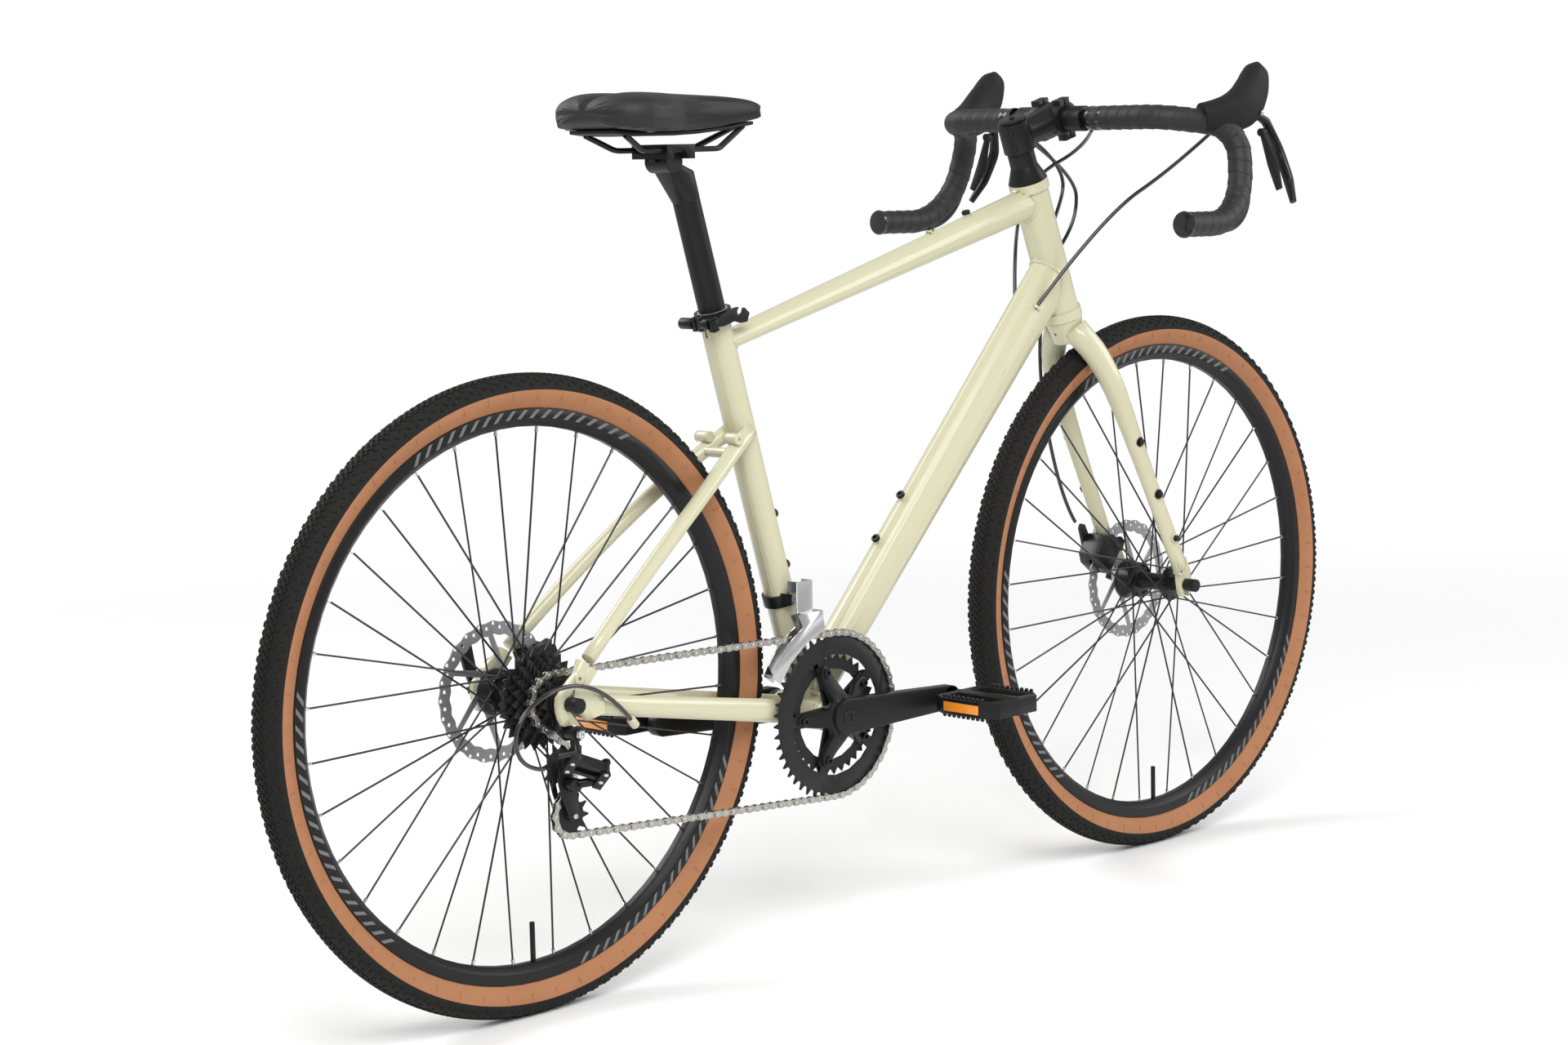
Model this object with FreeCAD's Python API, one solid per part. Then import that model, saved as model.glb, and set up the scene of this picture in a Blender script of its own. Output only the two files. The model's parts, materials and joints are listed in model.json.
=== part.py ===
"""Gravel bike with drop bars, disc brakes and a derailleur drivetrain.

Millimetres. X points forward, Y to the rider's left, Z up. The origin is on
the ground, midway between the axles. The drive side is the right, at -Y.
"""
import FreeCAD
import Part
import math
import os

# Stance: the sizes that place everything else
WHEELBASE = 1084.0
TYRE_RADIUS = 351.0
BB_AHEAD = 432.0
BB_DROP = 78.0
SEAT_ANGLE = 74.0
HEAD_ANGLE = 69.5
CROWN_OVER_TYRE = 46.6
FORK_LENGTH = TYRE_RADIUS + CROWN_OVER_TYRE
FORK_OFFSET = 38.2

# Shared fits and overruns
RUN_FIT = 0.05
HALF_SHARE = 0.5
CLEAR = 0.4
OVERRUN = 5.0

# How many flat sides stand for a round section
TUBE_SIDES = 16
BAR_SIDES = 12
HOUSING_SIDES = 6
WHEEL_SIDES = 72
HUB_SIDES = 24
NUT_SIDES = 12

# Head tube and headset
HEAD_TUBE_LENGTH = 187.0
HEAD_TUBE_D = 45.0
HEAD_TUBE_BORE = 37.0
HEAD_RING_D = 50.0
HEAD_RING_H = 12.0
BEARING_H = 8.0
STEERER_D = 28.6
COVER_H = 20.0
COVER_TOP_D = 34.0
SPACER_H = 10.0
SPACER_COUNT = 2
CAP_H = 4.0

# Top tube and down tube
TOP_TUBE_SEAT_DOWN = 40.0
TOP_TUBE_HEAD_DOWN = 27.0
TOP_TUBE_HEAD_AT = HEAD_TUBE_LENGTH - TOP_TUBE_HEAD_DOWN
TOP_TUBE_SEAT_W = 30.0
TOP_TUBE_SEAT_H = 22.0
TOP_TUBE_HEAD_W = 36.0
TOP_TUBE_HEAD_H = 40.0
DOWN_TUBE_START = 22.0
DOWN_TUBE_BEHIND = 12.0
DOWN_TUBE_HEAD_AT = 62.0
DOWN_TUBE_D = 47.0
DOWN_TUBE_HEAD_W = 43.0
DOWN_TUBE_HEAD_H = 66.0

# Seat tube, post and collar
SEAT_TUBE_LENGTH = 500.0
TOP_TUBE_SEAT_AT = SEAT_TUBE_LENGTH - TOP_TUBE_SEAT_DOWN
SEAT_TUBE_D = 35.0
POST_D = 31.6
POST_LENGTH = 330.0
POST_SHOWN = 162.0
COLLAR_H = 16.0
COLLAR_WALL = 4.0
COLLAR_EAR = 15.0
COLLAR_EAR_GAP = 3.0
COLLAR_EAR_T = 6.0
COLLAR_BOLT_D = 5.0

# Bottom bracket
BB_SHELL_W = 68.0
BB_SHELL_D = 42.0
BB_BORE = 34.0
BB_CUP_T = 7.0
BB_CUP_D = 40.0
SPINDLE_D = 24.0

# Rear triangle
REAR_OLD = 135.0
DROPOUT_T = 7.0
DROPOUT_R = 17.0
STAY_W = 16.0
STAY_BB_H = 30.0
STAY_END_H = 22.0
STAY_BB_OUT = 24.0
STAY_RING_OUT = 29.0
STAY_TYRE_OUT = 36.0
STAY_END_OUT = 66.6
STAY_END_AHEAD = 20.0
STAY_RING_SHARE = 0.86
STAY_TYRE_SHARE = 0.74
SEATSTAY_D = 19.0
SEATSTAY_END_D = 16.0
SEATSTAY_AT = 355.0
SEATSTAY_TOP_OUT = 15.0
SEATSTAY_BRIDGE_OUT = 24.0
SEATSTAY_TYRE_OUT = 41.0
SEATSTAY_MID_OUT = 55.0
SEATSTAY_BOW = 12.0
BRIDGE_D = 12.0
BOSS_D = 13.0
BOSS_L = 20.0
BOSS_UP = 13.0
M5_R = 2.1
BOSS_HOLE_DEPTH = 12.0
EYELET_R = 7.0
EYELET_AHEAD = 14.0
EYELET_UP = 26.0
AXLE_R = 5.0
NUT_R = 8.5
HANGER_T = 5.0
HANGER_R = 9.0
B_BOLT_AHEAD = 3.0
B_BOLT_DOWN = 32.0
B_BOLT_R = 5.0
SLIT_LENGTH = 28.0
RIGHT_ANGLE = 90.0
SKEW_SHARE = 0.9
STAY_BB_SHARE = 0.965
STAY_BRIDGE_SHARE = 0.885
BRIDGE_LOW_D = 12.0
SEATSTAY_END_AHEAD = 20.0
SEATSTAY_END_UP = 24.0
SEATSTAY_SHARES = ((0.0, 0.0), (0.11, 0.35), (0.30, 0.75), (0.64, 1.0), (0.94, 0.55))
SEATSTAY_OUTS = (SEATSTAY_TOP_OUT, SEATSTAY_BRIDGE_OUT, SEATSTAY_TYRE_OUT, SEATSTAY_MID_OUT, STAY_END_OUT)
BOSS_AT_SHARE = 0.75
BOSS_IN = 14.0
EYELET_PROUD = 2.0
DROPOUT_SHARES = ((-0.9, 0.5), (-0.3, 1.1), (0.5, 1.9), (1.6, 2.3), (2.4, 1.8), (1.5, 0.8), (2.9, 0.2),
                  (2.9, -1.0), (1.0, -1.35), (-0.5, -1.35), (-1.0, -0.5))
DROPOUT_SLOT_ANGLE = 40.0
HANGER_SHARES = ((-0.75, -0.65), (0.35, -0.65), (0.55, -1.4), (0.0, -2.0), (-0.4, -1.5))
COLLAR_BOLT_BACK = 3.0
SEAT_BOLT_UPS = (179.0, 243.0)
DOWN_BOLT_SHARES = (0.32, 0.42)
TOP_BOLT_SHARES = (0.66, 0.78)
FRAME_BOLT_R = 4.5
FRAME_BOLT_H = 3.0
FRAME_BOLT_SIDES = 6

# Wheels
TYRE_W = 40.0
TYRE_SHARES = ((0.0, -0.5), (0.52, -1.0), (0.86, -0.86), (1.0, -0.4), (1.0, 0.4), (0.86, 0.86), (0.52, 1.0), (0.0, 0.5))
RIM_W = 24.0
TYRE_DEPTH = 37.0
RIM_BED_R = TYRE_RADIUS - TYRE_DEPTH
RIM_WALL = 12.0
RIM_DEPTH = 20.0
RIM_INNER_R = RIM_BED_R - RIM_DEPTH
RIM_NOSE_W = 9.0
VALVE_R = 3.0
VALVE_L = 44.0
SPOKE_COUNT = 32
SPOKE_CROSSES = 3
SPOKE_R = 1.1
SPOKE_SIDES = 4
FLANGE_R = 23.0
FLANGE_HOLE_R = 19.5
FLANGE_T = 3.2
FRONT_OLD = 100.0
FRONT_FLANGES = (-33.0, 20.0)
REAR_FLANGES = (-16.0, 32.0)
FRONT_HUB_R = 11.0
REAR_HUB_R = 15.0
HUB_END_R = 9.0
LOCKNUT_W = 5.0
FRONT_ROTOR_OUT = 42.0
REAR_ROTOR_OUT = 50.0
ROTOR_MOUNT_R = 26.0
ROTOR_MOUNT_T = 3.0
ROTOR_R = 80.0
ROTOR_WAVE = 2.0
ROTOR_BAND = 13.0
ROTOR_T = 1.8
ROTOR_WAVES = 12
ROTOR_ARMS = 6
ROTOR_ARM_W = 6.0
ROTOR_CARRIER_R = 27.0
ROTOR_CARRIER_SIDES = 18
ROTOR_SWEEP = 35.0
SKEWER_END = 17.0
CAM_R = 4.8
CAM_W = 5.0
CAM_UP = 5.6
CAM_PIN_R = 2.2
EAR_IN = 5.8
EAR_T = 2.5
EAR_HALF = 4.0
EAR_H = 9.0
QR_LENGTH = 52.0
QR_T = 5.0
QR_SHARES = ((0.0, -0.1), (0.14, -0.1), (0.32, -0.13), (1.0, -0.17), (1.07, 0.0), (1.0, 0.17), (0.32, 0.13),
             (0.14, 0.1), (0.0, 0.1))
SEAT_CAM_W = 11.5
SEAT_NUT_L = 20.0
SEAT_NUT_D = 13.0
SEAT_LEVER_LENGTH = 50.0
SEAT_LEVER_T = 5.0
SEAT_LEVER_SHARES = ((0.0, -0.1), (0.14, -0.1), (0.24, -0.15), (0.66, -0.15), (0.95, -0.12), (1.1, 0.1),
                     (0.98, 0.27), (0.8, 0.24), (0.62, 0.13), (0.24, 0.13), (0.14, 0.1), (0.0, 0.1))
SEAT_LOOP_SHARES = ((0.74, -0.06), (0.92, -0.04), (1.01, 0.09), (0.94, 0.18), (0.84, 0.15), (0.74, 0.06))
FRONT_QR_TURN = 70.0
REAR_QR_TURN = 105.0

# Fork
CROWN_DOWN = 30.0
CROWN_TOP_D = 48.0
CROWN_LOW_D = 40.0
LEG_SHARES = (0.0, 0.1, 0.22, 0.4, 0.6, 0.8, 0.93)
LEG_OUTS = (14.0, 38.0, 48.0, 50.5, 53.0, 55.5, 57.0)
LEG_TOP_W = 34.0
LEG_TOP_H = 36.0
LEG_END_W = 17.0
LEG_END_H = 24.0
FORK_TIP_T = 7.5
FORK_TIP_R = 14.0
FORK_TIP_SHARES = ((-0.9, -0.4), (-0.5, -1.1), (0.5, -1.1), (0.9, -0.4), (0.75, 1.2), (0.05, 2.6), (-1.6, 2.3), (-1.0, 1.2))
FORK_EYE_BACK = 12.0
FORK_EYE_UP = 19.0
FORK_EYE_R = 6.0
FORK_BOSS_SHARES = (0.43, 0.635, 0.81)
FORK_BOSS_R = 6.5
FORK_BOSS_PROUD = 1.5
CROWN_HOLE_UP = -14.0
CROWN_HOLE_DEPTH = 14.0

# Stem and handlebar
STEM_CLAMP_H = 38.0
STEM_CLAMP_D = 40.0
BAR_OVER_HEAD = 53.0
BAR_UP = HEAD_TUBE_LENGTH + BAR_OVER_HEAD
BAR_AHEAD = 74.0
BAR_CLAMP_D = 31.8
BAR_CLAMP_W = 46.0
BAR_CLAMP_WALL = 5.5
STEM_BODY_W = 32.0
STEM_BODY_H = 34.0
FACEPLATE_GAP = 2.0
FACEPLATE_LUG_W = 12.0
FACEPLATE_LUG_H = 9.0
FACEPLATE_LUG_L = 20.0
BAR_GRIP_D = 23.8
BAR_BULGE_OUT = 52.0
BAR_BEND_OUT = 172.0
BAR_RAMP_AHEAD = 89.0
BAR_RAMP_OUT = 221.0
BAR_RAMP_DOWN = 13.0
BAR_DROP_AHEAD = 68.0
BAR_DROP_OUT = 243.0
BAR_DROP = 131.0
BAR_END_BACK = 56.0
BAR_END_OUT = 251.0
BAR_END_DOWN = 129.0
BAR_BENDS = (45.0, 40.0, 48.0)
TAPE_D = 30.5
TAPE_IN = 62.0
PLUG_D = 33.0
PLUG_T = 5.0

# Drivetrain
CHAIN_PITCH = 12.7
CHAIN_OUT = 47.0
RING_TEETH = 48
SMALL_RING_TEETH = 34
SMALL_RING_OUT = 41.0
COG_TEETH = (11, 13, 15, 17, 19, 21, 23, 26)
COG_IN_USE = 2
COG_STEP = 4.8
PULLEY_TEETH = 11
PLATE_T = 1.8
TOOTH_RISE = 3.5
TOOTH_DEEP = 4.2
TOOTH_TIP_HALF = 0.8
TOOTH_ROOT_HALF = 3.44
LINK_INNER_IN = 1.2
LINK_OUTER_IN = 2.3
LINK_T = 1.0
LINK_END = 4.1
LINK_SHOULDER = 1.6
LINK_HALF_H = 3.9
ROLLER_R = 3.85
ROLLER_SIDES = 6
RING_BAND = 21.0
RING_HOLE_SIDES = 20
BOLT_CIRCLE_R = 55.0
RING_ARMS = 5
RING_TAB_W = 17.0
RING_BOLT_R = 5.0
RING_BOLT_H = 2.2
CARRIER_R = 17.0
CARRIER_SIDES = 12
CARRIER_END = 60.0
LOCKRING_R = 14.0

# Cranks and pedals
CRANK_LENGTH = 170.0
CRANK_W = 13.0
CRANK_ROOT_H = 32.0
CRANK_END_H = 23.0
CRANK_ROOT_OUT = 62.0
CRANK_END_OUT = 71.0
CRANK_BOSS_R = 19.0
CRANK_BOSS_END = 69.0
CRANK_EYE_R = 13.0
CRANK_EYE_HALF = 7.0
SPIDER_ROOT_W = 22.0
PEDAL_AXLE_R = 5.0
PEDAL_IN = 88.0
PEDAL_W = 96.0
PEDAL_L = 96.0
PEDAL_T = 20.0
PEDAL_RIM = 11.0
PEDAL_BARREL_R = 11.0
PEDAL_SHARES = ((-0.5, -0.32), (-0.4, -0.5), (0.4, -0.5), (0.5, -0.32), (0.5, 0.3), (0.34, 0.5), (-0.34, 0.5), (-0.5, 0.3))

# Rear derailleur, placed from the rear axle
B_BARREL_R = 8.0
B_BARREL_L = 15.0
B_HEAD_R = 6.0
B_HEAD_H = 3.0
RD_PIVOT_OUT = 72.0
RD_PIVOT_DOWN = 62.0
RD_LINK_L = 40.0
RD_LINK_SHARES = (0.84, -0.38, -0.38)
RD_TRAVEL_SHARES = (0.0, 1.0, -1.0)
RD_LINK_GAP = 13.0
RD_LINK_T = 5.0
RD_LINK_END_R = 4.0
RD_LINK_HALF = 7.0
RD_PIN_R = 1.6
RD_EAR_T = 2.6
RD_EAR_SHARES = ((-0.5, -1.8), (0.5, -1.8), (0.5, 0.8), (0.2, 1.15), (-0.2, 1.15), (-0.5, 0.8))
RD_BLOCK_SHARES = ((-0.5, -1.8), (0.5, -1.8), (0.5, -1.27), (-0.5, -1.27))
RD_EAR_SIZE = 10.0
RD_STRUT_R = 5.0
CAGE_PIVOT_AHEAD = 12.0
CAGE_PIVOT_DOWN = 91.0
CAGE_PIVOT_R = 3.5
CAGE_BARREL_R = 8.0
CAGE_BARREL_L = 13.0
GUIDE_UP = 20.0
GUIDE_BACK = 4.0
TENSION_DOWN = 37.0
TENSION_AHEAD = 6.0
CAGE_GAP = 6.2
CAGE_T = 1.5
CAGE_HALF_W = 10.0
CAGE_WINDOW_SHARE = 0.55
CAGE_SHARES = ((-0.16, -0.6), (-0.16, 0.6), (0.2, 1.3), (0.5, 1.25), (1.08, 0.7), (1.08, -0.7), (0.5, -1.0))
PULLEY_BOLT_R = 2.5
PULLEY_BOSS_R = 6.0
ADJUSTER_R = 3.5
ADJUSTER_L = 36.0
ADJUSTER_SHARES = (-0.93, -0.2, 0.06)

# Front derailleur
FD_BAND_AT = 146.0
FD_BAND_H = 14.0
FD_BAND_T = 3.0
FD_PIVOT_OUT = 26.0
FD_LINK_L = 16.0
FD_LINK_LEAN = 13.0
FD_LINK_R = 4.0
FD_LINK_T = 4.0
FD_LINK_HALF = 9.5
FD_PIN_R = 1.8
FD_EAR_T = 3.0
FD_EAR_H = 13.0
FD_PLATE_T = 1.2
FD_PLATE_GAP = 5.8
FD_PLATE_SHARES = ((-0.2, 1.035), (-0.24, 1.27), (-0.75, 1.24), (-1.17, 1.04), (-1.15, 0.64), (-0.94, 0.5), (-0.76, 0.725), (-0.5, 0.92))
FD_BRIDGE_T = 3.0
CAGE_SEARCH = 0.5
CAGE_SEARCH_SHARE = 1e-9
SPIDER_TURN = 36.0

# Seatpost head, saddle clamp and saddle
NECK_SHARE = 0.9
POST_HEAD_BACK = 24.0
POST_HEAD_UP = 13.0
POST_HEAD_R = 13.0
POST_HEAD_W = 36.0
CRADLE_L = 42.0
CRADLE_W = 58.0
CRADLE_LOW = 3.0
CRADLE_TOP = 19.0
RAIL_UP = 13.0
RAIL_R = 3.5
RAIL_OUT = 22.0
RAIL_AHEAD = 64.0
RAIL_BACK = 52.0
RAIL_REAR_BACK = 86.0
RAIL_REAR_OUT = 33.0
RAIL_NOSE_AHEAD = 118.0
RAIL_NOSE_OUT = 6.0
RAIL_REAR_RISE = 17.5
RAIL_NOSE_RISE = 25.0
RAIL_BENDS = (24.0, 24.0)
SADDLE_L = 268.0
SADDLE_W = 152.0
SADDLE_H = 43.0
SADDLE_UP = 33.0
SADDLE_BACK = 120.0
SADDLE_BASE_T = 4.0
SADDLE_SEAM = 0.4
SADDLE_SHARES = ((0.0, 0.5, 0.26, 0.42, 0.1), (0.055, 0.84, 0.08, 0.86, 0.2), (0.15, 1.0, 0.02, 1.0, 0.22),
                 (0.28, 0.9, 0.0, 1.0, 0.22), (0.42, 0.62, 0.0, 0.96, 0.18), (0.58, 0.39, 0.03, 0.9, 0.12),
                 (0.78, 0.28, 0.12, 0.76, 0.07), (0.94, 0.21, 0.24, 0.55, 0.03), (1.0, 0.1, 0.34, 0.3, 0.01))
SADDLE_BASE_FIRST = 1
SADDLE_BASE_LAST = 8
SADDLE_TUCK_SHARE = 0.8
SADDLE_BASE_SHARE = 0.72
SADDLE_CHANNEL_SHARE = 0.16
SADDLE_SIDE_SHARES = ((1.0, 0.45), (0.88, 0.82), (0.55, 1.0))
SADDLE_LIP_SHARE = 0.97
SADDLE_ARC_POINTS = 5

# Lever hoods, brake levers and shift paddles, placed from the middle of the bar
HOOD_AHEAD = (50.0, 80.0, 108.0, 130.0, 143.0)
HOOD_OUT = (200.0, 214.0, 218.0, 217.0, 216.0)
HOOD_UP = (-2.0, 3.0, 18.0, 42.0, 59.0)
HOOD_W = (33.0, 35.0, 33.0, 28.0, 15.0)
HOOD_H = (36.0, 46.0, 50.0, 38.0, 17.0)
LEVER_AHEAD = 117.0
LEVER_OUT = 221.0
LEVER_UP = 2.0
LEVER_LUG_R = 6.5
LEVER_LUG_W = 11.0
LEVER_SLOT_W = 13.0
LEVER_SLOT_R = 9.0
LEVER_SLOT_L = 60.0
LEVER_PIN_R = 2.5
LEVER_PIN_L = 25.0
BLADE_AHEAD = (0.0, 24.0, 37.0, 34.0, 23.5)
BLADE_OUT = (0.0, 3.0, 13.0, 30.0, 45.0)
BLADE_DOWN = (0.0, 10.0, 46.0, 82.0, 110.0)
BLADE_W = (9.0, 12.0, 15.0, 15.0, 9.0)
BLADE_H = (10.0, 11.0, 9.0, 8.0, 7.0)
PADDLE_AHEAD = 14.0
PADDLE_OUT = 5.5
PADDLE_DOWN = 24.0
PADDLE_PIN_R = 2.0
PADDLE_PIN_L = 20.0
PADDLE_BOSS_R = 5.0
PADDLE_BOSS_L = 9.0
PADDLE_TIPS_AHEAD = (0.0, 3.0, -2.0)
PADDLE_TIPS_OUT = (0.0, 14.0, 27.0)
PADDLE_TIPS_DOWN = (0.0, 40.0, 70.0)
PADDLE_W = (8.0, 17.0, 10.0)
PADDLE_H = (7.0, 5.0, 4.0)

# Disc brake calipers and their arms
CALIPER_REACH = 69.0
CALIPER_L = 46.0
CALIPER_D = 36.0
CALIPER_W = 33.0
CALIPER_IN = 15.0
CALIPER_SLOT = 4.4
CALIPER_SHARES = ((-0.5, -0.5), (0.5, -0.5), (0.5, 0.2), (0.32, 0.5), (-0.32, 0.5), (-0.5, 0.2))
FRONT_CALIPER_TURN = 142.0
REAR_CALIPER_TURN = 20.0
ARM_L = 36.0
ARM_T = 5.0
ARM_PIN_R = 4.0
ARM_SHARES = ((-0.18, -0.2), (0.0, -0.24), (1.0, -0.14), (1.1, 0.0), (1.0, 0.14), (0.0, 0.24), (-0.18, 0.2))
FRONT_ARM_TURN = 112.0
REAR_ARM_TURN = 28.0

# Cable housings: routes chosen point by point, measured from the rear axle and the ground
HOUSING_R = 2.4
CABLE_BEND = 45.0
SHIFT_RIGHT_ROUTE = ((1000, -198, 962.6), (975, -132, 900), (922, -56, 838), (830, -17, 722))
BRAKE_REAR_ROUTE = ((899, -58, 946), (946, -8, 925), (906, 47, 888), (868, 47, 820), (836, 17, 728))
SHIFT_LEFT_ROUTE = ((899, 58, 946), (962, 38, 905), (948, 36, 840), (850, 17, 744))
FRONT_BRAKE_ROUTE = ((899, 64, 946), (990, 46, 892), (992, 44, 832), (936, 50, 770), (928, 62, 640), (988, 76, 470),
                     (1012, 70, 432))
DERAILLEUR_ROUTE = ((96, -66, 318), (55, -78, 356), (-20, -88, 380), (-92, -92, 350), (-84, -86, 296), (-44, -80, 288))
DERAILLEUR_BEND = 34.0
STOP_R = 5.0
STOP_L = 12.0

V = FreeCAD.Vector
AHEAD = V(1, 0, 0)
LEFT = V(0, 1, 0)
UP = V(0, 0, 1)
SIDES = (1, -1)
FULL_TURN = 360.0

# Where the axles, the bottom bracket and the steering axis lie
REAR = V(-WHEELBASE / 2, 0, TYRE_RADIUS)
FRONT = V(WHEELBASE / 2, 0, TYRE_RADIUS)
BB = REAR + V(BB_AHEAD, 0, -BB_DROP)
SEAT_UP = V(-math.cos(math.radians(SEAT_ANGLE)), 0, math.sin(math.radians(SEAT_ANGLE)))
SEAT_ON = V(SEAT_UP.z, 0, -SEAT_UP.x)
HEAD_UP = V(-math.cos(math.radians(HEAD_ANGLE)), 0, math.sin(math.radians(HEAD_ANGLE)))
HEAD_ON = V(HEAD_UP.z, 0, -HEAD_UP.x)
HEAD_LOW = FRONT + HEAD_UP * FORK_LENGTH - HEAD_ON * FORK_OFFSET


def steer(up, on=0, out=0):
    """A point by its height up the steering axis, reach ahead of it and side."""
    return HEAD_LOW + HEAD_UP * up + HEAD_ON * on + LEFT * out


def seat(up, on=0, out=0):
    """A point by its height up the seat tube, reach ahead of it and side."""
    return BB + SEAT_UP * up + SEAT_ON * on + LEFT * out


def unit(vector):
    """A copy of a vector at length 1."""
    return vector * (1 / vector.Length)


def save(node, *solids):
    """Write one named piece, of one solid or several, to its STEP file."""
    flat = [solid for shape in solids for solid in shape.Solids]
    Part.makeCompound(flat).exportStep("parts/" + node + ".step")
    print(node, len(flat), round(sum(solid.Volume for solid in flat)))


def cylinder(start, end, radius):
    """A round bar between two points."""
    run = end - start
    return Part.makeCylinder(radius, run.Length, start, run)


def sleeve(start, end, outer, inner):
    """A round bar with a bore right through it."""
    over = unit(end - start) * OVERRUN
    return cylinder(start, end, outer).cut(cylinder(start - over, end + over, inner))


def cross_bar(centre, low, high, radius):
    """A round bar across the bike, from one side position to another."""
    return cylinder(centre + LEFT * low, centre + LEFT * high, radius)


def outline(points):
    """A flat face inside a closed run of straight edges."""
    return Part.Face(Part.makePolygon(points + points[:1]))


def prism(points, depth):
    """A closed outline pushed along a vector."""
    return outline(points).extrude(depth)


def flat_points(centre, shares, size, ahead=AHEAD, up=UP):
    """Outline points given as shares of one size, round a centre."""
    return [centre + ahead * (x * size) + up * (z * size) for x, z in shares]


def around(centre, radius, count, ahead=AHEAD, up=UP, turn=0):
    """Corners of a regular outline."""
    angles = [turn + 2 * math.pi * index / count for index in range(count)]
    return [centre + ahead * (radius * math.cos(a)) + up * (radius * math.sin(a)) for a in angles]


def facet_bar(start, end, radius, count):
    """A bar with flat sides between two points."""
    run = end - start
    side = unit(run.cross(LEFT) if abs(run.y) < run.Length * SKEW_SHARE else run.cross(UP))
    return prism(around(start, radius, count, side, unit(run.cross(side))), run)


def turned(profile, centre, sides):
    """A closed profile of radius and side position, carried round a wheel's axle in flat steps."""
    rings = [around(centre + LEFT * place, radius, sides) for radius, place in profile]
    faces = []
    for near, far in zip(rings, rings[1:] + rings[:1]):
        for index in range(sides):
            after = (index + 1) % sides
            faces.append(outline([near[index], near[after], far[after], far[index]]))
    solid = Part.Solid(Part.Shell(faces))
    return solid if solid.Volume > 0 else solid.reversed()


def oval(centre, run, width, height):
    """An oval section across a run, with its width level."""
    run = unit(run)
    side = unit(LEFT - run * run.dot(LEFT))
    corners = around(centre, HALF_SHARE, TUBE_SIDES, side * width, run.cross(side) * height)
    return Part.makePolygon(corners + corners[:1])


def tube(points, widths, heights):
    """A tube through points, with an oval section at each."""
    runs = [after - before for before, after in zip(points[:1] + points, points[1:] + points[-1:])]
    rings = [oval(*station) for station in zip(points, runs, widths, heights)]
    return Part.makeLoft(rings, True, True)


def route(points, bends):
    """Straight runs through points, joined by tangent arcs."""
    edges = []
    last = points[0]
    for before, corner, after, bend in zip(points, points[1:], points[2:], bends):
        back = unit(before - corner)
        onward = unit(after - corner)
        half = back.getAngle(onward) / 2
        middle = corner + unit(back + onward) * (bend / math.sin(half) - bend)
        start = corner + back * (bend / math.tan(half))
        stop = corner + onward * (bend / math.tan(half))
        if last.distanceToPoint(start) > RUN_FIT:
            edges.append(Part.LineSegment(last, start).toShape())
        edges.append(Part.Arc(start, middle, stop).toShape())
        last = stop
    edges.append(Part.LineSegment(last, points[-1]).toShape())
    return Part.Wire(edges)


def pipe(points, bends, radius, sides=BAR_SIDES):
    """A bar along a route, checked against its section and length."""
    path = route(points, bends)
    run = unit(points[1] - points[0])
    side = unit(run.cross(UP))
    corners = around(points[0], radius, sides, side, run.cross(side))
    solid = path.makePipeShell([Part.makePolygon(corners + corners[:1])], True, False)
    solid = Part.Solid(solid) if solid.ShapeType == "Shell" else solid
    want = outline(corners).Area * path.Length
    print("  bar", round(path.Length, 1), "long, bends", bends, "volume ratio", round(solid.Volume / want, 4))
    return solid


def mirrored(shape):
    """The same shape on the other side of the bike."""
    return shape.mirror(V(0, 0, 0), LEFT)


def head_solid():
    """The head tube's outside, with its end rings, before it is bored."""
    body = cylinder(steer(0), steer(HEAD_TUBE_LENGTH), HEAD_TUBE_D / 2)
    low = cylinder(steer(0), steer(HEAD_RING_H), HEAD_RING_D / 2)
    high = cylinder(steer(HEAD_TUBE_LENGTH - HEAD_RING_H), steer(HEAD_TUBE_LENGTH), HEAD_RING_D / 2)
    return body.fuse([low, high]).removeSplitter()


def head_tube():
    """The bored head tube with a bearing in each end."""
    bore = cylinder(steer(-OVERRUN), steer(HEAD_TUBE_LENGTH + OVERRUN), HEAD_TUBE_BORE / 2)
    bearings = [sleeve(steer(low), steer(low + BEARING_H), HEAD_TUBE_BORE / 2, STEERER_D / 2 + RUN_FIT)
                for low in (0, HEAD_TUBE_LENGTH - BEARING_H)]
    return [head_solid().cut(bore)] + bearings


def seat_solid():
    """The seat tube's outside, down to the middle of the bottom bracket."""
    return cylinder(BB, seat(SEAT_TUBE_LENGTH), SEAT_TUBE_D / 2)


def bb_solid():
    """The bottom bracket shell's outside."""
    return cross_bar(BB, -BB_SHELL_W / 2, BB_SHELL_W / 2, BB_SHELL_D / 2)


def seat_tube():
    """The seat tube, bored for the post, with the slit that the collar closes."""
    bore = cylinder(BB, seat(SEAT_TUBE_LENGTH + OVERRUN), POST_D / 2 + RUN_FIT)
    slit = Part.makeBox(SEAT_TUBE_D, COLLAR_EAR_GAP, SLIT_LENGTH + OVERRUN)
    slit.translate(V(-SEAT_TUBE_D, -COLLAR_EAR_GAP / 2, 0))
    slit.rotate(V(0, 0, 0), LEFT, SEAT_ANGLE - RIGHT_ANGLE)
    slit.translate(seat(SEAT_TUBE_LENGTH - SLIT_LENGTH))
    return seat_solid().cut(bb_solid()).cut(bore).cut(slit)


def bottom_bracket():
    """The shell with a bearing cup on each end."""
    half = BB_SHELL_W / 2
    shell = sleeve(BB - LEFT * half, BB + LEFT * half, BB_SHELL_D / 2, BB_BORE / 2)
    cups = [sleeve(BB + LEFT * (side * half), BB + LEFT * (side * (half + BB_CUP_T)),
                   BB_CUP_D / 2, SPINDLE_D / 2 + RUN_FIT) for side in SIDES]
    return [shell] + cups


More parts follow.
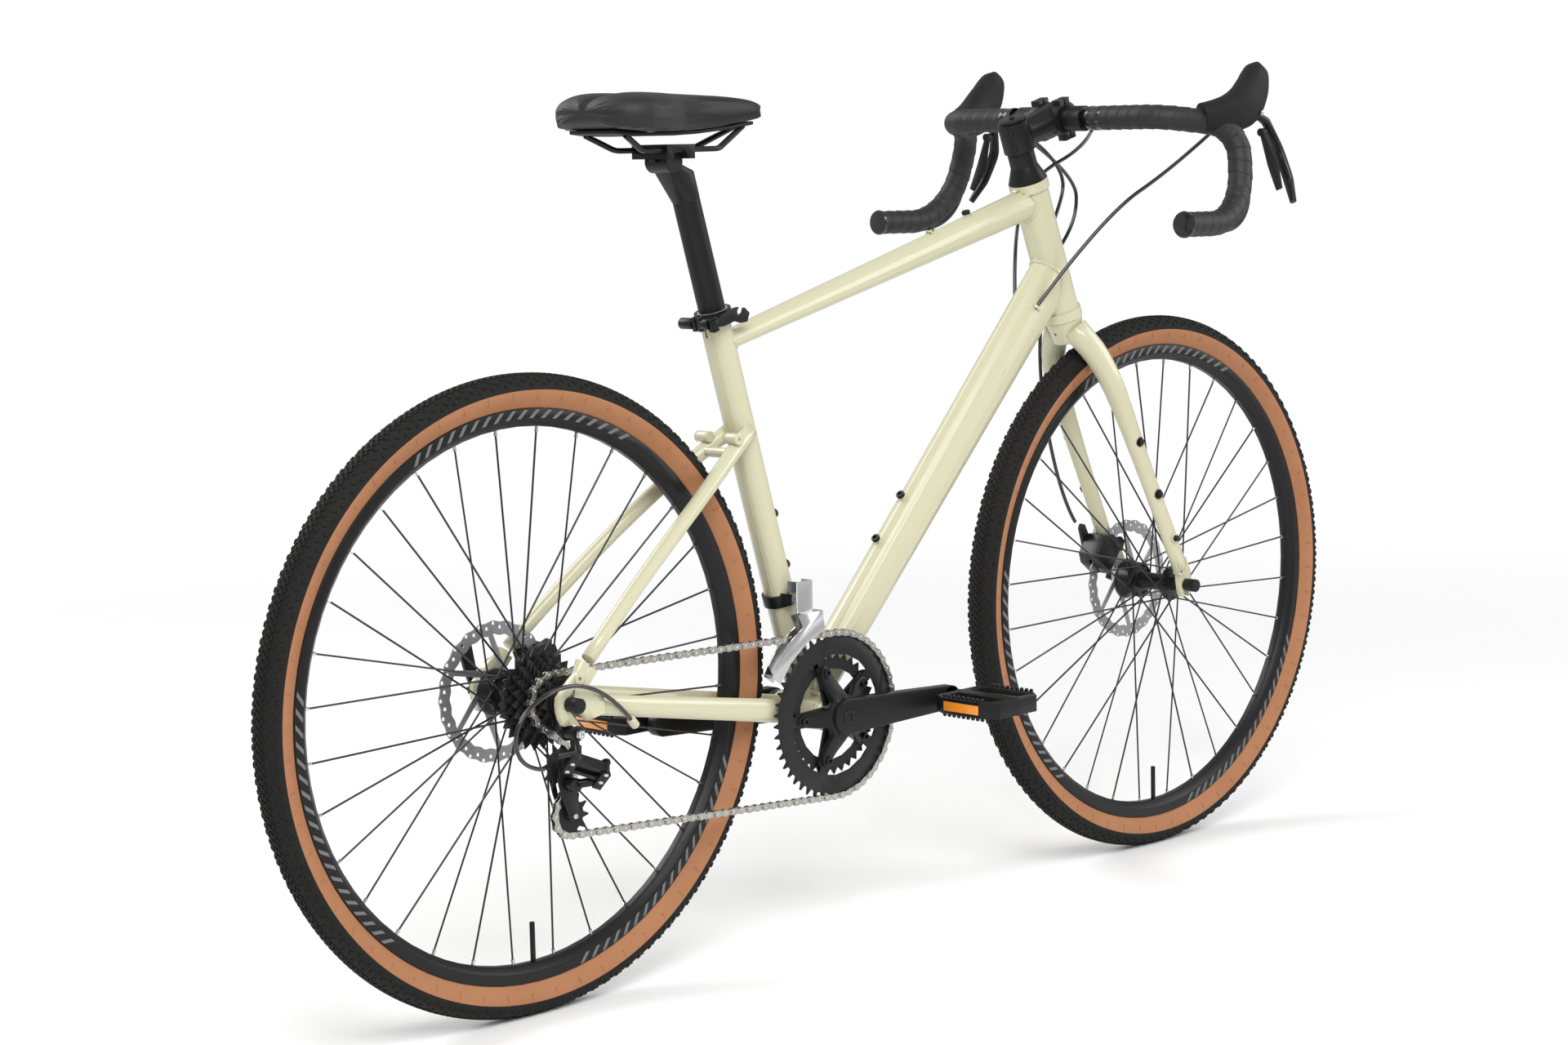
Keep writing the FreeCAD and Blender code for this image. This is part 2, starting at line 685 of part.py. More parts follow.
def top_tube():
    """The sloping top tube, deeper toward the head, coped to both tubes."""
    ends = [seat(TOP_TUBE_SEAT_AT), steer(TOP_TUBE_HEAD_AT)]
    bar = tube(ends, (TOP_TUBE_SEAT_W, TOP_TUBE_HEAD_W), (TOP_TUBE_SEAT_H, TOP_TUBE_HEAD_H))
    return bar.cut(seat_solid()).cut(head_solid())


def down_tube_line():
    """The down tube's middle line, from the bottom bracket to the steering axis."""
    low = BB - AHEAD * DOWN_TUBE_BEHIND
    high = steer(DOWN_TUBE_HEAD_AT)
    return low + unit(high - low) * DOWN_TUBE_START, high


def down_tube():
    """The down tube, round below and deeper at the head, coped to its neighbours."""
    bar = tube(list(down_tube_line()), (DOWN_TUBE_D, DOWN_TUBE_HEAD_W), (DOWN_TUBE_D, DOWN_TUBE_HEAD_H))
    return bar.cut(bb_solid()).cut(seat_solid()).cut(head_solid())


def chainstay_point(share, out):
    """A point on the left chainstay's middle line."""
    return REAR + (BB - REAR) * share + LEFT * out


def chainstay():
    """The left chainstay, drawn in past the chainrings and out past the tyre."""
    shares = (STAY_BB_SHARE, STAY_RING_SHARE, STAY_TYRE_SHARE, STAY_END_AHEAD / BB_AHEAD)
    outs = (STAY_BB_OUT, STAY_RING_OUT, STAY_TYRE_OUT, STAY_END_OUT)
    points = [chainstay_point(*place) for place in zip(shares, outs)]
    heights = [STAY_END_H + (STAY_BB_H - STAY_END_H) * share for share in shares]
    return tube(points, [STAY_W] * len(points), heights)


def seatstay_points():
    """The left seatstay's middle line, bowed up between the seat tube and dropout."""
    top = seat(SEATSTAY_AT)
    low = REAR + AHEAD * SEATSTAY_END_AHEAD + UP * SEATSTAY_END_UP
    bow = unit((low - top).cross(LEFT)) * -SEATSTAY_BOW
    return [top + (low - top) * along + bow * rise + LEFT * out
            for (along, rise), out in zip(SEATSTAY_SHARES, SEATSTAY_OUTS)]


def seatstay():
    """The left seatstay, thinner toward the dropout."""
    sizes = [SEATSTAY_D + (SEATSTAY_END_D - SEATSTAY_D) * along for along, rise in SEATSTAY_SHARES]
    return tube(seatstay_points(), sizes, sizes)


def dropout():
    """The left dropout plate, with its axle slot and threaded eyelet."""
    inner = REAR + LEFT * (REAR_OLD / 2)
    plate = prism(flat_points(inner, DROPOUT_SHARES, DROPOUT_R), LEFT * DROPOUT_T)
    eye = inner + AHEAD * EYELET_AHEAD + UP * EYELET_UP
    plate = plate.fuse(cylinder(eye, eye + LEFT * (DROPOUT_T + EYELET_PROUD), EYELET_R)).removeSplitter()
    over = LEFT * OVERRUN
    slot_r = AXLE_R + RUN_FIT
    slot = Part.makeBox(slot_r * 2, DROPOUT_T + OVERRUN * 2, DROPOUT_R * 2)
    slot.translate(V(-slot_r, -OVERRUN, -DROPOUT_R * 2))
    slot.rotate(V(0, 0, 0), LEFT, -DROPOUT_SLOT_ANGLE)
    slot.translate(inner)
    hole = cylinder(eye - over, eye + LEFT * DROPOUT_T + over, M5_R)
    axle = cylinder(inner - over, inner + LEFT * DROPOUT_T + over, slot_r)
    return plate.cut(hole).cut(slot).cut(axle)


def rack_boss():
    """The left rack boss: a threaded barrel on top of the seatstay."""
    points = seatstay_points()
    run = unit(points[1] - points[0])
    centre = points[0] + (points[1] - points[0]) * BOSS_AT_SHARE + run.cross(LEFT) * -BOSS_UP
    inner = V(centre.x, BOSS_IN, centre.z)
    barrel = cylinder(inner, inner + LEFT * BOSS_L, BOSS_D / 2)
    mouth = inner + LEFT * BOSS_L
    return barrel.cut(cylinder(mouth + LEFT * OVERRUN, mouth - LEFT * BOSS_HOLE_DEPTH, M5_R)), mouth


def rear_triangle():
    """Both pairs of stays, the dropouts, the bridges and the rack bosses."""
    plate = dropout()
    low = chainstay().cut(bb_solid()).cut(plate)
    high = seatstay().cut(seat_solid()).cut(plate)
    boss = rack_boss()[0].cut(high).cut(seat_solid())
    bridge_at = seatstay_points()[1]
    span = cross_bar(V(bridge_at.x, 0, bridge_at.z), -bridge_at.y, bridge_at.y, BRIDGE_D / 2)
    low_at = chainstay_point(STAY_BRIDGE_SHARE, 0)
    low_span = cross_bar(low_at, -STAY_RING_OUT, STAY_RING_OUT, BRIDGE_LOW_D / 2)
    pairs = [plate, low, high, boss]
    bridges = [span.cut(high).cut(mirrored(high)), low_span.cut(low).cut(mirrored(low)).cut(bb_solid())]
    return pairs + [mirrored(shape) for shape in pairs] + bridges


def hanger_pivot():
    """Where the rear derailleur's upper bolt crosses the hanger's outer face."""
    return REAR + AHEAD * B_BOLT_AHEAD - UP * B_BOLT_DOWN - LEFT * (REAR_OLD / 2)


def derailleur_hanger():
    """The replaceable hanger inside the right dropout, bored for the derailleur."""
    outer = REAR - LEFT * (REAR_OLD / 2)
    eye = hanger_pivot()
    tab = prism(flat_points(outer, HANGER_SHARES, DROPOUT_R), LEFT * HANGER_T)
    tab = tab.fuse(cylinder(eye, eye + LEFT * HANGER_T, HANGER_R)).removeSplitter()
    bore = cylinder(eye - LEFT * OVERRUN, eye + LEFT * (HANGER_T + OVERRUN), B_BOLT_R + RUN_FIT)
    return tab.cut(bore)


def collar():
    """The seat collar with two ears behind and the skewer's holes."""
    low, high = seat(SEAT_TUBE_LENGTH - COLLAR_H), seat(SEAT_TUBE_LENGTH)
    outer = SEAT_TUBE_D / 2 + COLLAR_WALL
    ring = cylinder(low, high, outer)
    for side in SIDES:
        ear = Part.makeBox(COLLAR_EAR, COLLAR_EAR_T, COLLAR_H)
        ear.translate(V(-outer - COLLAR_EAR / 2, (side * (COLLAR_EAR_GAP + COLLAR_EAR_T) - COLLAR_EAR_T) / 2, 0))
        ear.rotate(V(0, 0, 0), LEFT, SEAT_ANGLE - RIGHT_ANGLE)
        ear.translate(low)
        ring = ring.fuse(ear)
    slit = Part.makeBox(outer, COLLAR_EAR_GAP, COLLAR_H + OVERRUN * 2)
    slit.translate(V(-outer - COLLAR_EAR, -COLLAR_EAR_GAP / 2, -OVERRUN))
    slit.rotate(V(0, 0, 0), LEFT, SEAT_ANGLE - RIGHT_ANGLE)
    slit.translate(low)
    bolt = cross_bar(collar_bolt(), -outer, outer, COLLAR_BOLT_D / 2)
    return ring.removeSplitter().cut(seat_solid()).cut(slit).cut(bolt)


def collar_bolt():
    """The middle of the collar's skewer."""
    return seat(SEAT_TUBE_LENGTH - COLLAR_H / 2, -SEAT_TUBE_D / 2 - COLLAR_WALL - COLLAR_BOLT_BACK)


def bolt_pair(low, high, out, shares, low_h, high_h):
    """Two bolt heads along the top of a tube that changes height from end to end."""
    heads = []
    for along in shares:
        face = low + (high - low) * along + out * ((low_h + (high_h - low_h) * along) / 2)
        heads.append(facet_bar(face - out * (FRAME_BOLT_H / 2), face + out * FRAME_BOLT_H,
                               FRAME_BOLT_R, FRAME_BOLT_SIDES))
    return heads


def tube_bolts():
    """Bottle bolts on the seat and down tubes and a pair on the top tube."""
    top = seat(SEAT_TUBE_LENGTH)
    seat_shares = [up / SEAT_TUBE_LENGTH for up in SEAT_BOLT_UPS]
    seat_pair = bolt_pair(BB, top, SEAT_ON, seat_shares, SEAT_TUBE_D, SEAT_TUBE_D)
    low, high = down_tube_line()
    down_pair = bolt_pair(low, high, unit(high - low).cross(LEFT), DOWN_BOLT_SHARES, DOWN_TUBE_D, DOWN_TUBE_HEAD_H)
    low, high = seat(TOP_TUBE_SEAT_AT), steer(TOP_TUBE_HEAD_AT)
    top_pair = bolt_pair(low, high, unit(high - low).cross(LEFT), TOP_BOLT_SHARES, TOP_TUBE_SEAT_H, TOP_TUBE_HEAD_H)
    return seat_pair, down_pair, top_pair


def tyre(axle):
    """A tyre: its section turned round the axle."""
    profile = [(RIM_BED_R + rise * TYRE_DEPTH, out * TYRE_W / 2) for rise, out in TYRE_SHARES]
    return turned(profile, axle, WHEEL_SIDES)


def rim(axle):
    """A box-section rim, with the valve through its lowest point."""
    wall_r = RIM_BED_R - RIM_WALL
    half = [(RIM_BED_R, RIM_W / 2), (wall_r, RIM_W / 2), (RIM_INNER_R, RIM_NOSE_W / 2)]
    hoop = turned(half + [(radius, -out) for radius, out in reversed(half)], axle, WHEEL_SIDES)
    foot = axle - UP * RIM_INNER_R
    return [hoop, cylinder(foot, foot + UP * VALVE_L, VALVE_R)]


def spokes(axle, flanges, shell):
    """Crossed spokes from both flanges to the rim, each bedded against the hub's shell."""
    step = 2 * math.pi / SPOKE_COUNT
    lean = SPOKE_CROSSES * 2 * step
    bars = []
    for index in range(SPOKE_COUNT):
        flange = flanges[index % 2]
        sense = 1 if index % 4 < 2 else -1
        rim_angle = index * step + step / 2
        hub_angle = rim_angle + sense * lean
        out = flange + sense * (FLANGE_T / 2 + SPOKE_R)
        start = axle + V(FLANGE_HOLE_R * math.cos(hub_angle), out, FLANGE_HOLE_R * math.sin(hub_angle))
        end = axle + V(RIM_INNER_R * math.cos(rim_angle), 0, RIM_INNER_R * math.sin(rim_angle))
        bars.append(facet_bar(start, end, SPOKE_R, SPOKE_SIDES).cut(shell))
    return bars


def hub(axle, low, high, flanges, barrel_r, rotor_out):
    """A hub shell with two spoke flanges and the rotor's mount on the left."""
    right, left = flanges
    half = FLANGE_T / 2
    seat_out = rotor_out - ROTOR_T / 2
    profile = [(HUB_END_R, low), (HUB_END_R, right - half), (FLANGE_R, right - half), (FLANGE_R, right + half),
               (barrel_r, right + half), (barrel_r, left - half), (FLANGE_R, left - half), (FLANGE_R, left + half),
               (barrel_r, left + half), (ROTOR_MOUNT_R, seat_out - ROTOR_MOUNT_T), (ROTOR_MOUNT_R, seat_out),
               (HUB_END_R, seat_out), (HUB_END_R, high)]
    core = AXLE_R * HALF_SHARE
    shell = turned([(core, low)] + profile + [(core, high)], axle, HUB_SIDES)
    return shell.cut(cross_bar(axle, low - OVERRUN, high + OVERRUN, AXLE_R + RUN_FIT))


def rotor(axle, out):
    """A disc with a waved edge on swept arms round a small carrier."""
    centre = axle + LEFT * (out - ROTOR_T / 2)
    depth = LEFT * ROTOR_T
    count = ROTOR_WAVES * 3
    outer_r = [ROTOR_R - ROTOR_WAVE * (index % 3 == 0) for index in range(count)]
    angles = [2 * math.pi * index / count for index in range(count)]
    outer = [centre + V(r * math.cos(a), 0, r * math.sin(a)) for r, a in zip(outer_r, angles)]
    inner = [centre + V((r - ROTOR_BAND) * math.cos(a), 0, (r - ROTOR_BAND) * math.sin(a))
             for r, a in zip(outer_r, angles)]
    band = prism(outer, depth).cut(prism(inner, depth))
    carrier = prism(around(centre, ROTOR_CARRIER_R, ROTOR_CARRIER_SIDES), depth)
    arms = []
    for index in range(ROTOR_ARMS):
        turn = 2 * math.pi * index / ROTOR_ARMS
        low, high = turn, turn + math.radians(ROTOR_SWEEP)
        reach = ROTOR_R - ROTOR_BAND / 2
        root = ROTOR_CARRIER_R - ROTOR_ARM_W
        start = centre + V(root * math.cos(low), 0, root * math.sin(low))
        end = centre + V(reach * math.cos(high), 0, reach * math.sin(high))
        across = unit((end - start).cross(LEFT)) * (ROTOR_ARM_W / 2)
        arms.append(prism([start - across, end - across, end + across, start + across], depth))
    disc = band.fuse(arms + [carrier]).removeSplitter()
    return disc.cut(cylinder(centre - depth, centre + depth * 2, HUB_END_R))


def cam_ears(face, out, pin):
    """Two ears and the cross pin that a quick-release lever turns on."""
    along = pin.cross(out) * EAR_HALF
    at = face + out * CAM_UP
    end = pin * (EAR_IN + EAR_T)
    rod = cylinder(at - end, at + end, CAM_PIN_R)
    ears = []
    for side in SIDES:
        foot = face + pin * (side * EAR_IN)
        corners = [foot - along, foot + along, foot + along + out * EAR_H, foot - along + out * EAR_H]
        ears.append(prism(corners, pin * (side * EAR_T)).cut(rod))
    return ears + [rod]


def cam_lever(face, out, along, length, thickness, shares):
    """A closed quick-release lever: a blade lying along the frame and the barrel that it turns on."""
    pin = along.cross(out)
    at = face + out * CAM_UP
    half = pin * (EAR_IN - CLEAR)
    blade = prism(flat_points(at - out * (thickness / 2), shares, length, along, pin), out * thickness)
    barrel = cylinder(at - half, at + half, CAM_R)
    return blade.fuse(barrel).removeSplitter().cut(cylinder(at - half * 2, at + half * 2, CAM_PIN_R + RUN_FIT))


def lever_run(turn):
    """The way that a hub's quick-release lever points, by its angle up from level."""
    return V(math.cos(math.radians(turn)), 0, math.sin(math.radians(turn)))


def cam_face(axle, old, tip):
    """The middle of the cam housing's outer face on the left end of a hub's skewer."""
    return axle + LEFT * (old / 2 + tip + CAM_W)


def skewer(axle, old, tip, turn):
    """A fixed axle: its shaft, a locknut inside each dropout, the end nut and the lever's housing."""
    face = old / 2
    outer = face + tip
    shaft = cross_bar(axle, -outer - SKEWER_END, outer + CAM_W, AXLE_R)
    spans = [(-outer - SKEWER_END, -outer), (outer, outer + CAM_W)]
    spans += [(-face, LOCKNUT_W - face), (face - LOCKNUT_W, face)]
    nuts = [prism(around(axle + LEFT * low, NUT_R, NUT_SIDES), LEFT * (high - low)).cut(shaft) for low, high in spans]
    ears = cam_ears(cam_face(axle, old, tip), LEFT, lever_run(turn).cross(LEFT))
    return [shaft] + nuts + ears


def qr_lever(axle, old, tip, turn):
    """A hub's quick-release lever, closed."""
    return cam_lever(cam_face(axle, old, tip), LEFT, lever_run(turn), QR_LENGTH, QR_T, QR_SHARES)


def seat_lever_face():
    """The right end of the seat collar's skewer, where its lever turns."""
    return collar_bolt() - LEFT * (COLLAR_EAR_GAP / 2 + COLLAR_EAR_T + SEAT_CAM_W)


def seat_skewer():
    """The collar's skewer, with a nut barrel on the left and the lever's ears on the right."""
    ear = COLLAR_EAR_GAP / 2 + COLLAR_EAR_T
    face = seat_lever_face()
    shaft = cross_bar(collar_bolt(), -ear, ear, COLLAR_BOLT_D / 2)
    nut = cross_bar(collar_bolt(), ear, ear + SEAT_NUT_L, SEAT_NUT_D / 2)
    pad = cylinder(face, face + LEFT * SEAT_CAM_W, SEAT_NUT_D / 2)
    return [shaft, nut, pad] + cam_ears(face, LEFT * -1, SEAT_UP)


def seat_lever():
    """The collar's lever, closed along the right side, with an open loop at its front end."""
    face = seat_lever_face()
    lever = cam_lever(face, LEFT * -1, SEAT_ON, SEAT_LEVER_LENGTH, SEAT_LEVER_T, SEAT_LEVER_SHARES)
    at = face - LEFT * (CAM_UP + SEAT_LEVER_T)
    window = flat_points(at, SEAT_LOOP_SHARES, SEAT_LEVER_LENGTH, SEAT_ON, SEAT_UP)
    return lever.cut(prism(window, LEFT * (SEAT_LEVER_T * 2)))


def fork_top():
    """Where the fork legs' middle lines start, on the steering axis."""
    return steer(-CROWN_DOWN / 2)


def leg_point(share, out):
    """A point on the left fork leg's middle line."""
    return fork_top() + (FRONT - fork_top()) * share + LEFT * out


def leg():
    """The left fork leg, from the crown out past the tyre and down to the dropout."""
    points = [leg_point(*place) for place in zip(LEG_SHARES, LEG_OUTS)]
    widths = [LEG_TOP_W + (LEG_END_W - LEG_TOP_W) * min(1, share * 2) for share in LEG_SHARES]
    heights = [LEG_TOP_H + (LEG_END_H - LEG_TOP_H) * min(1, share * 2) for share in LEG_SHARES]
    return tube(points, widths, heights)


def fork_eye():
    """The middle of the left fork dropout's eyelet, on the plate's inner face."""
    return FRONT + LEFT * (FRONT_OLD / 2) - AHEAD * FORK_EYE_BACK + UP * FORK_EYE_UP


def fork_tip():
    """The left fork dropout with its slot and threaded eyelet."""
    inner = FRONT + LEFT * (FRONT_OLD / 2)
    plate = prism(flat_points(inner, FORK_TIP_SHARES, FORK_TIP_R), LEFT * FORK_TIP_T)
    eye = fork_eye()
    plate = plate.fuse(cylinder(eye, eye + LEFT * (FORK_TIP_T + EYELET_PROUD), FORK_EYE_R)).removeSplitter()
    slot_r = AXLE_R + RUN_FIT
    slot = Part.makeBox(slot_r * 2, FORK_TIP_T + OVERRUN * 2, FORK_TIP_R * 2)
    slot.translate(inner - V(slot_r, OVERRUN, FORK_TIP_R * 2))
    over = LEFT * OVERRUN
    hole = cylinder(eye - over, eye + LEFT * FORK_TIP_T + over, M5_R)
    return plate.cut(slot).cut(cylinder(inner - over, inner + LEFT * FORK_TIP_T + over, slot_r)).cut(hole)


def leg_bosses(limb):
    """Three threaded bosses on the outside of the left leg, with their bolts' heads."""
    bosses = []
    for share in FORK_BOSS_SHARES:
        after = next(index for index, station in enumerate(LEG_SHARES) if station > share)
        spread = (share - LEG_SHARES[after - 1]) / (LEG_SHARES[after] - LEG_SHARES[after - 1])
        middle = leg_point(share, LEG_OUTS[after - 1] + (LEG_OUTS[after] - LEG_OUTS[after - 1]) * spread)
        face = middle + LEFT * (LEG_END_W / 2 + FORK_BOSS_PROUD)
        bosses.append(cylinder(middle, face, FORK_BOSS_R).cut(limb))
        bosses.append(facet_bar(face, face + LEFT * FRAME_BOLT_H, FRAME_BOLT_R, FRAME_BOLT_SIDES))
    return bosses


def fork():
    """Crown and steerer in one piece, two legs, their dropouts and bosses."""
    crown = Part.makeCone(CROWN_TOP_D / 2, CROWN_LOW_D / 2, CROWN_DOWN - CLEAR, steer(-CLEAR), HEAD_UP * -1)
    column = cylinder(steer(-CROWN_DOWN / 2), steer(stem_low() + STEM_CLAMP_H), STEERER_D / 2)
    crown = crown.fuse(column).removeSplitter()
    back = steer(CROWN_HOLE_UP, -CROWN_TOP_D / 2)
    crown = crown.cut(cylinder(back - HEAD_ON * OVERRUN, back + HEAD_ON * CROWN_HOLE_DEPTH, M5_R))
    tip = fork_tip()
    limb = leg().cut(crown).cut(cylinder(steer(-CLEAR), steer(HEAD_TUBE_LENGTH), CROWN_TOP_D))
    limb = limb.cut(cylinder(back - HEAD_ON * CROWN_TOP_D, back + HEAD_ON * CROWN_HOLE_DEPTH, M5_R)).cut(tip)
    left = [limb, tip] + leg_bosses(limb)
    return [crown] + left + [mirrored(shape) for shape in left]


def stem_low():
    """How far up the steering axis the stem's clamp starts."""
    return HEAD_TUBE_LENGTH + CLEAR + COVER_H + SPACER_H * SPACER_COUNT


def headset():
    """The cone-shaped cover over the upper bearing and the spacers on it."""
    hole = cylinder(steer(0), steer(stem_low() + OVERRUN), STEERER_D / 2)
    low = HEAD_TUBE_LENGTH + CLEAR
    foot, neck = [around(steer(up), width / 2, HUB_SIDES, HEAD_ON, LEFT)
                  for up, width in ((low, HEAD_RING_D), (low + COVER_H, COVER_TOP_D))]
    cone = Part.makeLoft([Part.makePolygon(ring + ring[:1]) for ring in (foot, neck)], True, True)
    rings = [prism([p + HEAD_UP * (SPACER_H * index) for p in neck], HEAD_UP * SPACER_H)
             for index in range(SPACER_COUNT)]
    return [piece.cut(hole) for piece in [cone] + rings]


def bar_centre():
    """The middle of the handlebar's clamped part."""
    return steer(BAR_UP, BAR_AHEAD)


def stem():
    """The stem, its top cap, and the faceplate that holds the bar against it."""
    low, high = steer(stem_low()), steer(stem_low() + STEM_CLAMP_H)
    middle = steer(stem_low() + STEM_CLAMP_H / 2)
    bar = bar_centre()
    run = unit(bar - middle)
    up = LEFT.cross(run) * -1
    clamp_r = BAR_CLAMP_D / 2 + BAR_CLAMP_WALL
    post = cylinder(low, high, STEM_CLAMP_D / 2)
    body = tube([middle, bar], (STEM_BODY_W, BAR_CLAMP_W), (STEM_BODY_H, clamp_r * 2))
    ring = cross_bar(bar, -BAR_CLAMP_W / 2, BAR_CLAMP_W / 2, clamp_r)
    lugs = []
    for side in SIDES:
        for rise in SIDES:
            at = bar + LEFT * (side * (BAR_CLAMP_W - FACEPLATE_LUG_W) / 2) + up * (rise * clamp_r)
            corner = at - run * (FACEPLATE_LUG_L / 2) - up * (FACEPLATE_LUG_H / 2)
            points = [corner, corner + run * FACEPLATE_LUG_L, corner + run * FACEPLATE_LUG_L + up * FACEPLATE_LUG_H,
                      corner + up * FACEPLATE_LUG_H]
            lugs.append(prism(points, LEFT * FACEPLATE_LUG_W).translated(LEFT * (-FACEPLATE_LUG_W / 2)))
    whole = post.fuse([body, ring] + lugs).removeSplitter()
    whole = whole.cut(cylinder(low - HEAD_UP * OVERRUN, high + HEAD_UP * OVERRUN, STEERER_D / 2))
    whole = whole.cut(cross_bar(bar, -BAR_CLAMP_W, BAR_CLAMP_W, BAR_CLAMP_D / 2))
    reach = STEM_CLAMP_D * 2
    front = [bar + run * reach - up * reach, bar + run * reach + up * reach, bar + up * reach, bar - up * reach]
    gap = run * (FACEPLATE_GAP / 2)
    ahead = prism([p + gap for p in front], LEFT * reach).translated(LEFT * (-reach / 2))
    keep_off = prism([p - gap for p in front], LEFT * reach).translated(LEFT * (-reach / 2))
    cap = prism(around(high, COVER_TOP_D / 2, HUB_SIDES, HEAD_ON, LEFT), HEAD_UP * CAP_H)
    return whole.cut(keep_off), whole.common(ahead), cap


def bar_points():
    """Corners of the left half of the handlebar's middle line."""
    centre = bar_centre()
    places = ((0, 0, 0), (0, BAR_BEND_OUT, 0), (BAR_RAMP_AHEAD, BAR_RAMP_OUT, -BAR_RAMP_DOWN),
              (BAR_DROP_AHEAD, BAR_DROP_OUT, -BAR_DROP), (-BAR_END_BACK, BAR_END_OUT, -BAR_END_DOWN))
    return [centre + V(*place) for place in places]


def handlebar():
    """The drop bar: a thick middle and two bent halves."""
    centre = bar_centre()
    bulge = cross_bar(centre, -BAR_BULGE_OUT, BAR_BULGE_OUT, BAR_CLAMP_D / 2)
    points = bar_points()
    half = pipe([centre + LEFT * BAR_BULGE_OUT] + points[1:], BAR_BENDS, BAR_GRIP_D / 2)
    return bulge.fuse([half, mirrored(half)]).removeSplitter()


def bar_tape():
    """Tape round each half of the bar, with a plug in each end."""
    points = bar_points()
    start = points[0] + LEFT * TAPE_IN
    skin = pipe([start] + points[1:], BAR_BENDS, TAPE_D / 2)
    core = pipe([start - LEFT * OVERRUN] + points[1:], BAR_BENDS, BAR_GRIP_D / 2)
    run = unit(points[4] - points[3])
    plug = cylinder(points[4], points[4] + run * PLUG_T, PLUG_D / 2)
    half = [skin.cut(core), plug]
    return half + [mirrored(shape) for shape in half]


def pitch_radius(teeth):
    """The radius of the circle that chain pins follow round a sprocket."""
    return CHAIN_PITCH / (2 * math.sin(math.pi / teeth))


def cage_places(swing):
    """The two pulleys' centres in the chain's plane, with the cage swung by an angle."""
    pivot = REAR + AHEAD * CAGE_PIVOT_AHEAD - UP * CAGE_PIVOT_DOWN
    turn = FreeCAD.Rotation(LEFT, -math.degrees(swing))
    guide = pivot + turn.multVec(UP * GUIDE_UP - AHEAD * GUIDE_BACK)
    tension = pivot + turn.multVec(AHEAD * TENSION_AHEAD - UP * TENSION_DOWN)
    return pivot, guide, tension


def chain_path(swing):
    """The loop as arcs and straight runs, each with its length in links."""
    pivot, guide, tension = cage_places(swing)
    wheels = ((BB, RING_TEETH, 1), (REAR, COG_TEETH[COG_IN_USE], 1), (guide, PULLEY_TEETH, -1),
              (tension, PULLEY_TEETH, 1))
    runs = []
    for (here, teeth, sense), (there, next_teeth, next_sense) in zip(wheels, wheels[1:] + wheels[:1]):
        gap = there - here
        lift = next_sense * pitch_radius(next_teeth) - sense * pitch_radius(teeth)
        heading = math.atan2(gap.z, gap.x) - math.asin(lift / gap.Length)
        inward = V(-math.sin(heading), 0, math.cos(heading))
        start = here - inward * (sense * pitch_radius(teeth))
        end = there - inward * (next_sense * pitch_radius(next_teeth))
        runs.append((start, end))
    path = []
    for (here, teeth, sense), before, after in zip(wheels, runs[-1:] + runs, runs):
        come = math.atan2((before[1] - here).z, (before[1] - here).x)
        leave = math.atan2((after[0] - here).z, (after[0] - here).x)
        wrap = ((leave - come) * sense) % (2 * math.pi)
        path.append(("arc", here, teeth, sense, come, wrap * teeth / (2 * math.pi)))
        path.append(("run", after[0], after[1], after[0].distanceToPoint(after[1]) / CHAIN_PITCH))
    return path


def chain_length(swing):
    """How many links the loop takes."""
    return sum(stretch[-1] for stretch in chain_path(swing))


def settle_cage():
    """The cage's angle at which the loop takes an even whole number of links."""
    links = 2 * round(chain_length(0) / 2)
    low, high = -CAGE_SEARCH, CAGE_SEARCH
    rising = chain_length(high) > chain_length(low)
    while high - low > CAGE_SEARCH * CAGE_SEARCH_SHARE:
        middle = (low + high) / 2
        if (chain_length(middle) < links) == rising:
            low = middle
        else:
            high = middle
    return low, links


CAGE_SWING, LINKS = settle_cage()


def chain_pins():
    """Each pin's place round the loop, and each sprocket's angle of its first pin."""
    pins = []
    phases = []
    at = 0
    for stretch in chain_path(CAGE_SWING):
        if stretch[0] == "arc":
            kind, here, teeth, sense, come, length = stretch
            first = come + sense * (math.ceil(at) - at) * 2 * math.pi / teeth
            phases.append(first)
        while len(pins) < at + stretch[-1] and len(pins) < LINKS:
            along = len(pins) - at
            if stretch[0] == "arc":
                angle = come + sense * along * 2 * math.pi / teeth
                reach = pitch_radius(teeth)
                pins.append(here + V(reach * math.cos(angle), 0, reach * math.sin(angle)))
            else:
                pins.append(stretch[1] + unit(stretch[2] - stretch[1]) * (along * CHAIN_PITCH))
        at += stretch[-1]
    return [pin - LEFT * CHAIN_OUT for pin in pins], phases


def link_plate(start, end, inner):
    """One link's pair of side plates, inner face at a given half width."""
    run = unit(end - start)
    across = run.cross(LEFT) * LINK_HALF_H
    shape = [start - run * LINK_END, start - run * LINK_SHOULDER + across, end + run * LINK_SHOULDER + across,
             end + run * LINK_END, end + run * LINK_SHOULDER - across, start - run * LINK_SHOULDER - across]
    return [prism([p + LEFT * (side * inner) for p in shape], LEFT * (side * LINK_T)) for side in SIDES]


def chain():
    """Every link of the chain: rollers between inner plates, with outer plates over them."""
    pins = chain_pins()[0]
    solids = []
    for index, (start, end) in enumerate(zip(pins, pins[1:] + pins[:1])):
        solids += link_plate(start, end, LINK_OUTER_IN if index % 2 else LINK_INNER_IN)
        solids.append(facet_bar(start - LEFT * LINK_INNER_IN, start + LEFT * LINK_INNER_IN, ROLLER_R, ROLLER_SIDES))
    gaps = [start.distanceToPoint(end) for start, end in zip(pins, pins[1:] + pins[:1])]
    print("  chain links", len(pins), "pitch", round(min(gaps), 2), "to", round(max(gaps), 2))
    return solids


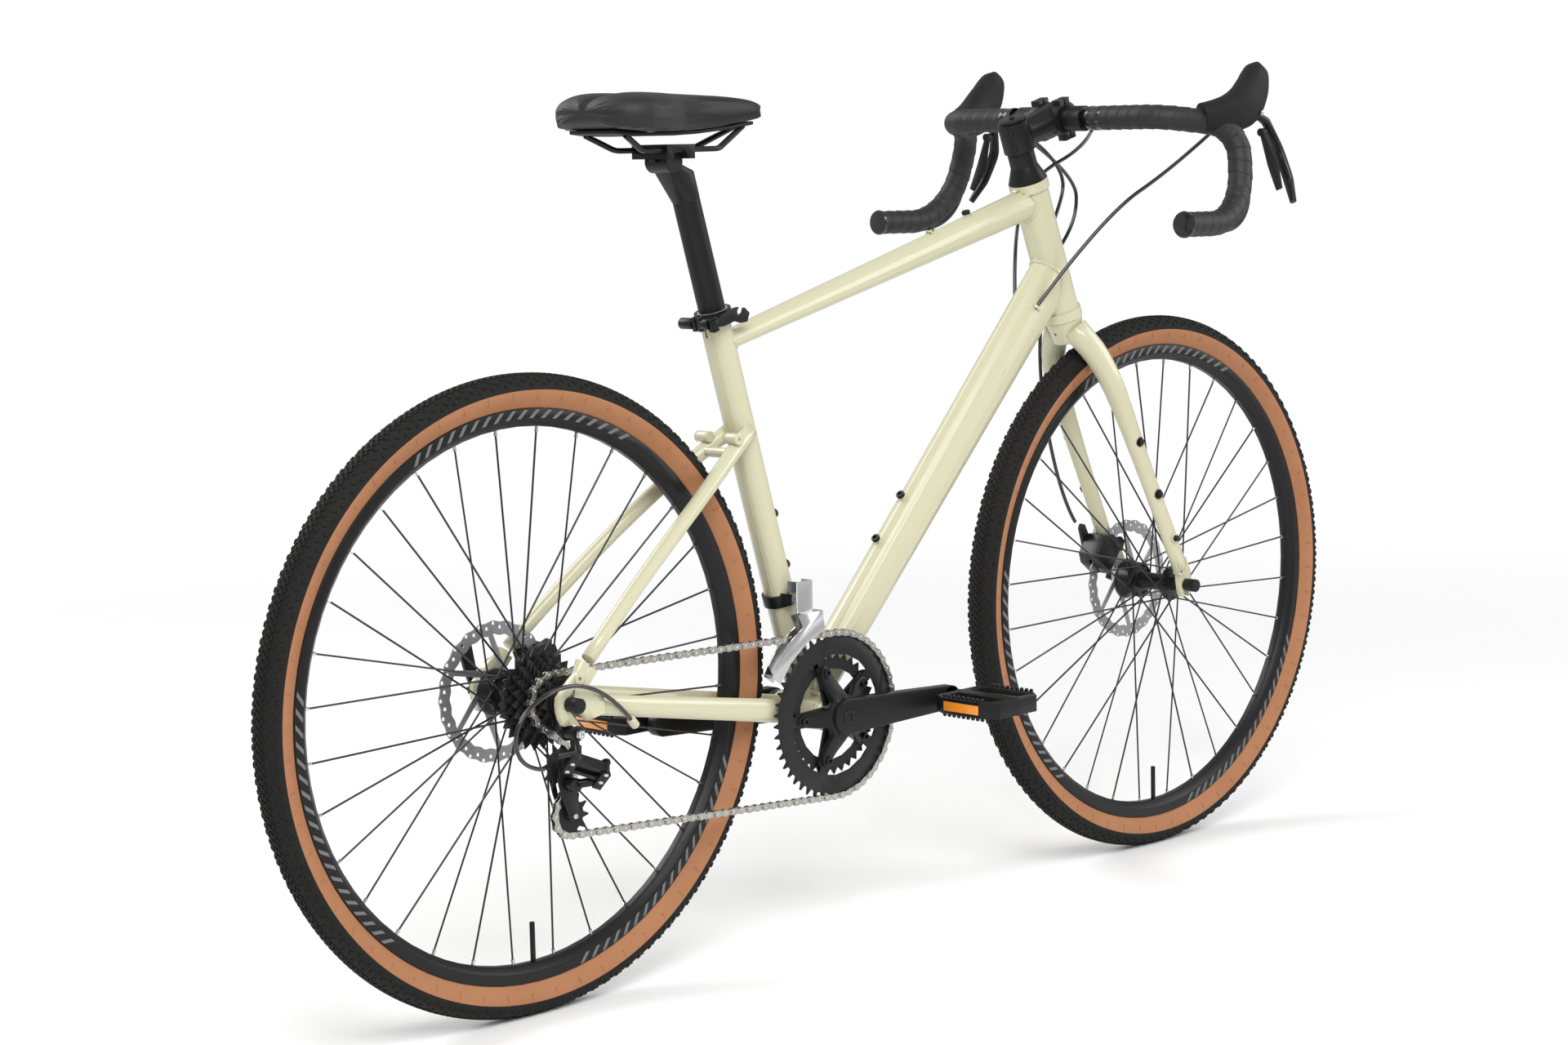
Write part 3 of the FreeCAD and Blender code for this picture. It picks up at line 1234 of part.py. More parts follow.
def sprocket(centre, teeth, phase, full):
    """A toothed plate with its middle at a point: full teeth where the chain runs, plain points elsewhere."""
    reach = pitch_radius(teeth)
    step = 2 * math.pi / teeth
    points = []
    for index in range(teeth):
        middle = phase + (index + HALF_SHARE) * step
        radial = V(math.cos(middle), 0, math.sin(middle))
        across = LEFT.cross(radial) * -1
        root, tip = reach - TOOTH_DEEP, reach + TOOTH_RISE
        if full:
            points += [radial * root - across * TOOTH_ROOT_HALF, radial * tip - across * TOOTH_TIP_HALF,
                       radial * tip + across * TOOTH_TIP_HALF, radial * root + across * TOOTH_ROOT_HALF]
        else:
            valley = middle + step / 2
            points += [radial * tip, V(math.cos(valley), 0, math.sin(valley)) * root]
    return prism([centre + point - LEFT * (PLATE_T / 2) for point in points], LEFT * PLATE_T)


def ring_tabs(centre, reach):
    """Five tabs from a ring's band in to the chainring bolts."""
    tabs = []
    for index in range(RING_ARMS):
        turn = math.radians(SPIDER_TURN) + 2 * math.pi * index / RING_ARMS
        radial = V(math.cos(turn), 0, math.sin(turn))
        across = radial.cross(LEFT) * (RING_TAB_W / 2)
        low, high = radial * (BOLT_CIRCLE_R - RING_TAB_W / 2), radial * reach
        base = centre - LEFT * (PLATE_T / 2)
        tabs.append(prism([base + low - across * HALF_SHARE, base + high - across, base + high + across,
                           base + low + across * HALF_SHARE], LEFT * PLATE_T))
    return tabs


def chainrings():
    """The large ring that carries the chain, the small ring inside it, and their bolts."""
    big_at = BB - LEFT * CHAIN_OUT
    small_at = BB - LEFT * SMALL_RING_OUT
    rings = []
    phase = chain_pins()[1][0]
    for at, teeth, full in ((big_at, RING_TEETH, True), (small_at, SMALL_RING_TEETH, False)):
        reach = pitch_radius(teeth) - TOOTH_DEEP
        band_in = reach - (RING_BAND if full else RING_BAND / 2)
        hole = prism(around(at - LEFT * PLATE_T, band_in, RING_HOLE_SIDES), LEFT * (PLATE_T * 2))
        ring = sprocket(at, teeth, phase, full).cut(hole)
        rings.append(ring.fuse(ring_tabs(at, (reach + band_in) / 2)).removeSplitter())
    bolts = []
    for index in range(RING_ARMS):
        turn = math.radians(SPIDER_TURN) + 2 * math.pi * index / RING_ARMS
        at = V(math.cos(turn), 0, math.sin(turn)) * BOLT_CIRCLE_R
        face = big_at - LEFT * (PLATE_T / 2) + at
        back = small_at + LEFT * (PLATE_T / 2) + at
        bolts.append(facet_bar(face, face - LEFT * RING_BOLT_H, RING_BOLT_R, FRAME_BOLT_SIDES))
        bolts.append(facet_bar(back, back + LEFT * RING_BOLT_H, RING_BOLT_R, FRAME_BOLT_SIDES))
    return rings + bolts


def crank_end(side):
    """The middle of a pedal's axle, in the plane of the bike: ahead on the right, behind on the left."""
    return BB - AHEAD * (side * CRANK_LENGTH)


def crank_arms():
    """Both crank arms on one spindle, the spider for the rings and the pedals' axles."""
    boss_in = BB_SHELL_W / 2 + BB_CUP_T + CLEAR
    spindle = cross_bar(BB, -CRANK_BOSS_END, CRANK_BOSS_END, SPINDLE_D / 2)
    pieces = [spindle]
    for side in SIDES:
        out = LEFT * side
        root, end = BB + out * CRANK_ROOT_OUT, crank_end(side) + out * CRANK_END_OUT
        pieces.append(tube([root, end], (CRANK_W, CRANK_W), (CRANK_ROOT_H, CRANK_END_H)))
        pieces.append(cylinder(BB + out * boss_in, BB + out * CRANK_BOSS_END, CRANK_BOSS_R))
        pieces.append(cylinder(end - out * CRANK_EYE_HALF, end + out * CRANK_EYE_HALF, CRANK_EYE_R))
        pieces.append(cylinder(end, crank_end(side) + out * (PEDAL_IN + PEDAL_W - PEDAL_RIM), PEDAL_AXLE_R))
    inner = SMALL_RING_OUT + PLATE_T / 2
    depth = LEFT * -(CHAIN_OUT - PLATE_T / 2 - inner)
    for index in range(RING_ARMS):
        turn = math.radians(SPIDER_TURN) + 2 * math.pi * index / RING_ARMS
        radial = V(math.cos(turn), 0, math.sin(turn))
        across = radial.cross(LEFT)
        root = BB - LEFT * inner
        tip = root + radial * (BOLT_CIRCLE_R + RING_TAB_W / 2)
        wide, narrow = across * (SPIDER_ROOT_W / 2), across * (RING_TAB_W / 2)
        pieces.append(prism([root - wide, tip - narrow, tip + narrow, root + wide], depth))
    return pieces[0].fuse(pieces[1:]).removeSplitter()


def pedal(side):
    """A cage pedal: a toothed platform round a barrel, with a window on each side of it."""
    out = LEFT * side
    inner = crank_end(side) + out * PEDAL_IN
    middle = inner + out * (PEDAL_W / 2)
    edge = [middle + AHEAD * (x * PEDAL_L) + out * (y * PEDAL_W) - UP * (PEDAL_T / 2) for x, y in PEDAL_SHARES]
    plate = prism(edge, UP * PEDAL_T)
    gap = PEDAL_L / 2 - PEDAL_RIM - PEDAL_BARREL_R
    for way in SIDES:
        low = PEDAL_BARREL_R
        corners = ((low, -1), (low, 1), (low + gap, 1), (low + gap, -1))
        hole = [middle + AHEAD * (way * x) + out * (y * (PEDAL_W / 2 - PEDAL_RIM)) - UP * PEDAL_T for x, y in corners]
        plate = plate.cut(prism(hole, UP * (PEDAL_T * 2)))
    bore = cylinder(inner - out * OVERRUN, inner + out * (PEDAL_W - PEDAL_RIM + CLEAR), PEDAL_AXLE_R + RUN_FIT)
    return plate.fuse(cylinder(inner, inner + out * PEDAL_W, PEDAL_BARREL_R)).removeSplitter().cut(bore)


def cassette():
    """Eight cogs on a splined carrier, with a lockring."""
    start = -REAR_FLANGES[0] + FLANGE_T + CLEAR
    first = CHAIN_OUT + COG_STEP * COG_IN_USE
    phase = chain_pins()[1][1]
    bore = cross_bar(REAR, -CARRIER_END - OVERRUN, 0, AXLE_R + RUN_FIT)
    body = prism(around(REAR - LEFT * start, CARRIER_R, CARRIER_SIDES), LEFT * -(first - start + PLATE_T / 2)).cut(bore)
    lock_at = REAR - LEFT * (first + PLATE_T / 2)
    lock = prism(around(lock_at, LOCKRING_R, CARRIER_SIDES), LEFT * -(CARRIER_END - first - PLATE_T / 2)).cut(bore)
    cogs = []
    for index, teeth in enumerate(COG_TEETH):
        at = REAR - LEFT * (first - COG_STEP * index)
        cogs.append(sprocket(at, teeth, phase, index == COG_IN_USE).cut(body).cut(bore))
    return [body, lock] + cogs


def derailleur_axes():
    """The rear derailleur's link direction, its way of travel and its pivots' axis, each at length 1."""
    link = unit(V(*RD_LINK_SHARES))
    travel = V(*RD_TRAVEL_SHARES)
    travel = unit(travel - link * travel.dot(link))
    return link, travel, link.cross(travel)


def link_pivots():
    """The outer and the inner link's upper pivots."""
    link, travel, axis = derailleur_axes()
    middle = REAR - LEFT * RD_PIVOT_OUT - UP * RD_PIVOT_DOWN
    return middle - travel * (RD_LINK_GAP / 2), middle + travel * (RD_LINK_GAP / 2)


def knuckle_ears(middle, way):
    """A knuckle's two ears, the block between them and the pins of both links, on one side of the links."""
    link, travel, axis = derailleur_axes()
    inner = RD_LINK_HALF + CLEAR
    outer = inner + RD_EAR_T
    pins = [cylinder(middle + travel * (side * RD_LINK_GAP / 2) - axis * outer,
                     middle + travel * (side * RD_LINK_GAP / 2) + axis * outer, RD_PIN_R) for side in SIDES]
    shape = flat_points(middle, RD_EAR_SHARES, RD_EAR_SIZE, link, travel * way)
    plates = [prism([p + axis * (side * inner) for p in shape], axis * (side * RD_EAR_T)) for side in SIDES]
    block = flat_points(middle - axis * outer, RD_BLOCK_SHARES, RD_EAR_SIZE, link, travel * way)
    middle_share = sum(z for x, z in RD_BLOCK_SHARES) / len(RD_BLOCK_SHARES)
    return plates + pins + [prism(block, axis * (outer * 2))], middle + travel * (way * middle_share * RD_EAR_SIZE)


def rd_body():
    """The upper knuckle: its bolt in the hanger, the links' ears and the cable's adjuster."""
    link, travel, axis = derailleur_axes()
    outer, inner = link_pivots()
    eye = hanger_pivot()
    barrel_in = eye - LEFT * CLEAR
    barrel_out = barrel_in - LEFT * B_BARREL_L
    ears, root = knuckle_ears((outer + inner) * HALF_SHARE, 1)
    bolt = cylinder(eye + LEFT * HANGER_T, barrel_out, B_BOLT_R)
    barrel = cylinder(barrel_in, barrel_out, B_BARREL_R)
    head = facet_bar(barrel_out, barrel_out - LEFT * B_HEAD_H, B_HEAD_R, FRAME_BOLT_SIDES)
    strut = cylinder(root, (barrel_in + barrel_out) * HALF_SHARE, RD_STRUT_R)
    adjuster = cylinder(root, root + unit(V(*ADJUSTER_SHARES)) * ADJUSTER_L, ADJUSTER_R)
    return bolt.fuse([barrel, head, strut, adjuster] + ears).removeSplitter()


def rd_link(pivot):
    """One link: a bar with a round end and a bore at each pivot."""
    link, travel, axis = derailleur_axes()
    far = pivot + link * RD_LINK_L
    half = axis * RD_LINK_HALF
    across = travel * (RD_LINK_T / 2)
    bar = prism([p - half for p in (pivot - across, far - across, far + across, pivot + across)], half * 2)
    ends = [cylinder(at - half, at + half, RD_LINK_END_R) for at in (pivot, far)]
    bores = [cylinder(at - half * 2, at + half * 2, RD_PIN_R + RUN_FIT) for at in (pivot, far)]
    whole = bar.fuse(ends).removeSplitter()
    return whole.cut(bores[0]).cut(bores[1])


def cage_faces():
    """Side positions of the cage plates' outer faces, right and left."""
    reach = CAGE_GAP + CAGE_T
    return -CHAIN_OUT - reach, -CHAIN_OUT + reach


def rd_knuckle():
    """The lower knuckle: the links' far ears and the barrel that the cage turns in."""
    link, travel, axis = derailleur_axes()
    outer, inner = link_pivots()
    ears, root = knuckle_ears((outer + inner) * HALF_SHARE + link * RD_LINK_L, -1)
    pivot = cage_places(0)[0]
    right = cage_faces()[0] - CLEAR
    start, end = pivot + LEFT * right, pivot + LEFT * (right - CAGE_BARREL_L)
    barrel = cylinder(start, end, CAGE_BARREL_R)
    strut = cylinder(root, (start + end) * HALF_SHARE, RD_STRUT_R)
    whole = barrel.fuse([strut] + ears).removeSplitter()
    return whole.cut(cylinder(start + LEFT * OVERRUN, end - LEFT * OVERRUN, CAGE_PIVOT_R + RUN_FIT))


def rd_cage():
    """The pulley cage: two windowed plates, the pulleys' bolts and the pin in the lower knuckle."""
    pivot, guide, tension = cage_places(CAGE_SWING)
    run = tension - guide
    across = unit(run).cross(LEFT) * -1
    bolts = [cross_bar(at, -CHAIN_OUT - CAGE_GAP - CAGE_T, -CHAIN_OUT + CAGE_GAP + CAGE_T, PULLEY_BOLT_R)
             for at in (guide, tension)]
    middle = (guide + tension) * HALF_SHARE
    edge = [guide + run * x + across * (z * CAGE_HALF_W) for x, z in CAGE_SHARES]
    hole = [middle + run * (x * CAGE_WINDOW_SHARE / 2) + across * (z * CAGE_HALF_W * CAGE_WINDOW_SHARE)
            for x, z in ((-1, -1), (1, -1), (1, 1), (-1, 1))]
    plates = []
    for low in (-CHAIN_OUT - CAGE_GAP - CAGE_T, -CHAIN_OUT + CAGE_GAP):
        plate = prism([p + LEFT * low for p in edge], LEFT * CAGE_T)
        if low > -CHAIN_OUT:
            plate = plate.cut(prism([p + LEFT * (low - CAGE_T) for p in hole], LEFT * (CAGE_T * 3)))
        plates.append(plate)
    right = cage_faces()[0]
    pin = cross_bar(pivot, right - CLEAR - CAGE_BARREL_L, right + CAGE_T, CAGE_PIVOT_R)
    return plates[0].fuse([plates[1], pin] + bolts).removeSplitter()


def pulley(index):
    """A toothed pulley on its bolt: the guide, then the tension pulley."""
    at = cage_places(CAGE_SWING)[index + 1] - LEFT * CHAIN_OUT
    phase = chain_pins()[1][index + 2]
    boss = CAGE_GAP - CLEAR
    disc = sprocket(at, PULLEY_TEETH, phase, True).fuse(cross_bar(at, -boss, boss, PULLEY_BOSS_R)).removeSplitter()
    return disc.cut(cross_bar(at, -boss - OVERRUN, boss + OVERRUN, PULLEY_BOLT_R + RUN_FIT))


def fd_pivots():
    """The front derailleur's link pivots: on its band, and on its cage above."""
    low = seat(FD_BAND_AT) - LEFT * FD_PIVOT_OUT
    lean = math.radians(FD_LINK_LEAN)
    return low, low - LEFT * (FD_LINK_L * math.sin(lean)) + UP * (FD_LINK_L * math.cos(lean))


def fd_ears(at, reach):
    """Two ears across the link's ends, reaching from the pivot to a side position, with the pivot's pin."""
    half = FD_LINK_HALF + CLEAR
    pin = cylinder(at - AHEAD * (half + FD_EAR_T), at + AHEAD * (half + FD_EAR_T), FD_PIN_R)
    lip = FD_LINK_R if reach < at.y else -FD_LINK_R
    ears = []
    for side in SIDES:
        foot = V(at.x + side * half, at.y + lip, at.z - FD_EAR_H / 2)
        over = LEFT * (reach - foot.y)
        ears.append(prism([foot, foot + over, foot + over + UP * FD_EAR_H, foot + UP * FD_EAR_H],
                          AHEAD * (side * FD_EAR_T)).cut(pin))
    return ears, pin


def front_derailleur_body():
    """The band on the seat tube and the ears that carry the front derailleur's link."""
    low, high = seat(FD_BAND_AT - FD_BAND_H / 2), seat(FD_BAND_AT + FD_BAND_H / 2)
    radius = SEAT_TUBE_D / 2
    band = sleeve(low, high, radius + FD_BAND_T, radius)
    solid = cylinder(low - SEAT_UP * FD_BAND_H, high + SEAT_UP * FD_BAND_H, radius)
    ears, pin = fd_ears(fd_pivots()[0], 0)
    return [band.fuse([ear.cut(solid) for ear in ears]).removeSplitter(), pin]


def fd_link():
    """The short link between the front derailleur's band and its cage."""
    low, high = fd_pivots()
    half = AHEAD * FD_LINK_HALF
    up = unit(high - low)
    across = up.cross(AHEAD) * (FD_LINK_T / 2)
    web = prism([p - half for p in (low - across, low + across, high + across, high - across)], half * 2)
    ends = [cylinder(at - half, at + half, FD_LINK_R) for at in (low, high)]
    whole = web.fuse(ends).removeSplitter()
    for at in (low, high):
        whole = whole.cut(cylinder(at - half * 2, at + half * 2, FD_PIN_R + RUN_FIT))
    return whole


def fd_cage():
    """Two plates beside the chain, bridged below it behind and above it ahead, hung from the link."""
    size = pitch_radius(RING_TEETH) + TOOTH_RISE
    edge = flat_points(BB, FD_PLATE_SHARES, size)
    inner, outer = -CHAIN_OUT + FD_PLATE_GAP, -CHAIN_OUT - FD_PLATE_GAP - FD_PLATE_T
    plates = [prism([p + LEFT * low for p in edge], LEFT * FD_PLATE_T) for low in (inner, outer)]
    span = LEFT * (inner - outer)
    bridges = []
    for first, second in ((1, 2), (4, 5)):
        a, b = edge[first], edge[second]
        part = a + (b - a) * HALF_SHARE
        drop = unit((b - a).cross(LEFT)) * FD_BRIDGE_T
        bridges.append(prism([p + LEFT * outer for p in (a, part, part + drop, a + drop)], span))
    high = fd_pivots()[1]
    ears, pin = fd_ears(high, inner)
    half = FD_LINK_HALF + CLEAR + FD_EAR_T
    top = high.z + FD_EAR_H / 2
    foot = BB.z + size
    tab = [V(high.x - half, inner, foot), V(high.x + half, inner, foot), V(high.x + half, inner, top),
           V(high.x - half, inner, top)]
    return plates[0].fuse([plates[1], prism(tab, LEFT * FD_PLATE_T), pin] + bridges + ears).removeSplitter()


def clamp_centre():
    """The middle of the seatpost's head, which the saddle tilts about."""
    return seat(SEAT_TUBE_LENGTH + POST_SHOWN) - AHEAD * POST_HEAD_BACK + UP * POST_HEAD_UP


def seatpost():
    """The post with a round head set back from it."""
    top = seat(SEAT_TUBE_LENGTH + POST_SHOWN)
    low = top - SEAT_UP * POST_LENGTH
    head = clamp_centre()
    post = cylinder(low, top, POST_D / 2)
    neck = tube([top - SEAT_UP * POST_D, head], (POST_D, POST_D * NECK_SHARE), (POST_D, POST_HEAD_R))
    drum = cross_bar(head, -POST_HEAD_W / 2, POST_HEAD_W / 2, POST_HEAD_R)
    return post.fuse([neck, drum]).removeSplitter()


def rail_points():
    """Corners of the left saddle rail."""
    head = clamp_centre()
    level = head + UP * RAIL_UP
    return [level - AHEAD * RAIL_REAR_BACK + LEFT * RAIL_REAR_OUT + UP * RAIL_REAR_RISE,
            level - AHEAD * RAIL_BACK + LEFT * RAIL_OUT, level + AHEAD * RAIL_AHEAD + LEFT * RAIL_OUT,
            level + AHEAD * RAIL_NOSE_AHEAD + LEFT * RAIL_NOSE_OUT + UP * RAIL_NOSE_RISE]


def saddle_clamp():
    """The cradle on the post's head that grips both rails."""
    head = clamp_centre()
    corner = head + V(-CRADLE_L / 2, -CRADLE_W / 2, CRADLE_LOW)
    block = Part.makeBox(CRADLE_L, CRADLE_W, CRADLE_TOP - CRADLE_LOW, corner)
    block = block.cut(cross_bar(head, -CRADLE_W, CRADLE_W, POST_HEAD_R + RUN_FIT))
    for side in SIDES:
        rail = head + UP * RAIL_UP + LEFT * (side * RAIL_OUT)
        block = block.cut(cylinder(rail - AHEAD * CRADLE_L, rail + AHEAD * CRADLE_L, RAIL_R + RUN_FIT))
    return block.cut(cylinder(clamp_centre(), seat(SEAT_TUBE_LENGTH), POST_D / 2 + CLEAR))


def saddle_station(along, wide, rise, tall, deep):
    """One section across the saddle's cover: tucked sides, a crown on each side and a channel between."""
    head = clamp_centre()
    base = head + AHEAD * (along * SADDLE_L - SADDLE_BACK) + UP * (SADDLE_UP + rise * SADDLE_H)
    half, height = wide * SADDLE_W / 2, tall * SADDLE_H
    groove, depth = half * SADDLE_CHANNEL_SHARE, deep * SADDLE_H

    def at(side, out, up):
        return base + LEFT * (side * out) + UP * up

    (bulge_out, bulge_up), (edge_out, edge_up), (crown_out, crown_up) = SADDLE_SIDE_SHARES
    foot, lip = half * SADDLE_TUCK_SHARE, height * SADDLE_LIP_SHARE
    edge = at(1, half * edge_out, height * edge_up)
    flank = Part.Arc(at(1, foot, 0), at(1, half * bulge_out, height * bulge_up), edge)
    crown = Part.Arc(edge, at(1, half * crown_out, height * crown_up), at(1, groove, lip))
    right = flank.discretize(SADDLE_ARC_POINTS) + crown.discretize(SADDLE_ARC_POINTS)[1:]
    ring = right + [at(0, 0, lip - depth)] + [V(p.x, -p.y, p.z) for p in reversed(right)]
    floor = [at(-1, foot * SADDLE_BASE_SHARE, -SADDLE_SEAM), at(1, foot * SADDLE_BASE_SHARE, -SADDLE_SEAM)]
    floor += [point - UP * SADDLE_BASE_T for point in reversed(floor)]
    return [Part.makePolygon(points + points[:1]) for points in (ring, floor)]


def saddle():
    """The padded cover and the shell under it."""
    stations = [saddle_station(*row) for row in SADDLE_SHARES]
    cover = Part.makeLoft([station[0] for station in stations], True, True)
    base = Part.makeLoft([station[1] for station in stations[SADDLE_BASE_FIRST:SADDLE_BASE_LAST]], True, True)
    return cover, base


def saddle_rails(base):
    """Both rails, bent up at each end to the saddle's shell."""
    rail = max(pipe(rail_points(), RAIL_BENDS, RAIL_R, HOUSING_SIDES).cut(base).Solids, key=lambda solid: solid.Volume)
    return [rail, mirrored(rail)]


def hood():
    """The left lever hood on the bend of the bar, slotted for the brake lever and crossed by its pin."""
    centre = bar_centre()
    points = [centre + V(*place) for place in zip(HOOD_AHEAD, HOOD_OUT, HOOD_UP)]
    body = tube(points, HOOD_W, HOOD_H)
    grip = bar_points()
    body = body.cut(pipe([grip[0] + LEFT * TAPE_IN] + grip[1:], BAR_BENDS, TAPE_D / 2))
    pivot = lever_pivot()
    slot = Part.makeBox(LEVER_SLOT_R + LEVER_SLOT_L, LEVER_SLOT_W, LEVER_SLOT_L + LEVER_SLOT_R,
                        pivot - V(LEVER_SLOT_R, LEVER_SLOT_W / 2, LEVER_SLOT_L))
    pin = cross_bar(pivot, -LEVER_PIN_L / 2, LEVER_PIN_L / 2, LEVER_PIN_R)
    return [max(body.cut(slot).cut(pin).Solids, key=lambda solid: solid.Volume), pin]


def lever_pivot():
    """The middle of the left brake lever's pin."""
    return bar_centre() + V(LEVER_AHEAD, LEVER_OUT, LEVER_UP)


def paddle_pivot():
    """The middle of the left shift paddle's pin, behind the brake lever's blade."""
    return lever_pivot() + V(PADDLE_AHEAD, PADDLE_OUT, -PADDLE_DOWN)


def brake_lever():
    """The left brake lever: a lug on the pin, a curved blade and the pin for the shift paddle."""
    pivot = lever_pivot()
    points = [pivot + V(*place) for place in zip(BLADE_AHEAD, BLADE_OUT, [-down for down in BLADE_DOWN])]
    lug = cross_bar(pivot, -LEVER_LUG_W / 2, LEVER_LUG_W / 2, LEVER_LUG_R)
    hinge = paddle_pivot()
    pin = cylinder(hinge - AHEAD * (PADDLE_BOSS_L / 2), hinge + AHEAD * PADDLE_PIN_L, PADDLE_PIN_R)
    lever = lug.fuse([tube(points, BLADE_W, BLADE_H), pin]).removeSplitter()
    return lever.cut(cross_bar(pivot, -LEVER_PIN_L, LEVER_PIN_L, LEVER_PIN_R + RUN_FIT))


def shift_paddle():
    """The left shift paddle, behind the brake lever's blade."""
    hinge = paddle_pivot()
    points = [hinge + V(*place) for place in
              zip(PADDLE_TIPS_AHEAD, PADDLE_TIPS_OUT, [-down for down in PADDLE_TIPS_DOWN])]
    half = AHEAD * (PADDLE_BOSS_L / 2)
    boss = cylinder(hinge - half, hinge + half, PADDLE_BOSS_R)
    paddle = boss.fuse(tube(points, PADDLE_W, PADDLE_H)).removeSplitter()
    return paddle.cut(cylinder(hinge - half * 2, hinge + half * 2, PADDLE_PIN_R + RUN_FIT))


def caliper_centre(axle, rotor_out, turn):
    """The middle of a caliper, over its rotor's band."""
    return axle + lever_run(turn) * CALIPER_REACH + LEFT * (rotor_out - CALIPER_IN)


def arm_pivot(axle, rotor_out, turn):
    """Where a caliper's arm turns, on the caliper's outer face."""
    return caliper_centre(axle, rotor_out, turn) + LEFT * CALIPER_W


def caliper(axle, rotor_out, turn, *stays):
    """A caliper astride its rotor, shaped to the stays that carry it, with the pin for its arm."""
    centre = caliper_centre(axle, rotor_out, turn)
    radial = lever_run(turn)
    across = radial.cross(LEFT)
    edge = [centre + across * (x * CALIPER_L) + radial * (z * CALIPER_D) for x, z in CALIPER_SHARES]
    body = prism(edge, LEFT * CALIPER_W)
    disc = cross_bar(axle, rotor_out - CALIPER_SLOT / 2, rotor_out + CALIPER_SLOT / 2, ROTOR_R + ROTOR_WAVE)
    for stay in stays:
        body = body.cut(stay)
    pivot = arm_pivot(axle, rotor_out, turn)
    pin = cylinder(pivot, pivot + LEFT * (ARM_T + CLEAR * 2), ARM_PIN_R)
    return [max(body.cut(disc).Solids, key=lambda solid: solid.Volume), pin]


def caliper_arm(axle, rotor_out, turn, arm_turn):
    """The arm that the cable pulls, on its caliper's pin."""
    pivot = arm_pivot(axle, rotor_out, turn) + LEFT * CLEAR
    along = lever_run(arm_turn)
    arm = prism(flat_points(pivot, ARM_SHARES, ARM_L, along, along.cross(LEFT)), LEFT * ARM_T)
    return arm.cut(cylinder(pivot - LEFT * OVERRUN, pivot + LEFT * (ARM_T + OVERRUN), ARM_PIN_R + RUN_FIT))


def housing(route_points, bend):
    """A cable's housing along its route."""
    rear_foot = V(REAR.x, 0, 0)
    points = [rear_foot + V(*point) for point in route_points]
    return pipe(points, [bend] * (len(points) - 2), HOUSING_R, HOUSING_SIDES)


def cable_stop(stay):
    """The stop under the right chainstay that the derailleur's housing starts from."""
    start = V(REAR.x, 0, 0) + V(*DERAILLEUR_ROUTE[0])
    run = unit(BB - REAR)
    barrel = cylinder(start, start + run * STOP_L, STOP_R)
    return barrel.cut(stay)


def control_cables():
    """The housings that cross from the bar to the down tube, and the derailleur's loop."""
    shell = [down_tube(), head_solid()]
    solids = []
    for points in (SHIFT_RIGHT_ROUTE, BRAKE_REAR_ROUTE, SHIFT_LEFT_ROUTE):
        line = housing(points, CABLE_BEND)
        for piece in shell:
            line = line.cut(piece)
        solids.append(line)
    return solids + [housing(DERAILLEUR_ROUTE, DERAILLEUR_BEND), cable_stop(mirrored(chainstay()))]


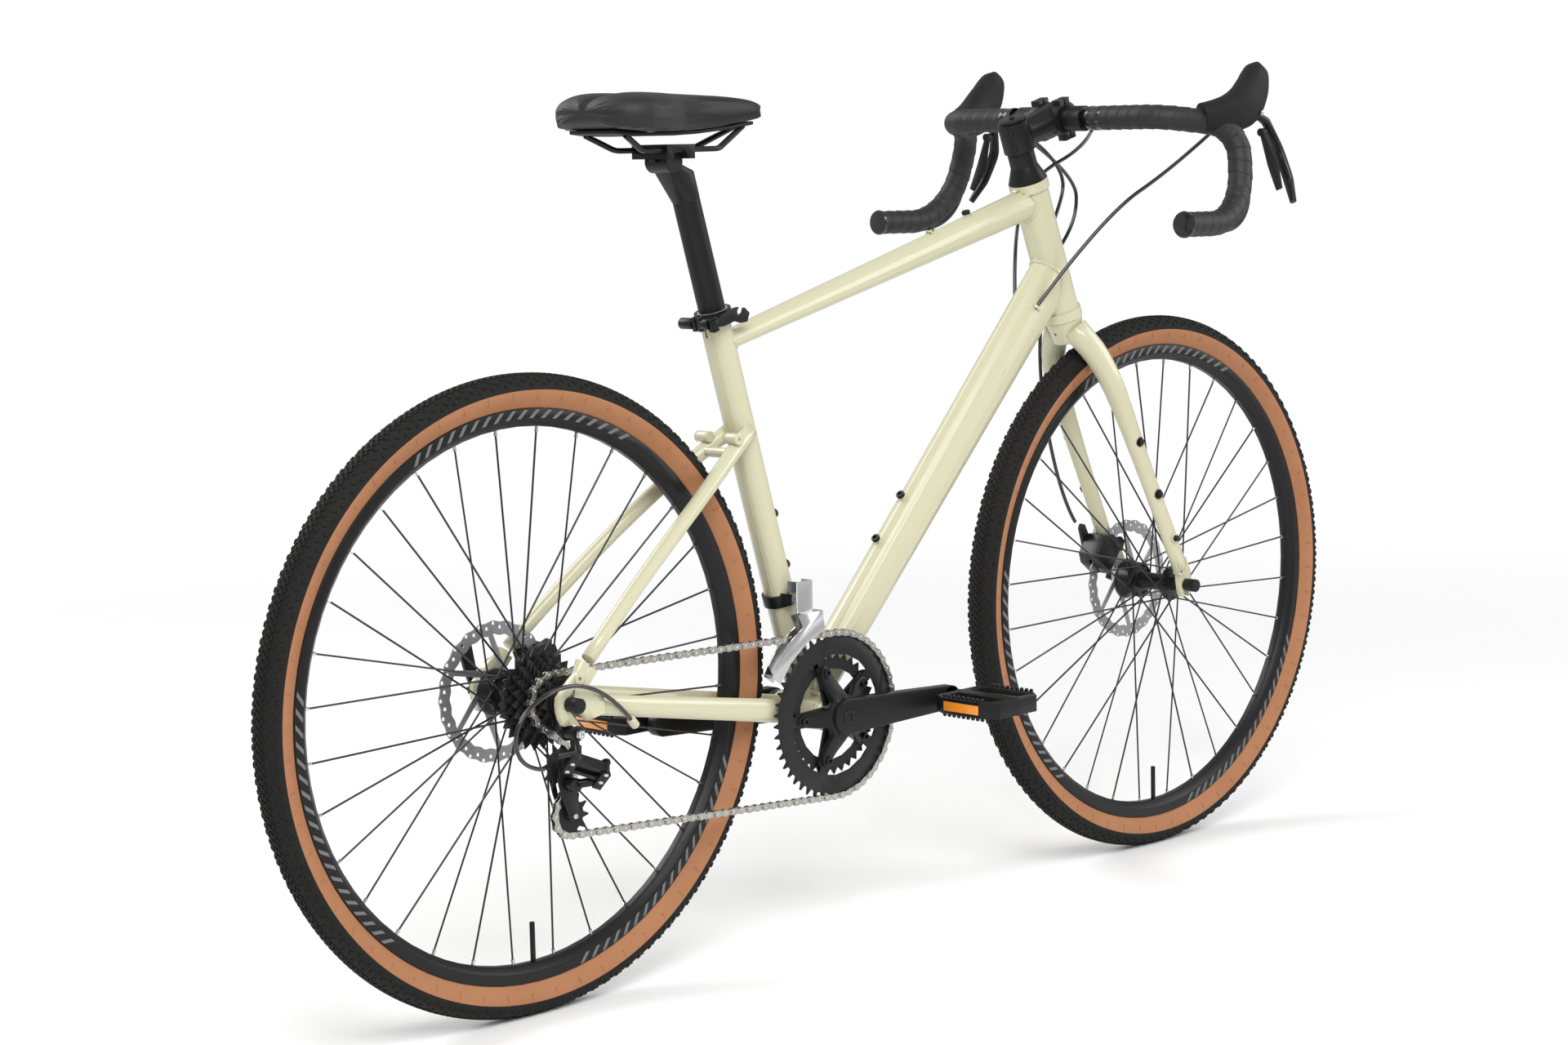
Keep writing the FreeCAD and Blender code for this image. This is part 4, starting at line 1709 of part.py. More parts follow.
def build():
    """Make every piece and write it out."""
    os.makedirs("parts", exist_ok=True)
    save("head_tube", *head_tube())
    seat_bolts, down_bolts, top_bolts = tube_bolts()
    seat_bar, down_bar, top_bar = seat_tube(), down_tube(), top_tube()
    save("seat_tube", seat_bar.cut(seat_bolts), *seat_bolts)
    save("bottom_bracket", *bottom_bracket())
    save("top_tube", top_bar.cut(top_bolts), *top_bolts)
    save("down_tube", down_bar.cut(down_bolts), *down_bolts)
    save("rear_triangle", *rear_triangle())
    save("derailleur_hanger", derailleur_hanger())
    save("seat_clamp", collar(), *seat_skewer())
    save("seat_clamp_lever", seat_lever())
    for name, axle in (("rear", REAR), ("front", FRONT)):
        save(name + "_tyre", tyre(axle))
        save(name + "_rim", *rim(axle))
    front_end = FRONT_OLD / 2 - LOCKNUT_W - CLEAR
    rear_end = REAR_OLD / 2 - LOCKNUT_W - CLEAR
    rear_start = REAR_FLANGES[0] - FLANGE_T
    front_hub = hub(FRONT, -front_end, front_end, FRONT_FLANGES, FRONT_HUB_R, FRONT_ROTOR_OUT)
    rear_hub = hub(REAR, rear_start, rear_end, REAR_FLANGES, REAR_HUB_R, REAR_ROTOR_OUT)
    save("front_hub", front_hub)
    save("rear_hub", rear_hub)
    save("front_spokes", *spokes(FRONT, FRONT_FLANGES, front_hub))
    save("rear_spokes", *spokes(REAR, REAR_FLANGES, rear_hub))
    save("front_rotor", rotor(FRONT, FRONT_ROTOR_OUT))
    save("rear_rotor", rotor(REAR, REAR_ROTOR_OUT))
    save("front_axle", *skewer(FRONT, FRONT_OLD, FORK_TIP_T, FRONT_QR_TURN))
    save("rear_axle", *skewer(REAR, REAR_OLD, DROPOUT_T, REAR_QR_TURN))
    save("front_qr_lever", qr_lever(FRONT, FRONT_OLD, FORK_TIP_T, FRONT_QR_TURN))
    save("rear_qr_lever", qr_lever(REAR, REAR_OLD, DROPOUT_T, REAR_QR_TURN))
    save("fork", *fork())
    neck, plate, cap = stem()
    save("stem", neck, plate)
    save("headset_cover", *headset(), cap)
    save("handlebar", handlebar())
    save("bar_tape", *bar_tape())
    save("chain", *chain())
    save("chainrings", *chainrings())
    save("crank_arms", crank_arms())
    save("right_pedal", pedal(-1))
    save("left_pedal", pedal(1))
    save("cassette", *cassette())
    save("rd_body", rd_body())
    save("rd_outer_link", rd_link(link_pivots()[0]))
    save("rd_inner_link", rd_link(link_pivots()[1]))
    save("rd_knuckle", rd_knuckle())
    save("rd_cage", rd_cage())
    save("guide_pulley", pulley(0))
    save("tension_pulley", pulley(1))
    save("front_derailleur_body", *front_derailleur_body())
    save("fd_link", fd_link())
    save("fd_cage", fd_cage())
    save("seatpost", seatpost())
    save("saddle_clamp", saddle_clamp())
    cover, base = saddle()
    save("saddle_cover", cover)
    save("saddle_base", base)
    save("saddle_rails", *saddle_rails(base))
    grip = hood()
    save("lever_hoods", *grip, *[mirrored(shape) for shape in grip])
    save("left_brake_lever", brake_lever())
    save("right_brake_lever", mirrored(brake_lever()))
    save("left_shift_paddle", shift_paddle())
    save("right_shift_paddle", mirrored(shift_paddle()))
    save("front_caliper", *caliper(FRONT, FRONT_ROTOR_OUT, FRONT_CALIPER_TURN, leg(), fork_tip()))
    save("rear_caliper", *caliper(REAR, REAR_ROTOR_OUT, REAR_CALIPER_TURN, chainstay(), seatstay(), dropout()))
    save("front_caliper_arm", caliper_arm(FRONT, FRONT_ROTOR_OUT, FRONT_CALIPER_TURN, FRONT_ARM_TURN))
    save("rear_caliper_arm", caliper_arm(REAR, REAR_ROTOR_OUT, REAR_CALIPER_TURN, REAR_ARM_TURN))
    save("front_brake_cable", housing(FRONT_BRAKE_ROUTE, CABLE_BEND))
    save("control_cables", *control_cables())


build()
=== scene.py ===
# %% [markdown]
# # A gravel bike
# The solids of this bike come from CAD, one for each named piece, and stay where they are. This
# lesson dresses them: it rounds what is forged or moulded, adds what is too fine for the solids,
# such as tread, rim print and bolts, and gives each piece a finish. Everything is in metres.

# %% Load the frame
import json
import math

import bmesh
import bpy
import numpy as np
from mathutils import Matrix, Vector


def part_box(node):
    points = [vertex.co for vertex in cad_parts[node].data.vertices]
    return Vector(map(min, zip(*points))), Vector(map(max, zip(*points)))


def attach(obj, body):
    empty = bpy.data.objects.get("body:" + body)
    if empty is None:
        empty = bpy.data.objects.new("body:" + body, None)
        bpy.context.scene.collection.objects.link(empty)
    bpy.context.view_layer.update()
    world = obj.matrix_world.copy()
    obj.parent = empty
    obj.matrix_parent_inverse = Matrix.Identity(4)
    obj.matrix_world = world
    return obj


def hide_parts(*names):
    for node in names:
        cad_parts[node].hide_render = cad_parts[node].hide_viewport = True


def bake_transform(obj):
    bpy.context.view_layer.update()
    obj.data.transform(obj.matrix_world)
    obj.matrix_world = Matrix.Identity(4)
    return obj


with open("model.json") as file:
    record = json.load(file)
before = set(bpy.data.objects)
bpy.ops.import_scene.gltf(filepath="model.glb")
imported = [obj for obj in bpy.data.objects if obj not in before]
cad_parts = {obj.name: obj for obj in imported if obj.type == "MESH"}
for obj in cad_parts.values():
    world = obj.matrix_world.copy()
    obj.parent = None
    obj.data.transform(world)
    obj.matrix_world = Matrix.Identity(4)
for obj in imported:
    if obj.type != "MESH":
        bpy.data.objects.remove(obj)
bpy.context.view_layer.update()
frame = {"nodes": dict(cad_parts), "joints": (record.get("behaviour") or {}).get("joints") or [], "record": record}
MM = 0.001
AHEAD, ACROSS, UP = Vector((1, 0, 0)), Vector((0, 1, 0)), Vector((0, 0, 1))
joints = {joint["name"]: joint for joint in frame["joints"]}
bodies = frame["record"]["behaviour"]["bodies"]
body_of_node = {node: body for body, members in bodies.items() for node in members}
slot_of_node = {row["node"]: row["material_slot"] for row in frame["record"]["subparts"]}

# %% [markdown]
# Shader maths reads best as sums. This small class wraps a socket, so that `1 - mask * 0.5` adds the
# Math nodes it needs, and one method adds any other node with its settings and inputs.

# %% A socket that can take part in sums
class Wire:
    """A shader socket; sums on it add Math nodes to its tree."""

    def __init__(self, paint, socket):
        self.paint = paint
        self.socket = socket

    def math(self, operation, first, second):
        return self.paint.add("ShaderNodeMath", {0: first, 1: second}, operation=operation)

    def __add__(self, other):
        return self.math("ADD", self, other)

    def __sub__(self, other):
        return self.math("SUBTRACT", self, other)

    def __rsub__(self, other):
        return self.math("SUBTRACT", other, self)

    def __mul__(self, other):
        return self.math("MULTIPLY", self, other)

    __radd__ = __add__
    __rmul__ = __mul__


class Paint:
    """A material while its nodes are being written."""

    def __init__(self, name):
        self.material = bpy.data.materials.new(name)
        self.material.use_nodes = True
        self.tree = self.material.node_tree
        self.shader = self.tree.nodes["Principled BSDF"]

    def add(self, kind, inputs=None, output=0, **settings):
        """Any node: its settings first, then the values or links of its sockets."""
        node = self.tree.nodes.new(kind)
        for key, value in settings.items():
            setattr(node, key, value)
        for key, value in (inputs or {}).items():
            self.plug(node.inputs[key], value)
        return Wire(self, node.outputs[output])

    def plug(self, socket, value):
        if isinstance(value, Wire):
            self.tree.links.new(value.socket, socket)
        else:
            socket.default_value = value

    def set(self, **values):
        """Set or link the main shader's sockets, by their names with underscores for spaces."""
        for key, value in values.items():
            self.plug(self.shader.inputs[key.replace("_", " ")], value)

    def place(self):
        return self.add("ShaderNodeTexCoord", output="Object")

    def noise(self, scale, detail=2.0, where=None):
        where = where or self.place()
        return self.add("ShaderNodeTexNoise", {"Vector": where, "Scale": scale, "Detail": detail})

    def mix(self, share, first, second):
        return self.add("ShaderNodeMix", {0: share, 6: first, 7: second}, output=2, data_type="RGBA")

    def bump(self, height, depth):
        return self.add("ShaderNodeBump", {"Height": height, "Distance": depth, "Strength": 1.0})


def shade(colour, factor):
    """A colour made lighter or darker."""
    return tuple(channel * factor for channel in colour) + (1.0,)


print("shader helpers ready")

# %% [markdown]
# Most pieces here share a recipe: a base colour that drifts a little over the surface, a roughness
# that drifts with it, and a fine bump for the texture of paint, casting or rubber. One function writes
# that recipe, and each finish on the bike is a call with its own values. Black rubber and satin black
# alloy reflect little, so their gleam is set below the shader's usual half.

# %% The plain finishes
GLOSS_DRIFT = 0.4


def finish(name, colour, roughness, metallic=0.0, coat=0.0, gleam=0.5, drift=0.06, wide=6.0,
           grain=900.0, depth=0.00001):
    """A finish with a slow drift in colour and gloss and a fine grain."""
    paint = Paint(name)
    slow = paint.noise(wide)
    fine = paint.noise(grain, 3.0)
    paint.set(Base_Color=paint.mix(slow, shade(colour, 1 - drift), shade(colour, 1 + drift)),
              Roughness=roughness + (fine - 0.5) * (roughness * GLOSS_DRIFT), Metallic=metallic,
              Coat_Weight=coat, Coat_Roughness=0.12, Specular_IOR_Level=gleam,
              Normal=paint.bump(fine, depth))
    return paint.material


IVORY = finish("ivory paint", (0.57, 0.55, 0.375), 0.3, coat=0.45, drift=0.015)
BLACK = finish("satin black alloy", (0.0085, 0.0085, 0.009), 0.36, gleam=0.24, depth=0.00003)
FORGED = finish("black forged alloy", (0.011, 0.011, 0.0115), 0.3, metallic=0.2, coat=0.12, gleam=0.3)
SILVER = finish("bright steel", (0.62, 0.62, 0.63), 0.26, metallic=1.0, grain=1500.0)
NICKEL = finish("nickel chain", (0.42, 0.40, 0.37), 0.32, metallic=1.0, drift=0.15, wide=60.0)
SPROCKET = finish("black sprocket steel", (0.022, 0.022, 0.023), 0.38, metallic=0.5, gleam=0.3,
                  drift=0.1, wide=40.0)
SPOKE = finish("black spoke steel", (0.008, 0.008, 0.0085), 0.4, metallic=0.1)
RUBBER = finish("hood rubber", (0.012, 0.012, 0.0125), 0.6, gleam=0.2, grain=2400.0, depth=0.00004)
TREAD = finish("tread rubber", (0.0115, 0.011, 0.0105), 0.72, gleam=0.2, drift=0.12, wide=25.0,
               grain=1400.0, depth=0.00008)
SMOOTH = finish("smooth saddle skin", (0.014, 0.014, 0.0145), 0.4, gleam=0.2, grain=1800.0, depth=0.00002)
PLASTIC = finish("black nylon", (0.012, 0.012, 0.012), 0.5, gleam=0.24, grain=2000.0, depth=0.00004)
GLOSS = finish("gloss black housing", (0.011, 0.011, 0.012), 0.14, coat=0.4, depth=0.000004)
STRIPE = finish("grey rim print", (0.13, 0.13, 0.135), 0.42, coat=0.1)
AMBER = finish("amber reflector", (0.85, 0.28, 0.02), 0.16, coat=0.8, grain=260.0, depth=0.0004)
print("plain finishes written:", len(bpy.data.materials), "materials in the file")

# %% [markdown]
# Four surfaces have a pattern of their own. The tyre's side is tan casing with threads crossing on
# the bias, the saddle is covered in a fine pebble grain, the bar tape has a soft dimpled skin, and the
# brake rotors were ground, which leaves fine scratches along the sheet. The saddle's grooves and the
# tape's dimples are also painted darker, as shade in those hollows.

# %% The patterned finishes
THREAD_TURNS = (0.8, -0.8)


def casing():
    """Tan tyre casing: two sets of threads on the bias, drawn as bands."""
    paint = Paint("tan tyre casing")
    where = paint.place()
    threads = []
    for turn in THREAD_TURNS:
        bias = paint.add("ShaderNodeMapping", {"Vector": where, "Rotation": (0.0, turn, 0.0)})
        bands = {"Vector": bias, "Scale": 420.0, "Distortion": 0.6}
        threads.append(paint.add("ShaderNodeTexWave", bands, output="Fac"))
    weave = threads[0] * threads[1]
    tan = paint.mix(paint.noise(14.0), (0.34, 0.138, 0.056, 1.0), (0.42, 0.185, 0.08, 1.0))
    paint.set(Base_Color=paint.mix(weave * 0.35, tan, (0.25, 0.095, 0.038, 1.0)),
              Roughness=0.62 + weave * 0.15, Normal=paint.bump(weave, 0.00008))
    return paint.material


def pebbled():
    """Saddle skin: small rounded cells, with painted shade darkening the grooves between them."""
    paint = Paint("pebbled saddle skin")
    grid = {"Vector": paint.place(), "Scale": 430.0}
    cells = paint.add("ShaderNodeTexVoronoi", grid, feature="DISTANCE_TO_EDGE")
    # The base colour is darkest at the cells' edges, where the bump sinks: painted shade in the grooves.
    paint.set(Base_Color=paint.mix(cells, (0.007, 0.007, 0.007, 1.0), (0.022, 0.022, 0.0225, 1.0)),
              Roughness=0.6 - cells * 0.2, Normal=paint.bump(cells, 0.0002))
    return paint.material


def dimpled():
    """Bar tape: a soft skin with shallow dimples, painted darker at their bottoms as shade."""
    paint = Paint("dimpled bar tape")
    cells = paint.add("ShaderNodeTexVoronoi", {"Vector": paint.place(), "Scale": 330.0})
    # The base colour is darkest at the cells' middles, where the bump sinks: painted shade in the dimples.
    paint.set(Base_Color=paint.mix(cells, (0.007, 0.007, 0.0073, 1.0), (0.015, 0.015, 0.0155, 1.0)),
              Roughness=0.5 + paint.noise(2200.0) * 0.15, Normal=paint.bump(cells, 0.0002))
    return paint.material


def ground_steel():
    """Rotor steel: long scratches that run with the grinding."""
    paint = Paint("ground rotor steel")
    where = paint.add("ShaderNodeMapping", {"Vector": paint.place(), "Scale": (1.0, 1.0, 14.0)})
    scratches = paint.noise(320.0, 4.0, where)
    paint.set(Base_Color=paint.mix(scratches, (0.30, 0.30, 0.305, 1.0), (0.44, 0.44, 0.45, 1.0)),
              Metallic=1.0, Roughness=0.42 + scratches * 0.2, Normal=paint.bump(scratches, 0.00002))
    return paint.material


CASING = casing()
PEBBLED = pebbled()
DIMPLED = dimpled()
GROUND = ground_steel()
print("patterned finishes:", [paint.name for paint in (CASING, PEBBLED, DIMPLED, GROUND)])

# %% [markdown]
# A CAD node arrives as loose triangles with flat sides where the real piece is round. A copy is merged,
# its coplanar triangles are joined, and then one of two things rounds it: a bevel for machined edges, or
# a subdivision that keeps the sharp edges creased for tubes and moulded grips.

# %% Copies of the solids
MERGE_WITHIN = 0.004 * MM
CREASE_ANGLE = math.radians(38)
FLAT_ANGLE = math.radians(0.6)


def copy_of(node):
    """A merged copy of a CAD node's mesh, as a bmesh."""
    mesh = bmesh.new()
    mesh.from_mesh(frame["nodes"][node].data)
    bmesh.ops.remove_doubles(mesh, verts=mesh.verts, dist=MERGE_WITHIN)
    bmesh.ops.dissolve_limit(mesh, angle_limit=FLAT_ANGLE, verts=mesh.verts, edges=mesh.edges)
    return mesh


def show(name, mesh, *materials):
    """A new object in the scene from a bmesh or a mesh."""
    if isinstance(mesh, bmesh.types.BMesh):
        data = bpy.data.meshes.new(name)
        mesh.to_mesh(data)
        mesh.free()
        mesh = data
    for material in materials:
        mesh.materials.append(material)
    piece = bpy.data.objects.new(name.replace(" ", "_"), mesh)
    bpy.context.scene.collection.objects.link(piece)
    return piece


def settle(piece):
    """Turn a piece with modifiers into a plain mesh, shaded smooth between its sharp edges."""
    graph = bpy.context.evaluated_depsgraph_get()
    mesh = bpy.data.meshes.new_from_object(piece.evaluated_get(graph))
    old = piece.data
    piece.modifiers.clear()
    piece.data = mesh
    bpy.data.meshes.remove(old)
    mesh.shade_smooth()
    mesh.set_sharp_from_angle(angle=CREASE_ANGLE)
    return piece


def carry(piece, body, slot, *nodes):
    """Hang a finished piece on its body and hide the CAD nodes that it stands for; the slot is not used."""
    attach(piece, body)
    if nodes:
        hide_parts(*nodes)
    print(piece.name, len(piece.data.polygons), "faces on", body)
    return piece


print("copy helpers ready, merging within", MERGE_WITHIN, "m")

# %% [markdown]
# The two ways of rounding are a few lines each. A bevel on every edge past an angle suits what was
# milled or forged. A subdivision suits what was drawn or moulded, and an edge with a full crease stays
# sharp under it.

# %% Broken edges and round sides
def break_edges(piece, width, segments):
    """Round off a piece's sharp edges."""
    edge = piece.modifiers.new("edge", "BEVEL")
    edge.width = width
    edge.segments = segments
    edge.limit_method = "ANGLE"
    edge.angle_limit = CREASE_ANGLE
    return settle(piece)


def creased(mesh, angle):
    """Mark a mesh's sharp edges, so that a subdivision keeps them."""
    layer = mesh.edges.layers.float.new("crease_edge")
    for edge in mesh.edges:
        if len(edge.link_faces) != 2 or edge.calc_face_angle(0.0) > angle:
            edge[layer] = 1.0
    return mesh


def subdivided(piece, levels):
    """Round a piece's flat sides between its creased edges."""
    smooth = piece.modifiers.new("round", "SUBSURF")
    smooth.levels = levels
    smooth.render_levels = levels
    return settle(piece)


def bevelled(node, material, width, segments=2):
    """A machined or forged piece: the solid with its sharp edges broken."""
    piece = break_edges(show(node + " finished", copy_of(node), material), width, segments)
    return carry(piece, body_of_node[node], slot_of_node[node], node)


def rounded(node, material, levels=2, crease=CREASE_ANGLE):
    """A drawn or moulded piece: the solid's flat sides made round, with its sharp edges kept."""
    piece = show(node + " finished", creased(copy_of(node), crease), material)
    return carry(subdivided(piece, levels), body_of_node[node], slot_of_node[node], node)


print("edges are sharp past", round(math.degrees(CREASE_ANGLE)), "degrees")

# %% [markdown]
# Bolts, tread knobs, nipples, chain links and teeth are all one shape repeated. A Geometry Nodes tree
# does the repeating: it takes points that carry two directions, outward and along, turns a copy of the
# shape to face them, and realizes the copies into one mesh.

# %% A tree that repeats a shape
COPY_SOCKETS = (("Points", "Geometry", "INPUT"), ("Shape", "Object", "INPUT"), ("Size", "Float", "INPUT"),
                ("Finish", "Material", "INPUT"), ("Copies", "Geometry", "OUTPUT"))


def build_copy_tree():
    """Points with `out` and `along` directions in, turned copies of a shape out."""
    tree = bpy.data.node_groups.new("turned copies", "GeometryNodeTree")
    for name, kind, way in COPY_SOCKETS:
        tree.interface.new_socket(name, socket_type="NodeSocket" + kind, in_out=way)
    new, link = tree.nodes.new, tree.links.new
    source, sink = new("NodeGroupInput"), new("NodeGroupOutput")
    info, spread = new("GeometryNodeObjectInfo"), new("GeometryNodeInstanceOnPoints")
    real, dress = new("GeometryNodeRealizeInstances"), new("GeometryNodeSetMaterial")
    turned_to = []
    for name, axis, pivot_axis in (("out", "Z", "AUTO"), ("along", "X", "Z")):
        read, turn = new("GeometryNodeInputNamedAttribute"), new("FunctionNodeAlignRotationToVector")
        read.data_type = "FLOAT_VECTOR"
        read.inputs["Name"].default_value = name
        turn.axis = axis
        turn.pivot_axis = pivot_axis
        link(read.outputs["Attribute"], turn.inputs["Vector"])
        turned_to.append(turn)
    link(turned_to[0].outputs[0], turned_to[1].inputs["Rotation"])
    link(turned_to[1].outputs[0], spread.inputs["Rotation"])
    link(source.outputs["Points"], spread.inputs["Points"])
    link(source.outputs["Shape"], info.inputs["Object"])
    link(info.outputs["Geometry"], spread.inputs["Instance"])
    link(source.outputs["Size"], spread.inputs["Scale"])
    link(spread.outputs["Instances"], real.inputs[0])
    link(real.outputs[0], dress.inputs["Geometry"])
    link(source.outputs["Finish"], dress.inputs["Material"])
    link(dress.outputs[0], sink.inputs[0])
    return tree


COPY_TREE = build_copy_tree()
COPY_INPUT = {item.name: item.identifier for item in COPY_TREE.interface.items_tree if item.in_out == "INPUT"}


def copies(name, shape, spots, material, body, slot, size=1.0, nodes=()):
    """One mesh of a shape repeated at spots, each a place, an outward and an along direction."""
    points = bpy.data.meshes.new(name)
    points.from_pydata([tuple(place) for place, out, along in spots], [], [])
    for index, label in ((1, "out"), (2, "along")):
        layer = points.attributes.new(label, "FLOAT_VECTOR", "POINT")
        ways = np.array([tuple(spot[index]) for spot in spots], np.float32)
        layer.data.foreach_set("vector", ways.ravel())
    piece = show(name, points)
    repeat = piece.modifiers.new("copies", "NODES")
    repeat.node_group = COPY_TREE
    repeat[COPY_INPUT["Shape"]] = shape
    repeat[COPY_INPUT["Size"]] = size
    repeat[COPY_INPUT["Finish"]] = material
    return carry(settle(piece), body, slot, *nodes)


print("copy tree with inputs", list(COPY_INPUT))

# %% [markdown]
# The shapes that get repeated are small and few. Round ones are turned from a profile, flat ones are an
# outline given a thickness, and blocks are a box with a smaller top. They are kept out of the scene.
# Bolts and rivets are drawn with a radius of one, and each use gives them its size.

# %% Shapes to repeat
SHAPES = bpy.data.collections.new("shapes to repeat")
BLOCK_SIDE_SHARE = 0.6
BOLT_PROFILE = ((0, 0), (1, 0), (1, 0.64), (0.88, 0.8), (0.55, 0.8), (0.528, 0.28), (0, 0.24))
RIVET_PROFILE = ((0, -0.2), (1, -0.2), (1, 0.2), (0.7, 0.45), (0, 0.55))
NIPPLE_PROFILE = ((0, -7), (1.6, -6.8), (1.7, 4), (2.3, 6), (0, 6.5))


def turns(count, phase=0.0):
    """Even turns round a circle, with a phase in steps."""
    return [2 * math.pi * (index + phase) / count for index in range(count)]


def keep(name, mesh):
    """A shape that is only repeated or cut with, and isn't itself in the scene."""
    data = bpy.data.meshes.new(name)
    bmesh.ops.recalc_face_normals(mesh, faces=mesh.faces)
    mesh.to_mesh(data)
    mesh.free()
    shape = bpy.data.objects.new(name, data)
    SHAPES.objects.link(shape)
    return shape


def lathe(profile, sides, unit=1.0):
    """A closed round shape from radius and height pairs, its first and last on the axis."""
    mesh = bmesh.new()
    rings = []
    for radius, height in profile:
        spins = turns(sides) if radius > 0 else [0.0]
        places = [(radius * math.cos(spin), radius * math.sin(spin), height) for spin in spins]
        rings.append([mesh.verts.new(Vector(place) * unit) for place in places])
    for low, high in zip(rings, rings[1:]):
        for index in range(sides):
            after = (index + 1) % sides
            corners = [low[index % len(low)], low[after % len(low)]]
            corners += [high[after % len(high)], high[index % len(high)]]
            mesh.faces.new(list(dict.fromkeys(corners)))
    return mesh


def stacked(mesh, rows):
    """Close rows of points into a skin with a face at each end."""
    for low, high in zip(rows, rows[1:]):
        for index in range(len(low)):
            after = (index + 1) % len(low)
            mesh.faces.new([low[index], low[after], high[after], high[index]])
    mesh.faces.new(list(reversed(rows[0])))
    mesh.faces.new(rows[-1])
    return mesh


def slab(outline, thickness):
    """A flat outline in X and Y given a thickness about the middle."""
    mesh = bmesh.new()
    levels = (-thickness / 2, thickness / 2)
    return stacked(mesh, [[mesh.verts.new((x, y, level)) for x, y in outline] for level in levels])


def block(length, width, height, draft=0.8):
    """A moulded block on the XY plane, smaller at the top."""
    mesh = bmesh.new()
    rows = []
    for share, level in ((1.0, -height / 2), (1.0, height * BLOCK_SIDE_SHARE), (draft, height)):
        rows.append([mesh.verts.new((x * length / 2 * share, y * width / 2 * share, level))
                     for x, y in ((-1, -1), (1, -1), (1, 1), (-1, 1))])
    return stacked(mesh, rows)


BOLT = keep("socket bolt", lathe(BOLT_PROFILE, 12))
NIPPLE = keep("spoke nipple", lathe(NIPPLE_PROFILE, 8, MM))
RIVET = keep("domed rivet", lathe(RIVET_PROFILE, 10))

# %% [markdown]
# The frame is welded from drawn tubes and painted ivory. The solids give every tube, so each is rounded
# by a subdivision and painted, and the small islands in a node, which are bolt heads, get their own black
# finish. The three pieces with bores keep their own fine facets, since a subdivision would pull at the
# bores' rims.

# %% The painted frame and fork
ROUNDED_TUBES = ("top_tube", "down_tube", "rear_triangle", "fork")
BORED_TUBES = ("head_tube", "seat_tube", "bottom_bracket")
BOLT_SPAN = 22 * MM


def islands(mesh):
    """The separate shells of a bmesh, each as a list of faces."""
    left = dict.fromkeys(mesh.faces)
    shells = []
    while left:
        stack = [left.popitem()[0]]
        shell = []
        while stack:
            face = stack.pop()
            shell.append(face)
            for edge in face.edges:
                for other in edge.link_faces:
                    if other in left:
                        del left[other]
                        stack.append(other)
        shells.append(shell)
    return shells


def span(shell):
    """The lowest corner, highest corner and diagonal of a shell."""
    places = np.array([tuple(vert.co) for face in shell for vert in face.verts])
    low, high = places.min(0), places.max(0)
    return low, high, float(np.linalg.norm(high - low))


def painted(node, levels):
    """A painted tube with black bolt heads, its flat sides made round."""
    mesh = creased(copy_of(node), CREASE_ANGLE)
    for shell in islands(mesh):
        if span(shell)[2] < BOLT_SPAN:
            for face in shell:
                face.material_index = 1
    piece = subdivided(show(node + " painted", mesh, IVORY, BLACK), levels)
    return carry(piece, body_of_node[node], slot_of_node[node], node)


for node in ROUNDED_TUBES:
    painted(node, 2)
for node in BORED_TUBES:
    painted(node, 0)

# %% [markdown]
# The welds were smoothed before painting, which leaves a soft fillet where a tube meets its neighbour. A
# bevel of two joined tubes breaks easily on such thin copes, so a bead stands for the fillet: the sharp
# edges at the tube's ends are walked into loops, and a curve along each loop gets a round section.

# %% The fillets at the welds
FILLET = 2.6 * MM
FILLET_ROUNDNESS = 2
SHORTEST_RUN = 12


def round_curve(name, radius, roundness, caps=True):
    """An empty curve in space whose splines become round wires."""
    curve = bpy.data.curves.new(name, "CURVE")
    curve.dimensions = "3D"
    curve.bevel_depth = radius
    curve.bevel_resolution = roundness
    curve.use_fill_caps = caps
    return curve


def draw(curve, places, kind="POLY"):
    """A new spline of a curve through some places."""
    spline = curve.splines.new(kind)
    spline.points.add(len(places) - 1)
    for point, place in zip(spline.points, places):
        point.co = (*place, 1.0)
    return spline


def mesh_of(curve):
    """The mesh that a curve gives, without the curve's own object."""
    source = bpy.data.objects.new(curve.name, curve)
    bpy.context.scene.collection.objects.link(source)
    mesh = bpy.data.meshes.new_from_object(source)
    bpy.data.objects.remove(source)
    return mesh


def sharp_runs(mesh):
    """The sharp edges of a mesh's largest shell, walked into runs of vertices."""
    shell = max(islands(mesh), key=lambda faces: span(faces)[2])
    sharp = [edge for face in shell for edge in face.edges if edge.calc_face_angle(0.0) > CREASE_ANGLE]
    edges = dict.fromkeys(sharp)
    runs = []
    while edges:
        run = list(edges.popitem()[0].verts)
        while True:
            onward = next((edge for edge in run[-1].link_edges if edge in edges), None)
            if onward is None:
                break
            del edges[onward]
            run.append(onward.other_vert(run[-1]))
        runs.append(run)
    return [run for run in runs if len(run) >= SHORTEST_RUN]


def fillet(node):
    """A bead along the sharp edges at both ends of a tube."""
    mesh = copy_of(node)
    curve = round_curve(node + " fillet", FILLET, FILLET_ROUNDNESS, caps=False)
    for run in sharp_runs(mesh):
        spline = draw(curve, [vert.co for vert in run[:-1]])
        spline.use_cyclic_u = run[0] == run[-1]
    mesh.free()
    carry(settle(show(node + " fillet", mesh_of(curve), IVORY)), "frame", "frame_paint")


for node in ("top_tube", "down_tube"):
    fillet(node)

# %% [markdown]
# Each seatstay ends in a socket that flattens into its dropout. It could be a subdivided box, but rings
# that change from round to flat along a short line give the taper directly, with a skin over them.

# %% The sockets at the dropouts
SOCKET_RINGS = (((27, 66.6, 41), 8.2, 8.2), ((23, 67.2, 32), 9.4, 7.6), ((19, 68.8, 23), 11.5, 5.6),
                ((14, 70.6, 13), 13.5, 3.6))
SOCKET_FLAT = Vector((0.83, 0, -0.56))
SOCKET_SIDES = 20


def pivot(joint):
    """A joint's place and axis."""
    return Vector(joints[joint]["pos_m"]), Vector(joints[joint]["axis"]).normalized()


